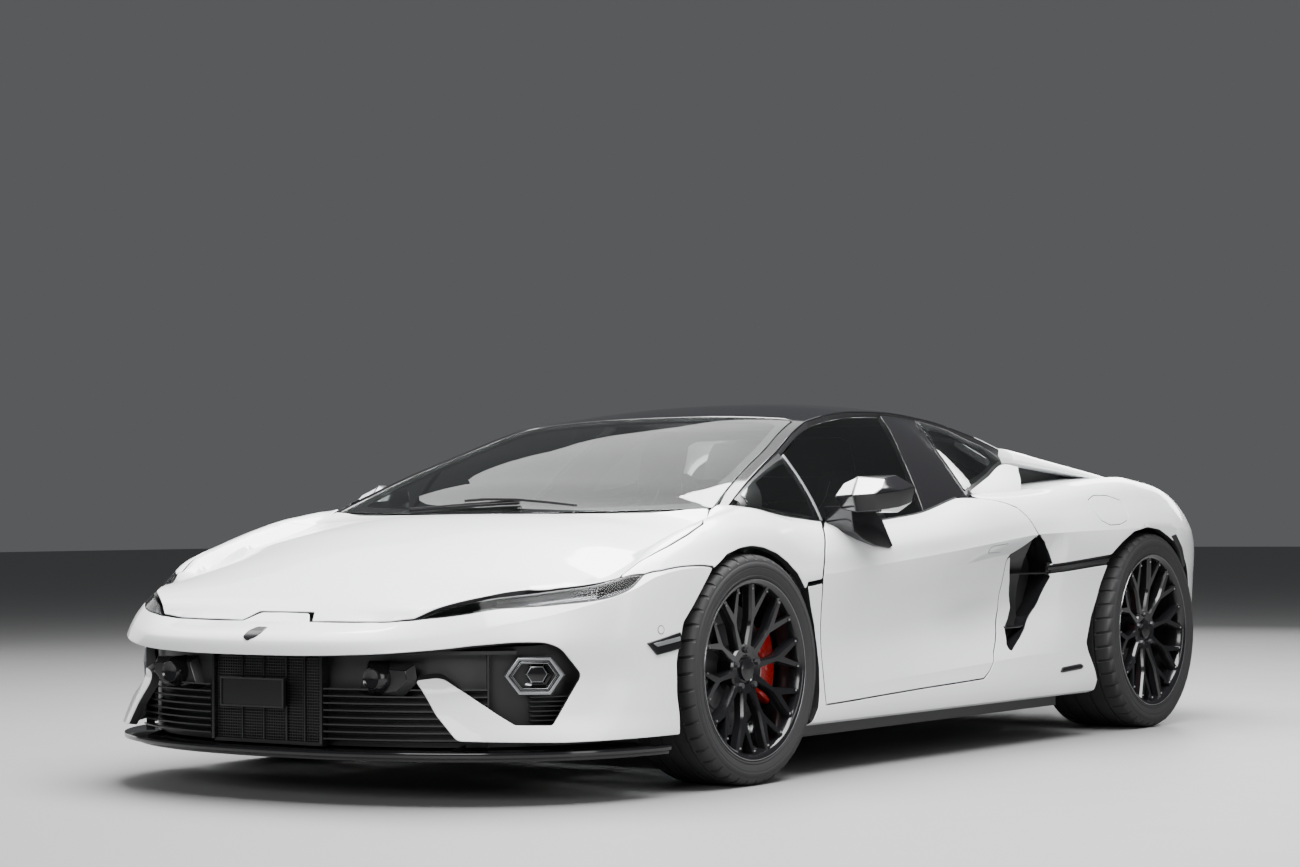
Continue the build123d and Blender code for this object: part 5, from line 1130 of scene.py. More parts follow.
for axle, size, caliper_side in (("front", FRONT_WHEEL, 1), ("rear", REAR_WHEEL, -1)):
    tyre, rim, caliper = tyre_shape(size), rim_shape(size), caliper_shape(size, caliper_side)
    for side, hand in HANDS:
        wheel, front = f"{axle}_{hand}", axle == "front"
        set_on(tyre, size, side).piece(f"tyre_skin_{wheel}", f"tyre_{wheel}", body=f"wheel_{wheel}", slot="tyre",
                                       angle=40)
        set_on(rim, size, side).piece(f"rim_skin_{wheel}", f"rim_{wheel}", body=f"wheel_{wheel}", slot="black_wheel",
                                      angle=28)
        nodes = [f"front_caliper_{hand}"] if front else ["rear_calipers"] if side > 0 else []
        body = f"knuckle_{hand}" if front else "chassis"
        set_on(caliper, size, side).piece(f"caliper_skin_{wheel}", *nodes, body=body, slot="red_paint", bevel=4)


# ------------------------------------------------------------------ front: lamps, mouth and splitter
def under(depth):
    """The body's skin moved inwards."""
    def surface(s, v):
        many = np.ndim(s) > 0
        s, v = np.atleast_1d(s).astype(float), np.atleast_1d(v).astype(float)
        points = skin(s, v) - normal_at(skin, np.stack([s, v], -1), 100.0) * depth
        return points if many else points[0]
    return surface


def upright(depth):
    """Upright surface over (s, z), a depth inside the body's plan line and mirrored past the nose."""
    def surface(s, z):
        s = np.asarray(s, float)
        far = np.where(s < RING_START, 2 * RING_START - s, s)
        x, y, turn = plan(far)
        turn = np.radians(turn)
        x, y = x - depth * np.cos(turn), y - depth * np.sin(turn)
        return np.stack([np.where(s < RING_START, -x, x), y, np.asarray(z, float) + 0 * s], -1)
    return surface


low_s, low_v = np.array(sorted([p[:2] for p in LAMP_LOW])).T
up_s, up_v = np.array(sorted([p[:2] for p in LAMP_UP])).T


def lamp_at(s, share):
    """v between the headlamp's lower and upper edge."""
    return float(np.interp(s, low_s, low_v) * (1 - share) + np.interp(s, up_s, up_v) * share)


lamp_loop = rounded(LAMP_LOW + LAMP_UP[1:], 8, 100)
lamp_opening = pulled_in(dense(lamp_loop, skin, 14), skin, 9, 100.0, area_sign(lamp_loop))[0]
panel("headlamp_housings", lamp_loop, under(30), BLACK_GLOSS, "headlamps", slot="lamp", depth=3, step=30, lip=1,
      sides=BOTH, gap=1.0)
panel("headlamp_lenses", lamp_loop, under(1.0), CLEAR, slot="lamp", depth=2.5, step=30, lip=0.8, sides=BOTH, gap=3.0,
      dark=False)
panel("headlamp_rims", lamp_loop, under(2.2), BLACK_GLOSS, slot="lamp", depth=28, step=30, lip=0.8, sides=BOTH,
      gap=2.0, holes=[[(p[0], p[1]) for p in lamp_opening]])
reflector_low = [(s, lamp_at(s, 0.16)) for s in (-2120, -2060, -1990, -1940, -1884)]
reflector_up = [(s, lamp_at(s, 0.60)) for s in (-1868, -1900, -1970, -2030, -2076)]
panel("headlamp_reflectors", reflector_low + reflector_up, under(16), LAMP_METAL, slot="lamp", depth=6, step=20,
      lip=1.5, sides=BOTH)
ribs = Shape()
for s in np.arange(-2092, -1880, 15):
    path = [under(10)(s + 14 * share, lamp_at(s, 0.16 + 0.44 * share)) for share in np.linspace(0, 1, 7)]
    ribs.both(swept([(-0.9, -4), (0.9, -4), (0.7, 3), (-0.7, 3)], path), LAMP_METAL)
for share, size in ((0.10, 2.0), (0.36, 1.2), (0.66, 4.5)):
    path = [under(9)(s, lamp_at(s, share)) for s in np.linspace(-2210, -1850, 26)]
    ribs.both(swept(rectangle(-size, -5, size, 4), path), BLACK_GLOSS)
ribs.piece("headlamp_ribs", slot="lamp")

# daytime lamp: long hexagon in the outer end of the mouth
MARKER_AT, MARKER_OUT = np.array([771.0, -1994.0, 357.0]), np.array([0.60, -0.80, 0.0])
MARKER_ALONG = np.array([0.80, 0.60, 0.0])
HEXAGON = [(-91, 0), (-51, 55), (43, 55), (81, 2), (42, -55), (-49, -55)]


def on_marker(a, b, c):
    """Point of the daytime lamp: a along it, b up, c outwards."""
    return MARKER_AT + MARKER_ALONG * a + np.array([0, 0, 1.0]) * b + MARKER_OUT * c


def ring_of(outer, inner, low, high, place, top_outer=None, top_inner=None):
    """Closed band between two outlines, raised from low to high."""
    size = len(outer)
    points = []
    for outline, level in ((outer, low), (top_outer or outer, high), (top_inner or inner, high), (inner, low)):
        points += [place(a, b, level) for a, b in outline]
    faces = []
    for k in range(size):
        j = (k + 1) % size
        faces += [(m * size + k, m * size + j, (m + 1) % 4 * size + j, (m + 1) % 4 * size + k) for m in range(4)]
    return points, faces


marker = Shape()
marker.both(ring_of(HEXAGON, shrunk(HEXAGON, 15), -16, 4, on_marker, shrunk(HEXAGON, 4), shrunk(HEXAGON, 11)), SILVER)
marker.both(ring_of(shrunk(HEXAGON, 15), shrunk(HEXAGON, 21), -30, -6, on_marker), BLACK_GLOSS)
marker.both(slab(shrunk(HEXAGON, 15), -46, -34, on_marker), BLACK_GLOSS)
marker.both(slab(shrunk(HEXAGON, -1), -70, -44, on_marker, shrunk(HEXAGON, 8)), BLACK_SATIN)
inner_core = [(a * 0.42 + 4, b * 0.5 + 4) for a, b in HEXAGON]
marker.both(slab(inner_core, -36, -14, on_marker, shrunk(inner_core, 6)), BLACK_GLOSS)
# painted highlight on the lens: a small glowing patch at the lower edge of the dark core
marker.both(slab([(-34, -26), (-16, -30), (-10, -24), (-28, -20)], -34, -24, on_marker), PAINTED_LENS_GLINT)
marker.piece("daytime_lamps", "marker_lamps", bevel=1.6, slot="lamp")

# the mouth's inside: walls, centre mesh, slats, sensor pods and plate
mouth = Shape()
MESH_HALF, MESH_LOW, MESH_HIGH = 212, 168, 404
wall_outline = [(-2990, 160), (-2700, 158), (-2300, 158), (-1990, 160), (-1700, 165), (-1580, 170), (-1580, 452),
                (-1750, 452), (-2100, 440), (-2500, 430), (-2990, 425)]
panel("mouth_wall", mirrored(wall_outline[1:-1], RING_START), upright(122), BLACK_SATIN, "front_grille",
      slot="black_plastic", scale=1, depth=6, step=60, lip=1)
MESH_Y = NOSE_Y + 108
for x in np.arange(-MESH_HALF + 6, MESH_HALF, 9.5):
    mouth.add(box((x - 1.1, MESH_Y - 3, MESH_LOW), (x + 1.1, MESH_Y + 3, MESH_HIGH)), BLACK_SATIN)
for z in np.arange(MESH_LOW + 4, MESH_HIGH, 8.2):
    mouth.add(box((-MESH_HALF, MESH_Y - 5, z - 1.3), (MESH_HALF, MESH_Y + 4, z + 1.3)), BLACK_SATIN)
for x, half, reach in ((-MESH_HALF, 5, 20), (-105, 2.5, 9), (-20, 2.5, 9), (70, 2.5, 9), (140, 2.5, 9),
                       (MESH_HALF, 5, 20)):
    mouth.add(box((x - half, MESH_Y - reach, MESH_LOW - 4), (x + half, MESH_Y + 6, MESH_HIGH + 8)), BLACK_GLOSS)
mouth.add(box((-MESH_HALF, MESH_Y - 14, MESH_LOW - 10), (MESH_HALF, MESH_Y + 8, MESH_LOW)), BLACK_SATIN)
for z in np.arange(176, 330, 20):
    path = [upright(92)(s, z) for s in np.linspace(-2775, -2240, 22)]
    mouth.both(swept([(-20, -3), (16, 3), (16, 7), (-20, 1)], path), BLACK_SATIN)
for z in np.arange(178, 300, 13):
    path = [upright(104)(s, z) for s in np.linspace(-2105, -1830, 14)]
    mouth.both(swept([(-12, -2), (12, 2), (12, 5), (-12, 1)], path), BLACK_SATIN)
for s, low, high in ((-1960, 172, 300), (-2240, 160, 420)):
    a, b = upright(96)(s, low), upright(96)(s, high)
    mouth.both(swept(rectangle(-3, -16, 3, 16), [a, b]), BLACK_SATIN)
upper_lip = [upright(100)(s, 424) for s in np.linspace(-3006, -2150, 26)]
mouth.both(swept(rectangle(-24, -5, 30, 5), upper_lip), BLACK_SATIN)
mouth.add(slab(rectangle(-158, 262, 92, 346), NOSE_Y + 66, NOSE_Y + 72, over_xz), BLACK_GLOSS)
mouth.add(ring_of(rectangle(-158, 262, 92, 346), rectangle(-153, 267, 87, 341),
                  NOSE_Y + 66, NOSE_Y + 62, over_xz), BLACK_SATIN)
mouth.piece("mouth_grilles", slot="black_plastic")

pods = Shape()
POD_X, POD_Z = 397, 353
POD_COLLAR = [(-95, -44), (-20, -62), (70, -52), (120, -10), (110, 40), (-60, 46)]
for side in BOTH:
    shell = [(0, 46), (46, 42), (62, 33), (67, 30), (62, 25), (58, 0.1)]
    points, faces = lathe([(NOSE_Y + 158 - a, r) for a, r in shell], 28, closed=False)
    pods.add(([(side * POD_X + p[1], p[0], POD_Z + p[2]) for p in points], faces), BLACK_GLOSS)
    collar = [(side * (POD_X + a), POD_Z + b) for a, b in POD_COLLAR]
    pods.add(slab(collar, NOSE_Y + 152, NOSE_Y + 128, over_xz, shrunk(collar, 18)), BLACK_SATIN)
pods.piece("sensor_pods", bevel=1.5)

splitter = Shape()
edge = [(s, under(0)(s, 1.0)) for s in np.linspace(RING_START, -1640, 44)]
outward = [(p, unit(p[:2] - upright(60)(s, 0)[:2])) for s, p in edge]
front = [(p[0] - 6 * n[0], p[1] - 6 * n[1]) for p, n in outward]
half_outline = front + [(905, -1632), (560, -1632)]
splitter.add(slab(half_outline + mirror_of(half_outline[1:]), 136, 151), BLACK_GLOSS)
lower = [(x * 0.97, y * 0.982) for x, y in front] + [(880, -1632), (560, -1632)]
splitter.add(slab(lower + mirror_of(lower[1:]), 122, 136), BLACK_SATIN)
for side in BOTH:
    fin = [(-2186, 132), (-2150, 132), (-2040, 150), (-2040, 178), (-2120, 160), (-2180, 146)]
    splitter.add(slab(fin, side * 590, side * 600, over_yz), BLACK_GLOSS)
splitter.piece("splitter_blade", "front_splitter", bevel=3)

# small things on the skin: side reflector, parking sensors, badge place
REFLECTOR = [(-1742, 3.80, 4), (-1606, 4.00, 4), (-1606, 3.62, 4), (-1706, 3.50, 4)]
panel("side_reflectors", rounded(REFLECTOR, 4, 100), under(-5), BLACK_GLOSS, slot="black_gloss", depth=14, step=12,
      lip=3, sides=BOTH)
REFLECTOR_BAR = [(-1722, 3.78), (-1612, 3.90), (-1612, 3.80), (-1706, 3.70)]
panel("side_reflector_bars", rounded(REFLECTOR_BAR, 3, 100), under(-6.5), SILVER, slot="black_gloss", depth=4,
      step=12, lip=1, sides=BOTH)
SENSORS = [(-1686, 4.06)]
dots = Shape()
for s, v in SENSORS:
    middle, ahead = under(0)(s, v), under(0)(s + 4, v)
    out = middle - under(1)(s, v)
    flat = unit(ahead - middle)
    above = np.cross(out, flat)
    for low, high, r, r_top, paint in ((-2, 0.25, 13, 13, BLACK_SATIN), (-2, 0.8, 11.5, 10.5, WHITE)):
        wide = circle(r, 24)
        small = [(a * r_top / r, b * r_top / r) for a, b in wide]
        dots.both(slab(wide, low, high, lambda a, b, c: middle + flat * a + above * b + out * c, small), paint)
dots.piece("parking_sensors", slot="white_paint")
BADGE = [(-26, 5.30, 20), (-30, 6.0, 14), (-20, 6.75, 10), (20, 6.75, 10), (30, 6.0, 14), (26, 5.30, 20),
         (0, 4.95, 10)]
badge_loop = rounded([(RING_START + p[0],) + p[1:] for p in BADGE], 10, 100)
panel("badge_place", badge_loop, under(-2.2), BLACK_GLOSS, slot="black_gloss", depth=4, step=10, lip=1.5)


# ------------------------------------------------------------------ rear deck, spars and engine cover
# edge of the engine cover: (y, x, z)
COVER_EDGE = [(700, 560, 1082), (1000, 575, 990), (1400, 590, 918), (1800, 598, 872), (2120, 600, 848)]
COVER_START_Y, COVER_END_Y = 725, 2090
# the deck follows the body's top line up to DECK_SIDE_END_Y and stays under TAIL_TOP_Z over the last stretch
DECK_SIDE_END_Y, DECK_TAIL_Y, DECK_TAIL_LENGTH, TAIL_TOP_Z = 2000, 1950, 330, 851
# spar under each flying buttress: y, inner and outer x, upper and lower z
SPAR = [(835, 640, 744, 1040, 985), (950, 648, 764, 1024, 972), (1050, 656, 778, 1008, 962),
        (1150, 666, 792, 993, 951), (1250, 680, 808, 977, 939), (1350, 694, 824, 961, 925),
        (1450, 712, 838, 943, 908), (1540, 730, 846, 924, 890)]


def cover_edge(y):
    """x and z of the engine cover's edge."""
    return curve(COVER_EDGE, 1, y), curve(COVER_EDGE, 2, y)


def cover(x, y):
    """Surface of the engine cover."""
    half, edge_z = cover_edge(y)
    return np.stack([x, y, crowned(x, y, half, edge_z)], -1)


def deck(x, y):
    """Surface between the engine cover and the body's top line."""
    x, y = np.asarray(x, float), np.asarray(y, float)
    half, cover_z = cover_edge(y)
    side = np.minimum(y, DECK_SIDE_END_Y)
    deck_x, deck_z = deck_edge(side)
    valley = np.minimum(cover_z - 6, deck_z + 6)
    part = np.clip((np.abs(x) - half) / np.maximum(deck_x - half, 60), 0, 1)
    z = valley + (deck_z - valley) * part**1.5
    middle = crowned(x, y, half, valley)
    z = np.where(np.abs(x) < half, middle, z)
    tail = np.clip((y - DECK_TAIL_Y) / DECK_TAIL_LENGTH, 0, 1)
    return np.stack([x, y, z * (1 - tail) + np.minimum(z, TAIL_TOP_Z) * tail], -1)


deck_line = [(float(deck_edge(y)[0]) - 4.5, y) for y in (760, 900, 1050, 1250, 1445, 1600, 1700)]
tail_line = [tuple(under(0)(s, 8.0)[:2] * (0.995, 0.9985)) for s in np.linspace(along(("tail", 10)), RING_END, 14)]
inner_line = [(float(cover_edge(y)[0]) + 4.5, y) for y in (2000, 1800, 1600, 1400, 1200, 1000, 850, 735)]
inner_half = [(596, COVER_END_Y + 5, 30)] + inner_line
deck_loop = mirrored(deck_line + tail_line[:-1]) + mirror_of(inner_half) + inner_half
panel("rear_deck_skin", rounded(deck_loop, 3), deck, WHITE, "rear_deck", scale=1, depth=20, step=32, lip=2)

SAIL_BULGE = 10


def sail(y, t):
    """Surface between the body's top line and the lower edge of the rear side window."""
    low = skin(y, np.full(len(y), DECK_V))
    top_x, top_z = belt(y)
    out = SAIL_BULGE * np.sin(np.pi * np.clip(t, 0, 1))
    return np.stack([low[:, 0] * (1 - t) + top_x * t + out, y, low[:, 2] * (1 - t) + top_z * t + out * 0.4], -1)


sail_loop = [(290, -0.05), (450, -0.05), (664, -0.05), (838, 0.99, 6), (768, 0.995), (600, 0.99), (450, 0.99),
             (340, 0.99)]
panel("sail_skins", rounded(sail_loop, 2, 120), sail, WHITE, scale=120, depth=18, step=24, lip=0.8, sides=BOTH)

spars = Shape()
rows = []
for y in np.linspace(SPAR[0][0], SPAR[-1][0], 22):
    inner, outer, top, low = (float(curve(SPAR, column, y)) for column in (1, 2, 3, 4))
    wide, high = outer - inner, top - low
    rows.append([(inner, y, low), (inner - 1, y, low + 0.6 * high), (inner + 0.10 * wide, y, top - 0.10 * high),
                 (inner + 0.30 * wide, y, top), (inner + 0.55 * wide, y, top - 0.05 * high),
                 (inner + 0.86 * wide, y, low + 0.62 * high), (outer, y, low + 0.22 * high), (outer - 3, y, low)])
spars.both(([p for row in rows for p in row], loft_faces(len(rows), len(rows[0]))), WHITE)
spars.piece("spars", bevel=3, slot="white_paint", angle=38)

# dark inner wall of the air way under each spar
spar_walls = Shape()
wall_points = []
for y, inner, outer, _, low in SPAR[:6]:
    x = inner + 0.4 * (outer - inner)
    floor_z = float(deck(np.array([x]), np.array([float(y)]))[0, 2])
    wall_points += [(x, y, low + 8), (x, y, floor_z - 6), (x - 12, y, floor_z - 6), (x - 12, y, low + 8)]
spar_walls.both((wall_points, loft_faces(6, 4)), BLACK_MATT)
spar_walls.piece("spar_walls", slot="black_structure")

cover_half = [(float(cover_edge(y)[0]) - 0.5, y) for y in (COVER_START_Y, 850, 1000, 1200, 1400, 1600, 1800, 2000)]
cover_half += [(float(cover_edge(COVER_END_Y)[0]) - 0.5, COVER_END_Y, 26)]
# opening of the cover: front edge, half widths at front and back, and where it starts to narrow
VENT_Y, VENT_NARROW, VENT_WIDE, VENT_BEND_Y, VENT_END_Y = 860, 330, 392, 1780, 1880
vent_hole = mirror_of([(VENT_NARROW, VENT_Y, 40)])
vent_hole += mirrored([(VENT_NARROW, VENT_Y, 40), (VENT_WIDE, VENT_BEND_Y, 60), (300, VENT_END_Y, 60)])[:-1]
panel("engine_cover_skin", rounded(mirrored(cover_half), 4), cover, WHITE, "engine_cover", body="engine_cover",
      scale=1, depth=26, step=40, lip=2.2, holes=[rounded(vent_hole, 30)])
louvres = Shape()
for y in np.arange(905, 1850, 86):
    half = min(VENT_NARROW + (y - VENT_Y) * 0.067, VENT_WIDE, VENT_WIDE - max(0, y - VENT_BEND_Y) * 0.7) + 8
    xs = np.linspace(-half, half, 15)
    low = cover(xs, np.full(15, y + 56.0))
    high = cover(xs, np.full(15, float(y)))
    points = []
    for a, b in zip(high, low):
        points += [(a[0], a[1], a[2] - 6), (b[0], b[1], b[2] - 34), (b[0], b[1] + 2, b[2] - 39),
                   (a[0], a[1] + 2, a[2] - 12)]
    louvres.add((points, loft_faces(15, 4)), BLACK_GLOSS)
for x in (-150, 150):
    ys = np.linspace(850, 1880, 24)
    line = cover(np.full(24, float(x)), ys)
    louvres.add(swept(rectangle(-7, -40, 7, -4), line), BLACK_GLOSS)
louvres.piece("engine_cover_louvres", body="engine_cover", bevel=1.2)


def cover_under(x, y):
    """Surface under the engine cover's opening."""
    return cover(x, y) - (0, 0, 44)


panel("engine_cover_net", rounded([(-350, 845), (350, 845), (405, 1890), (-405, 1890)], 20), cover_under,
      BLACK_MATT, body="engine_cover", slot="black_gloss", scale=1, depth=4, step=80, lip=1)

# ------------------------------------------------------------------ rear bumper, lamps, exhausts and diffuser
LAMP_LOW_Z, LAMP_HIGH_Z = 657, 714
EXHAUST_X, EXHAUST_Z = 190, 545
tail_s = np.linspace(SEAM_TAIL, RING_END, 15)[:-1]


def at_height(s, z):
    """(s, v) of the skin's point at a height."""
    lines = np.linspace(0, 8, 321)
    heights = skin(np.full(321, float(s)), lines)[:, 2]
    return float(s), float(np.interp(z, heights, lines))


def turn_to(turn):
    """Distance along the ring of a turn of the tail's corner."""
    return along(("tail", turn))


def tail_line_at(turn, count, z):
    """Line at a height from a turn of the tail's corner to the centre line."""
    return [at_height(s, z) for s in np.linspace(turn_to(turn), RING_END, count)[:-1]]


def band_loop(turn, count, low, high):
    """Outline between two heights along the tail, through the centre line to the other side."""
    lower, upper = tail_line_at(turn, count, low), tail_line_at(turn, count, high)
    return mirrored(lower, RING_END) + mirrored(upper, RING_END)[::-1]


lamp_band = band_loop(41, 12, LAMP_LOW_Z, LAMP_HIGH_Z)
grille_band = band_loop(60, 10, 462, 628)
corner_low = [(SEAM_TAIL + 2, 0.35), (turn_to(48), 0.5), (turn_to(58), 2.1)]
rear_top = [(SEAM_TAIL + 2, 7.99)] + line_at(tail_s[1:], 7.99)
rear_loop = mirrored(corner_low + tail_line_at(64, 8, 330), RING_END) + mirrored(rear_top, RING_END)[::-1]
panel("rear_bumper_skin", rounded(rear_loop, 5, 100), skin, WHITE, "rear_bumper", folds=[line_at(tail_s[1:], 5)],
      depth=24, step=30, lip=2.2, holes=[rounded(lamp_band, 10, 100), rounded(grille_band, 24, 100)])
for name, turn, count, low, high, paint, slot, depth in (
        ("tail_lamp_back", 39, 12, 648, 723, BLACK_GLOSS, "tail_lamp", 26),
        ("rear_grille_back", 57, 10, 448, 642, BLACK_SATIN, "black_plastic", 46)):
    panel(name, band_loop(turn, count, low, high), under(depth), paint, slot=slot, depth=4, step=40, lip=1)
panel("rear_valance", band_loop(60, 9, 235, 336), under(6), BLACK_GLOSS, slot="black_gloss", depth=18, step=40, lip=2)

tail = Shape()
for z in (671, 700):
    path = [under(8)(*at_height(s, z)) for s in np.linspace(turn_to(46), turn_to(84), 20)]
    tail.both(swept(rectangle(-6, -3, 6, 3), path), LAMP_RED)
for turn in (50, 58, 66):
    s = turn_to(turn)
    a, b = under(9)(*at_height(s, 672)), under(9)(*at_height(s + 26, 699))
    tail.both(swept(rectangle(-5, -3, 5, 3), [a, b]), LAMP_RED)
tail.piece("tail_lamp_bars", "tail_lamps", bevel=0.8, slot="tail_lamp")
panel("tail_lamp_lens", lamp_band, under(1.5), SMOKED, slot="tail_lamp", depth=2.5, step=36, lip=0.8, gap=3,
      dark=False)

rear_mesh = Shape()
for z in np.arange(474, 622, 12):
    path = [under(26)(*at_height(s, z)) for s in np.linspace(turn_to(61), RING_END - 1, 16)]
    rear_mesh.both(swept(rectangle(-3, -1.4, 3, 1.4), path), BLACK_SATIN)
for s in np.linspace(turn_to(62), RING_END - 6, 34):
    a, b = under(28)(*at_height(s, 464)), under(28)(*at_height(s, 626))
    rear_mesh.both(swept(rectangle(-1.4, -3, 1.4, 3), [a, (a + b) / 2, b]), BLACK_SATIN)
rear_mesh.piece("rear_grille_bars", slot="black_plastic")

# exhaust tip and the plate inside it, as (y, radius)
TIP = [(1990, 57), (2318, 57), (2328, 60), (2338, 66), (2341, 70), (2338, 74), (2328, 72), (2300, 66), (1990, 62)]
TIP_PLATE = [(2296, 57.5), (2296, 0.1), (2292, 0.1), (2292, 57.5)]
pipes = Shape()
for side in BOTH:
    for profile, paint in ((TIP, STEEL), (TIP_PLATE, BLACK_MATT)):
        points, faces = lathe(profile, 48)
        pipes.add(([(side * EXHAUST_X + p[1], p[0], EXHAUST_Z + p[2]) for p in points], faces), paint)
    collar = [(side * EXHAUST_X + a, EXHAUST_Z + b) for a, b in circle(86, 6)]
    hole = [(side * EXHAUST_X + a, EXHAUST_Z + b) for a, b in circle(76, 6)]
    pipes.add(ring_of(collar, hole, 2270, 2334, over_xz, shrunk(collar, 3)), BLACK_GLOSS)
pipes.add(slab(rounded(rectangle(-280, 470, 280, 620), 60), 1860, 1990, over_xz), DARK_STEEL)
pipes.piece("exhaust_tips", "exhausts", bevel=1.2, slot="dark_steel")

under_tail = Shape()
DIFFUSER = [(1830, 130), (2215, 214), (2232, 226), (2226, 234), (2200, 226), (1830, 142)]
under_tail.add(slab(DIFFUSER, -540, 540, over_yz), BLACK_GLOSS)
for x in np.linspace(-450, 450, 7):
    fin = [(1880, 124), (2206, 142), (2234, 158), (2236, 226), (1850, 142)]
    under_tail.add(slab(fin, x - 4, x + 4, over_yz), BLACK_GLOSS)
for side in BOTH:
    cheek = [(1850, 128), (2200, 180), (2222, 240), (2180, 250), (1850, 150)]
    under_tail.add(slab(cheek, side * 536, side * 552, over_yz), BLACK_GLOSS)
under_tail.piece("diffuser_fins", "diffuser", bevel=1.5)
ARCH_VENT = [(1595, 714), (1640, 722), (1700, 668), (1733, 600), (1705, 590), (1668, 655)]
panel("arch_vents", rounded(on_ring(ARCH_VENT, low=3, high=7.5), 6, 100), under(-2), BLACK_SATIN,
      slot="black_plastic", depth=14, step=30, lip=3, sides=BOTH)


# ------------------------------------------------------------------ side intakes, black strips and small marks
INTAKE_BACK_X = 862
intake_loop = rounded([(524, 690)] + INTAKE_FRONT + INTAKE_REAR + INTAKE_TOP, 8)
intake_flat = []
for start, end in zip(intake_loop, intake_loop[1:] + intake_loop[:1]):
    count = max(1, int(hypot(end[0] - start[0], end[1] - start[1]) / 24))
    intake_flat += [(start[0] + (end[0] - start[0]) * k / count, start[1] + (end[1] - start[1]) * k / count)
                    for k in range(count)]


def skin_x(y, z):
    """x of the skin at a place on the car's side."""
    (place,) = on_ring([(y, z)], low=0.5, high=6.5)
    return float(under(0)(*place)[0])


intake_mouth = [(skin_x(y, z) - 4, y, z) for y, z in intake_flat]
intake_outer = shrunk(intake_flat, -6)
ducts = Shape()
rows = []
for (x, y, z), (far_y, far_z) in zip(intake_mouth, intake_outer):
    rows.append([(x, y, z), (INTAKE_BACK_X, y + 4, z), (INTAKE_BACK_X, far_y + 4, far_z), (x - 3, far_y, far_z)])
ducts.both(([p for row in rows for p in row], loft_faces(len(rows), 4, closed=True)), BLACK_GLOSS)
ducts.both(slab(intake_outer, INTAKE_BACK_X - 6, INTAKE_BACK_X, lambda a, b, c: (c, a + 4, b)), BLACK_MATT)
blade = [(INTAKE_BACK_X, 500), (INTAKE_BACK_X, 704)] + [(skin_x(y, 592) - 9, y) for y in (702, 660, 610, 560, 506)]
ducts.both(slab(blade, 588, 595), BLACK_GLOSS)
low_fin = [(INTAKE_BACK_X, 440), (INTAKE_BACK_X, 545), (skin_x(545, 408) - 6, 545), (skin_x(470, 408) + 4, 470),
           (skin_x(426, 408) + 9, 420), (912, 420)]
ducts.both(slab(low_fin, 404, 412), BLACK_GLOSS)
ducts.piece("intake_ducts", "side_ducts", bevel=1.2)


def on_side(points):
    """(s, v) of points on the car's side, given as (y, z)."""
    return on_ring(points, low=0.5, high=7.5)


MARKS = [
    # name, outline as (y, z), depth under the skin, material, lip
    ("arch_strips", [(690, 583), (1072, 609), (1100, 655), (690, 625)], 9, BLACK_SATIN, 1),
    ("arch_strip_bars", [(690, 598), (1080, 623), (1088, 640), (690, 612)], 2, BLACK_GLOSS, 3),
    ("sill_slots", [(704, 241, 9), (722, 258, 9), (866, 265, 9), (886, 255, 9), (870, 245, 9), (722, 238, 9)],
     -1.6, BLACK_SATIN, 2),
    ("sill_slot_cores", [(718, 245, 5), (730, 254, 5), (862, 260, 5), (872, 254, 5), (862, 250, 5), (728, 243, 5)],
     -2.4, BLACK_GLOSS, 1),
]
for name, outline, level, paint, lip in MARKS:
    corners = on_side([p[:2] for p in outline])
    loop = rounded([tuple(corner) + tuple(p[2:]) for corner, p in zip(corners, outline)], 2, 100)
    panel(name, loop, under(level), paint, slot="black_gloss", depth=6, step=24, lip=lip, sides=BOTH, dark=False)

HANDLE = [(234, 682), (250, 692), (366, 700), (360, 668), (248, 666)]
for side, hand in HANDS:
    handle_loop = rounded([tuple(p) for p in on_side(HANDLE)], 8, 100)
    panel(f"handle_recess_{hand}", handle_loop, under(-0.3), SILVER, body=f"door_{hand}", depth=5, step=14, lip=0.5,
          sides=(side,), dark=False)
    panel(f"handle_{hand}", handle_loop, under(-1.6), WHITE, body=f"door_{hand}", depth=5, step=14, lip=1.5,
          sides=(side,), gap=4)


def proud(amount):
    """Side glass moved outwards."""
    def surface(y, t):
        points = side_window(y, t)
        points[:, 0] += amount
        return points
    return surface


DOOR_TRIM = [
    # name, outline, height over the glass, material, depth, lip, dark back
    ("window_divider", [(-668, 0.015), (-655, 0.015), (-629, 0.925), (-641, 0.925)], 1.5, SILVER, 9, 1.5, False),
    ("window_seal", [(-640, -0.035), (200, -0.045), (200, 0.012), (-640, 0.012)], 2, BLACK_SATIN, 10, 2, True),
]
for side, hand in HANDS:
    for name, outline, height, paint, depth, lip, dark in DOOR_TRIM:
        panel(f"{name}_{hand}", outline, proud(height), paint, body=f"door_{hand}", slot="black_gloss",
              scale=WINDOW_HEIGHT, depth=depth, step=30, lip=lip, sides=(side,), dark=dark)

# black frame behind the side glass, seen round its edges
LIGHT_EDGES = [
    ("front_light_edge", [(-1062, 0.06), (-662, 0.0), (-634, 0.97), (-900, 0.98), (-1030, 0.96)],
     [(-960, 0.16), (-684, 0.07), (-664, 0.84), (-880, 0.86)]),
    ("rear_light_edge",
     [(286, -0.03), (470, -0.03), (600, -0.03), (760, 0.0), (766, 0.3), (700, 0.66), (580, 0.93), (430, 0.97),
      (396, 0.97), (322, 0.45)],
     [(322, 0.12), (470, 0.10), (590, 0.11), (680, 0.17), (650, 0.5), (535, 0.76), (440, 0.82), (414, 0.82),
      (352, 0.45)]),
]
for name, outline, hole in LIGHT_EDGES:
    panel(name, rounded(outline, 4, WINDOW_HEIGHT), window_back, BLACK_SATIN, slot="black_paint",
          scale=WINDOW_HEIGHT, depth=3, step=40, lip=0.5, holes=[rounded(hole, 14, WINDOW_HEIGHT)], sides=BOTH)

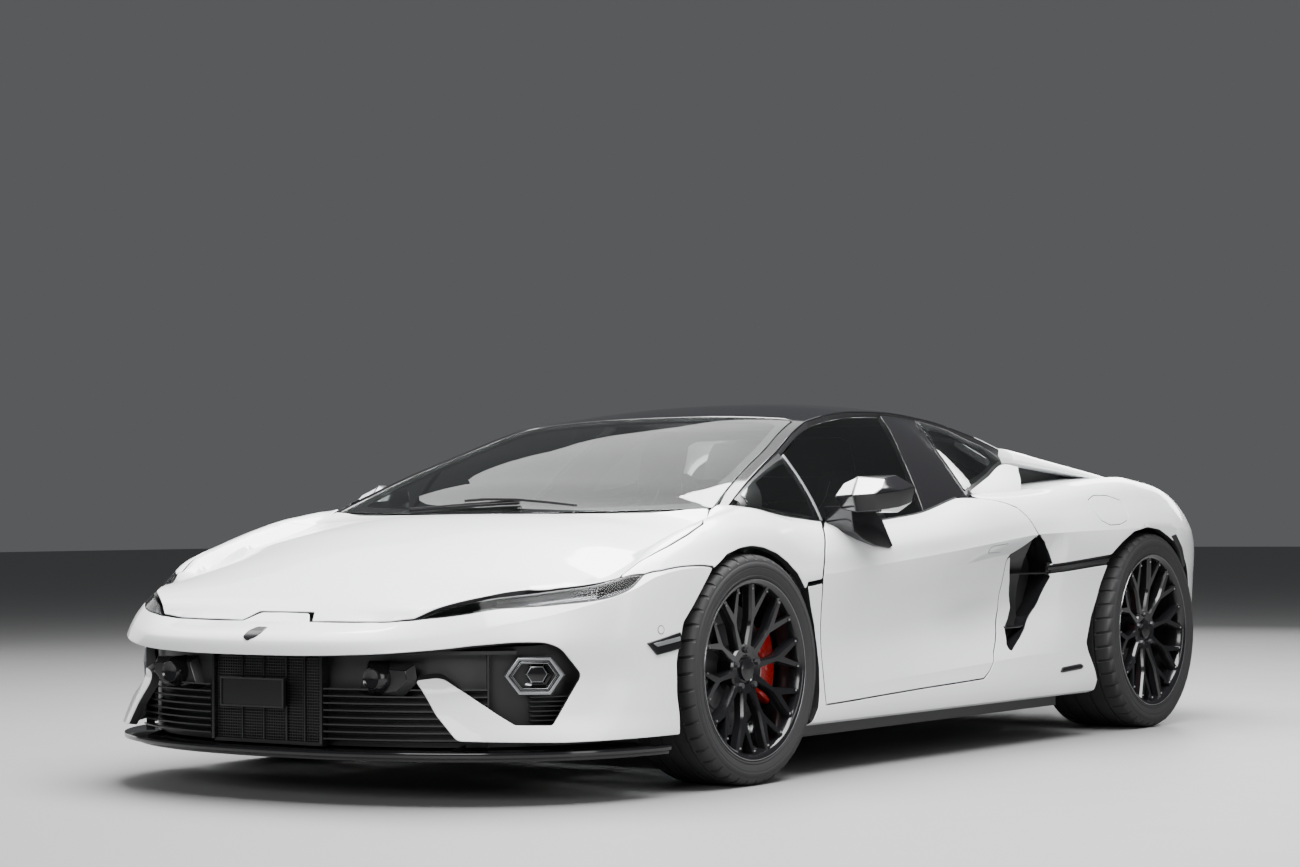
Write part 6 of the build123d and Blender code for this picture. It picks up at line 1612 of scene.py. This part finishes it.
# ------------------------------------------------------------------ mirrors
HEAD = [(932, -690, 857), (1010, -712, 860), (1078, -692, 864), (1118, -591, 876), (1122, -512, 888),
        (1087, -657, 881), (944, -655, 899), (1000, -662, 920), (1060, -602, 913), (1068, -540, 925),
        (1005, -550, 925), (950, -566, 908), (942, -668, 818), (1010, -690, 808), (1072, -666, 812),
        (1106, -585, 822), (1110, -516, 838), (1062, -520, 806), (965, -548, 806), (938, -562, 862)]
CAP_FACES = [(0, 1, 7, 6), (1, 2, 5), (1, 5, 8, 7)]
HEAD_FACES = [(6, 7, 10, 11), (7, 8, 9, 10), (0, 6, 11, 19), (12, 0, 19, 18), (5, 3, 4, 9), (5, 9, 8), (2, 3, 5),
              (12, 13, 1, 0), (13, 14, 2, 1), (14, 15, 3, 2), (15, 16, 4, 3), (12, 18, 17, 13), (13, 17, 14),
              (14, 17, 16, 15), (11, 10, 9, 4, 16, 17, 18, 19)]
FOOT = [(-652, 746), (-600, 722), (-520, 700), (-436, 692), (-414, 700), (-478, 784), (-556, 828), (-668, 828)]
GLASS_FACE = [(952, 868), (968, 820), (1056, 818), (1098, 842), (1106, 884), (1060, 912), (1008, 914), (962, 900)]
for side, hand in HANDS:
    head = Shape()
    places = [(side * x, y, z) for x, y, z in HEAD]
    head.add((places, HEAD_FACES + CAP_FACES), [BLACK_GLOSS] * len(HEAD_FACES) + [WHITE] * len(CAP_FACES))
    head.add(slab(FOOT, 878, 979, lambda a, b, c: (side * c, a, b)), BLACK_GLOSS)
    head.add(slab(GLASS_FACE, -516, -507, lambda a, b, c: (side * a, c + (1122 - a) * -0.22, b),
                  shrunk(GLASS_FACE, 3)), STEEL)
    head.piece(f"mirror_head_{hand}", f"mirror_{hand}", body=f"door_{hand}", bevel=5, angle=22, segments=3)

# ------------------------------------------------------------------ wiper
wiper = Shape()


def on_glass(x, y, above):
    """Point at a height above the windscreen."""
    x, y = np.array([float(x)]), np.array([float(y)])
    p, q = roof(x, y)[0], roof(x, y + 1.0)[0]
    side_way = roof(x + 1.0, y)[0] - p
    return p + unit(np.cross(side_way, q - p)) * above


WIPER = [
    # line, section, height over the glass
    ([(-345, -1240), (-226, -1224), (-100, -1206), (0, -1194), (70, -1188)],
     [(-4, -6), (4, -6), (3, 2), (-3, 2)], 8),
    ([(-345, -1238), (-226, -1221), (-100, -1203), (0, -1191), (70, -1185)],
     [(-7, 0), (7, 0), (4, 6), (-4, 6)], 10),
    ([(350, -1262), (300, -1242), (211, -1222), (69, -1196), (-60, -1190), (-140, -1200)],
     [(-7, -4), (7, -4), (5, 4), (-5, 4)], 22),
]
for line, section, above in WIPER:
    wiper.add(swept(section, filled([on_glass(x, y, above) for x, y in line], 4)), BLACK_SATIN)
wiper.piece("wiper", bevel=1, slot="black_plastic")

# ------------------------------------------------------------------ materials of the parts that keep their CAD shape
KEPT = {
    "tub": BLACK_SATIN, "arch_liners": BLACK_MATT, "front_boot": BLACK_MATT, "engine_block": ALLOY,
    "front_suspension": DARK_STEEL, "rear_suspension": DARK_STEEL, "knuckle_left": ALLOY, "knuckle_right": ALLOY,
    "rear_uprights": ALLOY,
}
for node, paint in KEPT.items():
    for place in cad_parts[node].material_slots:
        place.material = paint


# ------------------------------------------------------------------ seats
CLOTH = shader("black suede", (0.030, 0.030, 0.032), 0.85, grain=0.08, grain_size=900, bump=0.8)
STITCH = shader("grey stitching", (0.32, 0.32, 0.33), 0.6, grain=0.1)
SEAT_X = 370
# middle line of the seat's front: y, z, half width, height of the bolsters, thickness
SEAT = [(-430, 296, 196, 0, 46), (-428, 330, 212, 8, 66), (-396, 350, 220, 24, 88), (-300, 350, 226, 50, 104),
        (-150, 337, 228, 58, 106), (0, 324, 224, 58, 104), (58, 332, 214, 62, 96), (92, 376, 206, 70, 82),
        (120, 450, 212, 78, 74), (155, 560, 220, 78, 66), (183, 660, 226, 60, 60), (206, 750, 222, 34, 56),
        (220, 812, 186, 18, 52), (232, 862, 128, 9, 50), (243, 905, 110, 5, 50), (254, 940, 96, 2, 42),
        (262, 958, 70, 0, 30)]
RIBS = 44


def seat_rows(count):
    """Points along the seat's middle line with width, bolster, thickness and the way that its front faces."""
    rows = np.array(SEAT, float)
    length = np.concatenate(([0], np.cumsum(np.hypot(np.diff(rows[:, 0]), np.diff(rows[:, 1])))))
    table = [(at,) + tuple(row) for at, row in zip(length, rows)]
    places = np.linspace(0, length[-1], count)
    y, z, half, bolster, thick = (curve(table, k, places) for k in range(1, 6))
    way = unit(np.stack([np.gradient(y), np.gradient(z)], 1))
    return places, y, z, half, bolster, thick, np.stack([-way[:, 1], way[:, 0]], 1)


def seat_pad(side):
    """Padded front of a seat: ribbed cloth in the middle and leather bolsters."""
    places, ys, zs, halves, bolsters, thicks, faces_way = seat_rows(120)
    across = np.concatenate((np.linspace(-1, 1, 27), np.linspace(0.9, -0.9, 7)))
    shape, points = Shape(), []
    for at, y, z, half, bolster, thick, (ny, nz) in zip(places, ys, zs, halves, bolsters, thicks, faces_way):
        for k, u in enumerate(across):
            out = abs(u)
            if k < 27:
                lift = bolster * min(max((out - 0.46) / 0.34, 0), 1) ** 1.4
                lift -= (max(out - 0.86, 0) / 0.14) ** 2 * (bolster * 0.4 + 12)
                if out < 0.44:
                    lift -= 3.5 * abs(cos(pi * at / RIBS)) ** 14
                if 0.44 < out < 0.5:
                    lift -= 3
            else:
                lift = -0.55 * thick
            points.append((side * SEAT_X + u * half, y + ny * lift, z + nz * lift))
    paints = [CLOTH if 7 <= j < 19 else LEATHER for j in range(len(across))] * (len(ys) - 1)
    shape.add((points, loft_faces(len(ys), len(across))), paints + [LEATHER] * 2)
    return shape


def seat_shell(side):
    """Hard shell behind the padding, on two rails."""
    _, ys, zs, halves, bolsters, thicks, faces_way = seat_rows(40)
    across = np.concatenate((np.linspace(-1, 1, 13), np.linspace(1, -1, 13)))
    shape, points = Shape(), []
    for y, z, half, bolster, thick, (ny, nz) in zip(ys, zs, halves, bolsters, thicks, faces_way):
        for k, u in enumerate(across):
            reach = -0.56 * thick if k < 13 else -thick * (1 - 0.35 * abs(u) ** 4)
            edge = bolster * 0.35 * max(abs(u) - 0.8, 0) / 0.2
            points.append((side * SEAT_X + u * (half + (1 if k < 13 else -3)), y + ny * (reach + edge),
                           z + nz * (reach + edge)))
    shape.add((points, loft_faces(len(ys), len(across))), BLACK_GLOSS)
    for x in (-140, 140):
        shape.add(slab([(-370, 150), (120, 150), (120, 262), (60, 252), (-300, 256), (-370, 250)],
                       side * SEAT_X + x - 16, side * SEAT_X + x + 16, over_yz), DARK_STEEL)
    return shape


for side, hand in HANDS:
    seat_pad(side).piece(f"seat_pad_{hand}", f"seat_{hand}", slot="leather", angle=50)
    seat_shell(side).piece(f"seat_shell_{hand}", bevel=2, angle=40)
    piping = Shape()
    _, ys, zs, halves, bolsters, thicks, faces_way = seat_rows(60)
    for u in (-0.47, 0.47):
        line = [(side * SEAT_X + u * half, y, z) for y, z, half in zip(ys, zs, halves)][2:-2]
        piping.add(swept(circle(1.6, 6), line), STITCH)
    piping.piece(f"seat_piping_{hand}", slot="leather")

# ------------------------------------------------------------------ dashboard, steering wheel and console
DASH = [(-900, 655), (-860, 735), (-770, 790), (-670, 799), (-606, 784), (-566, 744), (-560, 700), (-574, 650),
        (-604, 592), (-640, 524), (-900, 524)]
# share of the hump over the instruments that each point of the outline takes
HUMP_SHARE = (0, 0.3, 0.8, 1, 1, 0.7, 0.3, 0, 0, 0, 0)
dash = Shape()
points = []
columns = np.linspace(-690, 690, 47)
for x in columns:
    hump = 16 * np.exp(-((x - 370) / 150) ** 2) - 30 * max(abs(x) - 560, 0) / 130
    forward_by = 26 * max(abs(x) - 560, 0) / 130
    for k, (y, z) in enumerate(DASH):
        points.append((x, y - forward_by * (k > 3), z + hump * HUMP_SHARE[k]))
paints = [LEATHER if j < 5 else CLOTH for j in range(len(DASH))] * (len(columns) - 1)
dash.add((points, loft_faces(len(columns), len(DASH))), paints + [LEATHER] * 2)
HEX_VENT = [(-58, 0), (-34, 26), (34, 26), (58, 0), (34, -26), (-34, -26)]
for x in (-500, -130, 130, 520):
    def vent(a, b, c, x=x):
        return x + a, -562 + c + 0.1 * b, 706 + b
    dash.add(ring_of(HEX_VENT, shrunk(HEX_VENT, 7), -10, 8, vent, shrunk(HEX_VENT, 2), shrunk(HEX_VENT, 6)), SILVER)
    dash.add(slab(shrunk(HEX_VENT, 5), -10, 1, vent), BLACK_MATT)
    for b in (-12, 0, 12):
        dash.add(slab(rectangle(-40, b - 1.5, 40, b + 1.5), 0, 5, vent), BLACK_GLOSS)
SCREENS = [
    # centre, half the width, low and high edge, y of the high edge
    (370, 150, 716, 798, -588),
    (-340, 130, 690, 742, -566),
    (0, 82, 560, 690, -560),
]
for centre, half, low, high, top_y in SCREENS:
    def leaning(a, b, c, high=high, top_y=top_y):
        return a, top_y + c + (b - high) * -0.25, b
    screen_loop = rounded([(centre - half, low), (centre + half, low), (centre + half - 8, high),
                           (centre - half + 8, high)], 12)
    dash.add(slab(screen_loop, 0, 16, leaning, shrunk(screen_loop, 2)), BLACK_GLOSS)
    dash.add(slab(shrunk(screen_loop, 7), 14, 16.6, leaning), SCREEN)
dash.piece("dash", "dashboard", bevel=1.5, slot="leather", angle=40)

console = Shape()
CONSOLE = [(-600, 424), (-600, 585), (-560, 590), (-500, 520), (-380, 486), (-120, 474), (-60, 500), (210, 506),
           (262, 486), (270, 424)]
console.add(slab(CONSOLE, -104, 104, over_yz), LEATHER)
console.add(slab(rounded(rectangle(-78, -480, 78, -110), 20), 0, 12,
                 lambda a, b, c: (a, b, 506 + (b + 440) * -0.10 + c - 24)), BLACK_GLOSS)
console.add(slab(rounded([(-34, -400), (34, -400), (26, -320), (-26, -320)], 8), 0, 22,
                 lambda a, b, c: (a, b, 492 + c)), RED)
for b in (-270, -230, -190):
    console.add(slab(rounded(rectangle(-58, b - 13, 58, b + 13), 6), 0, 14, lambda a, b, c: (a, b, 478 + c)), SILVER)
console.add(slab(rounded(rectangle(-92, -56, 92, 206), 26), 0, 26, lambda a, b, c: (a, b, 500 + c)), CLOTH)
console.piece("console", bevel=6, slot="leather")

WHEEL_AT, WHEEL_LEAN = np.array([370.0, -430.0, 690.0]), radians(22)
wheel_out = np.array([0, cos(WHEEL_LEAN), sin(WHEEL_LEAN)])
wheel_up = np.array([0, -sin(WHEEL_LEAN), cos(WHEEL_LEAN)])


def on_wheel(a, b, c):
    """Point of the steering wheel: a to the left, b up its face, c towards the driver."""
    return WHEEL_AT + np.array([1.0, 0, 0]) * a + wheel_up * b + wheel_out * c


steer = Shape()
rim_line = [(166 * cos(a), max(166 * sin(a), -138)) for a in np.linspace(0, 2 * pi, 72, endpoint=False)]
rim_points = []
for k, here in enumerate(rim_line):
    ahead, behind = rim_line[(k + 1) % 72], rim_line[k - 1]
    way = unit(np.array([ahead[0] - behind[0], ahead[1] - behind[1]]))
    outward = np.array([way[1], -way[0]])
    for a in np.linspace(0, 2 * pi, 12, endpoint=False):
        rim_points.append(on_wheel(*(here + outward * 13 * cos(a)), 15 * sin(a)))
steer.add((rim_points, loft_faces(72, 12, closed=True)), LEATHER)
hub_shape = [(-62, 30), (-30, 52), (30, 52), (62, 30), (52, -34), (24, -60), (-24, -60), (-52, -34)]
steer.add(slab(hub_shape, -22, 16, on_wheel, shrunk(hub_shape, 8)), LEATHER)
for outline in ([(50, 26), (156, 16), (156, -16), (48, -24)], [(-50, 26), (-156, 16), (-156, -16), (-48, -24)],
                [(-20, -50), (20, -50), (26, -138), (-26, -138)]):
    steer.add(slab(outline, -10, 8, on_wheel), BLACK_GLOSS)
    steer.add(slab(shrunk(outline, 7), 7, 11, on_wheel), SILVER)
for sign in (-1, 1):
    paddle = [(sign * 60, 20), (sign * 96, 92), (sign * 122, 88), (sign * 118, 6), (sign * 66, 0)]
    steer.add(slab(paddle, -38, -32, on_wheel), BLACK_GLOSS)
column = [on_wheel(a, b, c) for c in (-165, -20) for a, b in circle(28, 20)]
steer.add((column, loft_faces(2, 20)), BLACK_SATIN)
steer.piece("steering_wheel_skin", "steering_wheel", bevel=1.5, slot="leather", angle=40)

# ------------------------------------------------------------------ cabin: pedals, mats, rear wall and door linings
cabin = Shape()
for x, half, low, high in ((310, 34, 200, 290), (418, 26, 190, 320)):
    cabin.add(slab(rounded(rectangle(x - half, low, x + half, high), 8), 0, 8,
                   lambda a, b, c: (a, -835 + (b - 200) * 0.4 - c, b)), STEEL)
for side in BOTH:
    mat = rounded(rectangle(side * 110, -780, side * 660, -390), 40)
    cabin.add(slab(mat, 148.5, 156), CLOTH)
WALL_EDGE = [(-600, 852), (600, 852), (560, 1060), (500, 1118), (-500, 1118), (-560, 1060)]
WINDOW_EDGE = [(-380, 940), (380, 940), (350, 1060), (310, 1076), (-310, 1076), (-350, 1060)]
cabin.add(ring_of(WALL_EDGE, WINDOW_EDGE, 330, 342, over_xz), BLACK_SATIN)
cabin.add(slab(shrunk(WINDOW_EDGE, -3), 334, 338, over_xz), GLASS)
cabin.piece("cabin_trim", bevel=2, slot="leather")

jamb_loop = [(262, 2.7), (560, 3.3), (610, 4.5), (628, 5.4), (560, 7.5), (420, 7.9), (262, 7.9)]
panel("door_jambs", rounded(jamb_loop, 30, 100), under(44), BLACK_SATIN, slot="black_structure", depth=5, step=50,
      lip=1, sides=BOTH, dark=False)

lining_loop = [(-760, 2.9), (-400, 2.6), (60, 2.6), (180, 2.9), (220, 3.9), (250, 5.2), (120, 7.2), (-200, 7.4),
               (-560, 7.3), (-720, 6.6)]
ARMREST = [
    # line, section, material
    ([(-520, 4.9), (-300, 4.75), (-60, 4.6), (140, 4.7)],
     [(-34, -26), (24, -26), (30, 8), (10, 22), (-34, 26)], CLOTH),
    ([(-420, 5.6), (-280, 5.6), (-140, 5.55)], rectangle(-8, -5, 8, 5), SILVER),
]
for side, hand in HANDS:
    panel(f"door_lining_{hand}", rounded(lining_loop, 60, 100), under(64), LEATHER, body=f"door_{hand}",
          slot="leather", depth=6, step=50, lip=2, sides=(side,), dark=False)
    rest = Shape()
    for line, section, paint in ARMREST:
        path = np.array([under(88)(s, v) for s, v in line]) * (side, 1, 1)
        rest.add(swept(section, path), paint)
    rest.piece(f"door_armrest_{hand}", body=f"door_{hand}", bevel=5, slot="leather")

# ------------------------------------------------------------------ engine under the cover
engine = Shape()
plenum = rounded(rectangle(-150, 520, 150, 1080), 40)
engine.add(slab(plenum, 700, 770, over_xy, shrunk(plenum, 12)), ALLOY)
engine.add(slab(shrunk(plenum, 26), 768, 776), BLACK_GLOSS)
for x in (-90, -45, 0, 45, 90):
    engine.add(box((x - 5, 560, 770), (x + 5, 1040, 784)), ALLOY)
for side in BOTH:
    cover_box = rounded(rectangle(-60, 480, 60, 1120), 20)
    engine.add(slab(cover_box, 0, 70,
                    lambda a, b, c: (side * (236 + 0.82 * a + 0.5 * c), b, 650 - 0.5 * a + 0.82 * c),
                    shrunk(cover_box, 14)), RED)
    for y in np.linspace(560, 1040, 4):
        pipe = [(side * (140 + 10 * t + 70 * sin(pi * t / 2)), y, 740 - 80 * t**2 + 26 * sin(pi * t))
                for t in np.linspace(0, 1, 9)]
        engine.add(swept(circle(24, 14), pipe), ALLOY)
    brace = [(side * 560, 640, 850), (side * 300, 760, 830), (side * 60, 860, 822)]
    engine.add(swept(circle(15, 12), brace), DARK_STEEL)
    header = [(side * 330, 520, 560), (side * 400, 800, 540), (side * 380, 1200, 520), (side * 280, 1600, 530),
              (side * 230, 1860, 545)]
    engine.add(swept(circle(34, 16), filled(header, 5)), STEEL)
engine.add(slab([(a, 860 + b) for a, b in circle(60, 24)], 812, 832), DARK_STEEL)
engine.piece("engine_top", bevel=3, slot="cast_alloy", angle=40)

# ------------------------------------------------------------------ camera, floor and light
CAMERA_AT = (5485.7, -7919.5, 782.7)
CAMERA_YAW, CAMERA_PITCH, CAMERA_ROLL = radians(36.0745), radians(1.8591), radians(-0.437)
CAMERA_LENS, FILM_WIDTH = 75.32, 36
forward = Vector((-sin(CAMERA_YAW) * cos(CAMERA_PITCH), cos(CAMERA_YAW) * cos(CAMERA_PITCH), sin(CAMERA_PITCH)))
level = Vector((cos(CAMERA_YAW), sin(CAMERA_YAW), 0))
square = level.cross(forward)
right = level * cos(CAMERA_ROLL) + square * sin(CAMERA_ROLL)
upward = square * cos(CAMERA_ROLL) - level * sin(CAMERA_ROLL)
optics = bpy.data.cameras.new("camera")
optics.lens, optics.sensor_width = CAMERA_LENS, FILM_WIDTH
camera = bpy.data.objects.new("camera", optics)
turn = Matrix((right, upward, -forward)).transposed().to_4x4()
camera.matrix_world = Matrix.Translation(Vector(CAMERA_AT) * MM) @ turn
bpy.context.scene.collection.objects.link(camera)
bpy.context.scene.camera = camera

FLOOR_SIZE = 60000
FLOOR_GREY = shader("studio floor", (0.24, 0.24, 0.24), 0.55, grain=0.05, grain_size=3)
floor_corners = rectangle(-FLOOR_SIZE, -FLOOR_SIZE, FLOOR_SIZE, FLOOR_SIZE)
floor = make_mesh("floor", [(x, y, 0) for x, y in floor_corners], [(0, 1, 2, 3)], material=FLOOR_GREY)

SOFTBOXES = [
    # name, place, aim, size and power, in metres and watts
    ("overhead", (0.3, -0.2, 5.2), (0, 0, 0), (4.2, 8.5), 2150),
    ("front", (2.5, -9.5, 3.4), (0, -1, 0.3), (5, 2.5), 380),
    ("left side", (8.5, -2.5, 3.6), (0, 0, 0.5), (2.2, 7), 170),
    ("right side", (-8.5, 0.5, 3.0), (0, 0, 0.4), (3, 9), 180),
    ("rear", (-1.5, 9.5, 3.4), (0, 1, 0.3), (5, 2.5), 330),
    ("screen", (-4.7, 3.7, 6.6), (0, -0.6, 1.0), (7.5, 4.6), 150),
]
for name, place, aim, size, power in SOFTBOXES:
    lamp = bpy.data.lights.new(name, "AREA")
    lamp.shape, lamp.size, lamp.size_y, lamp.energy = "RECTANGLE", size[0], size[1], power
    light = bpy.data.objects.new(name, lamp)
    light.location = place
    light.rotation_euler = (Vector(aim) - Vector(place)).to_track_quat("-Z", "Y").to_euler()
    bpy.context.scene.collection.objects.link(light)

world = bpy.data.worlds.new("studio")
bpy.context.scene.world = world
world.use_nodes = True
sky = world.node_tree.nodes["Background"]
sky.inputs["Color"].default_value = (0.80, 0.82, 0.85, 1)
sky.inputs["Strength"].default_value = 0.13
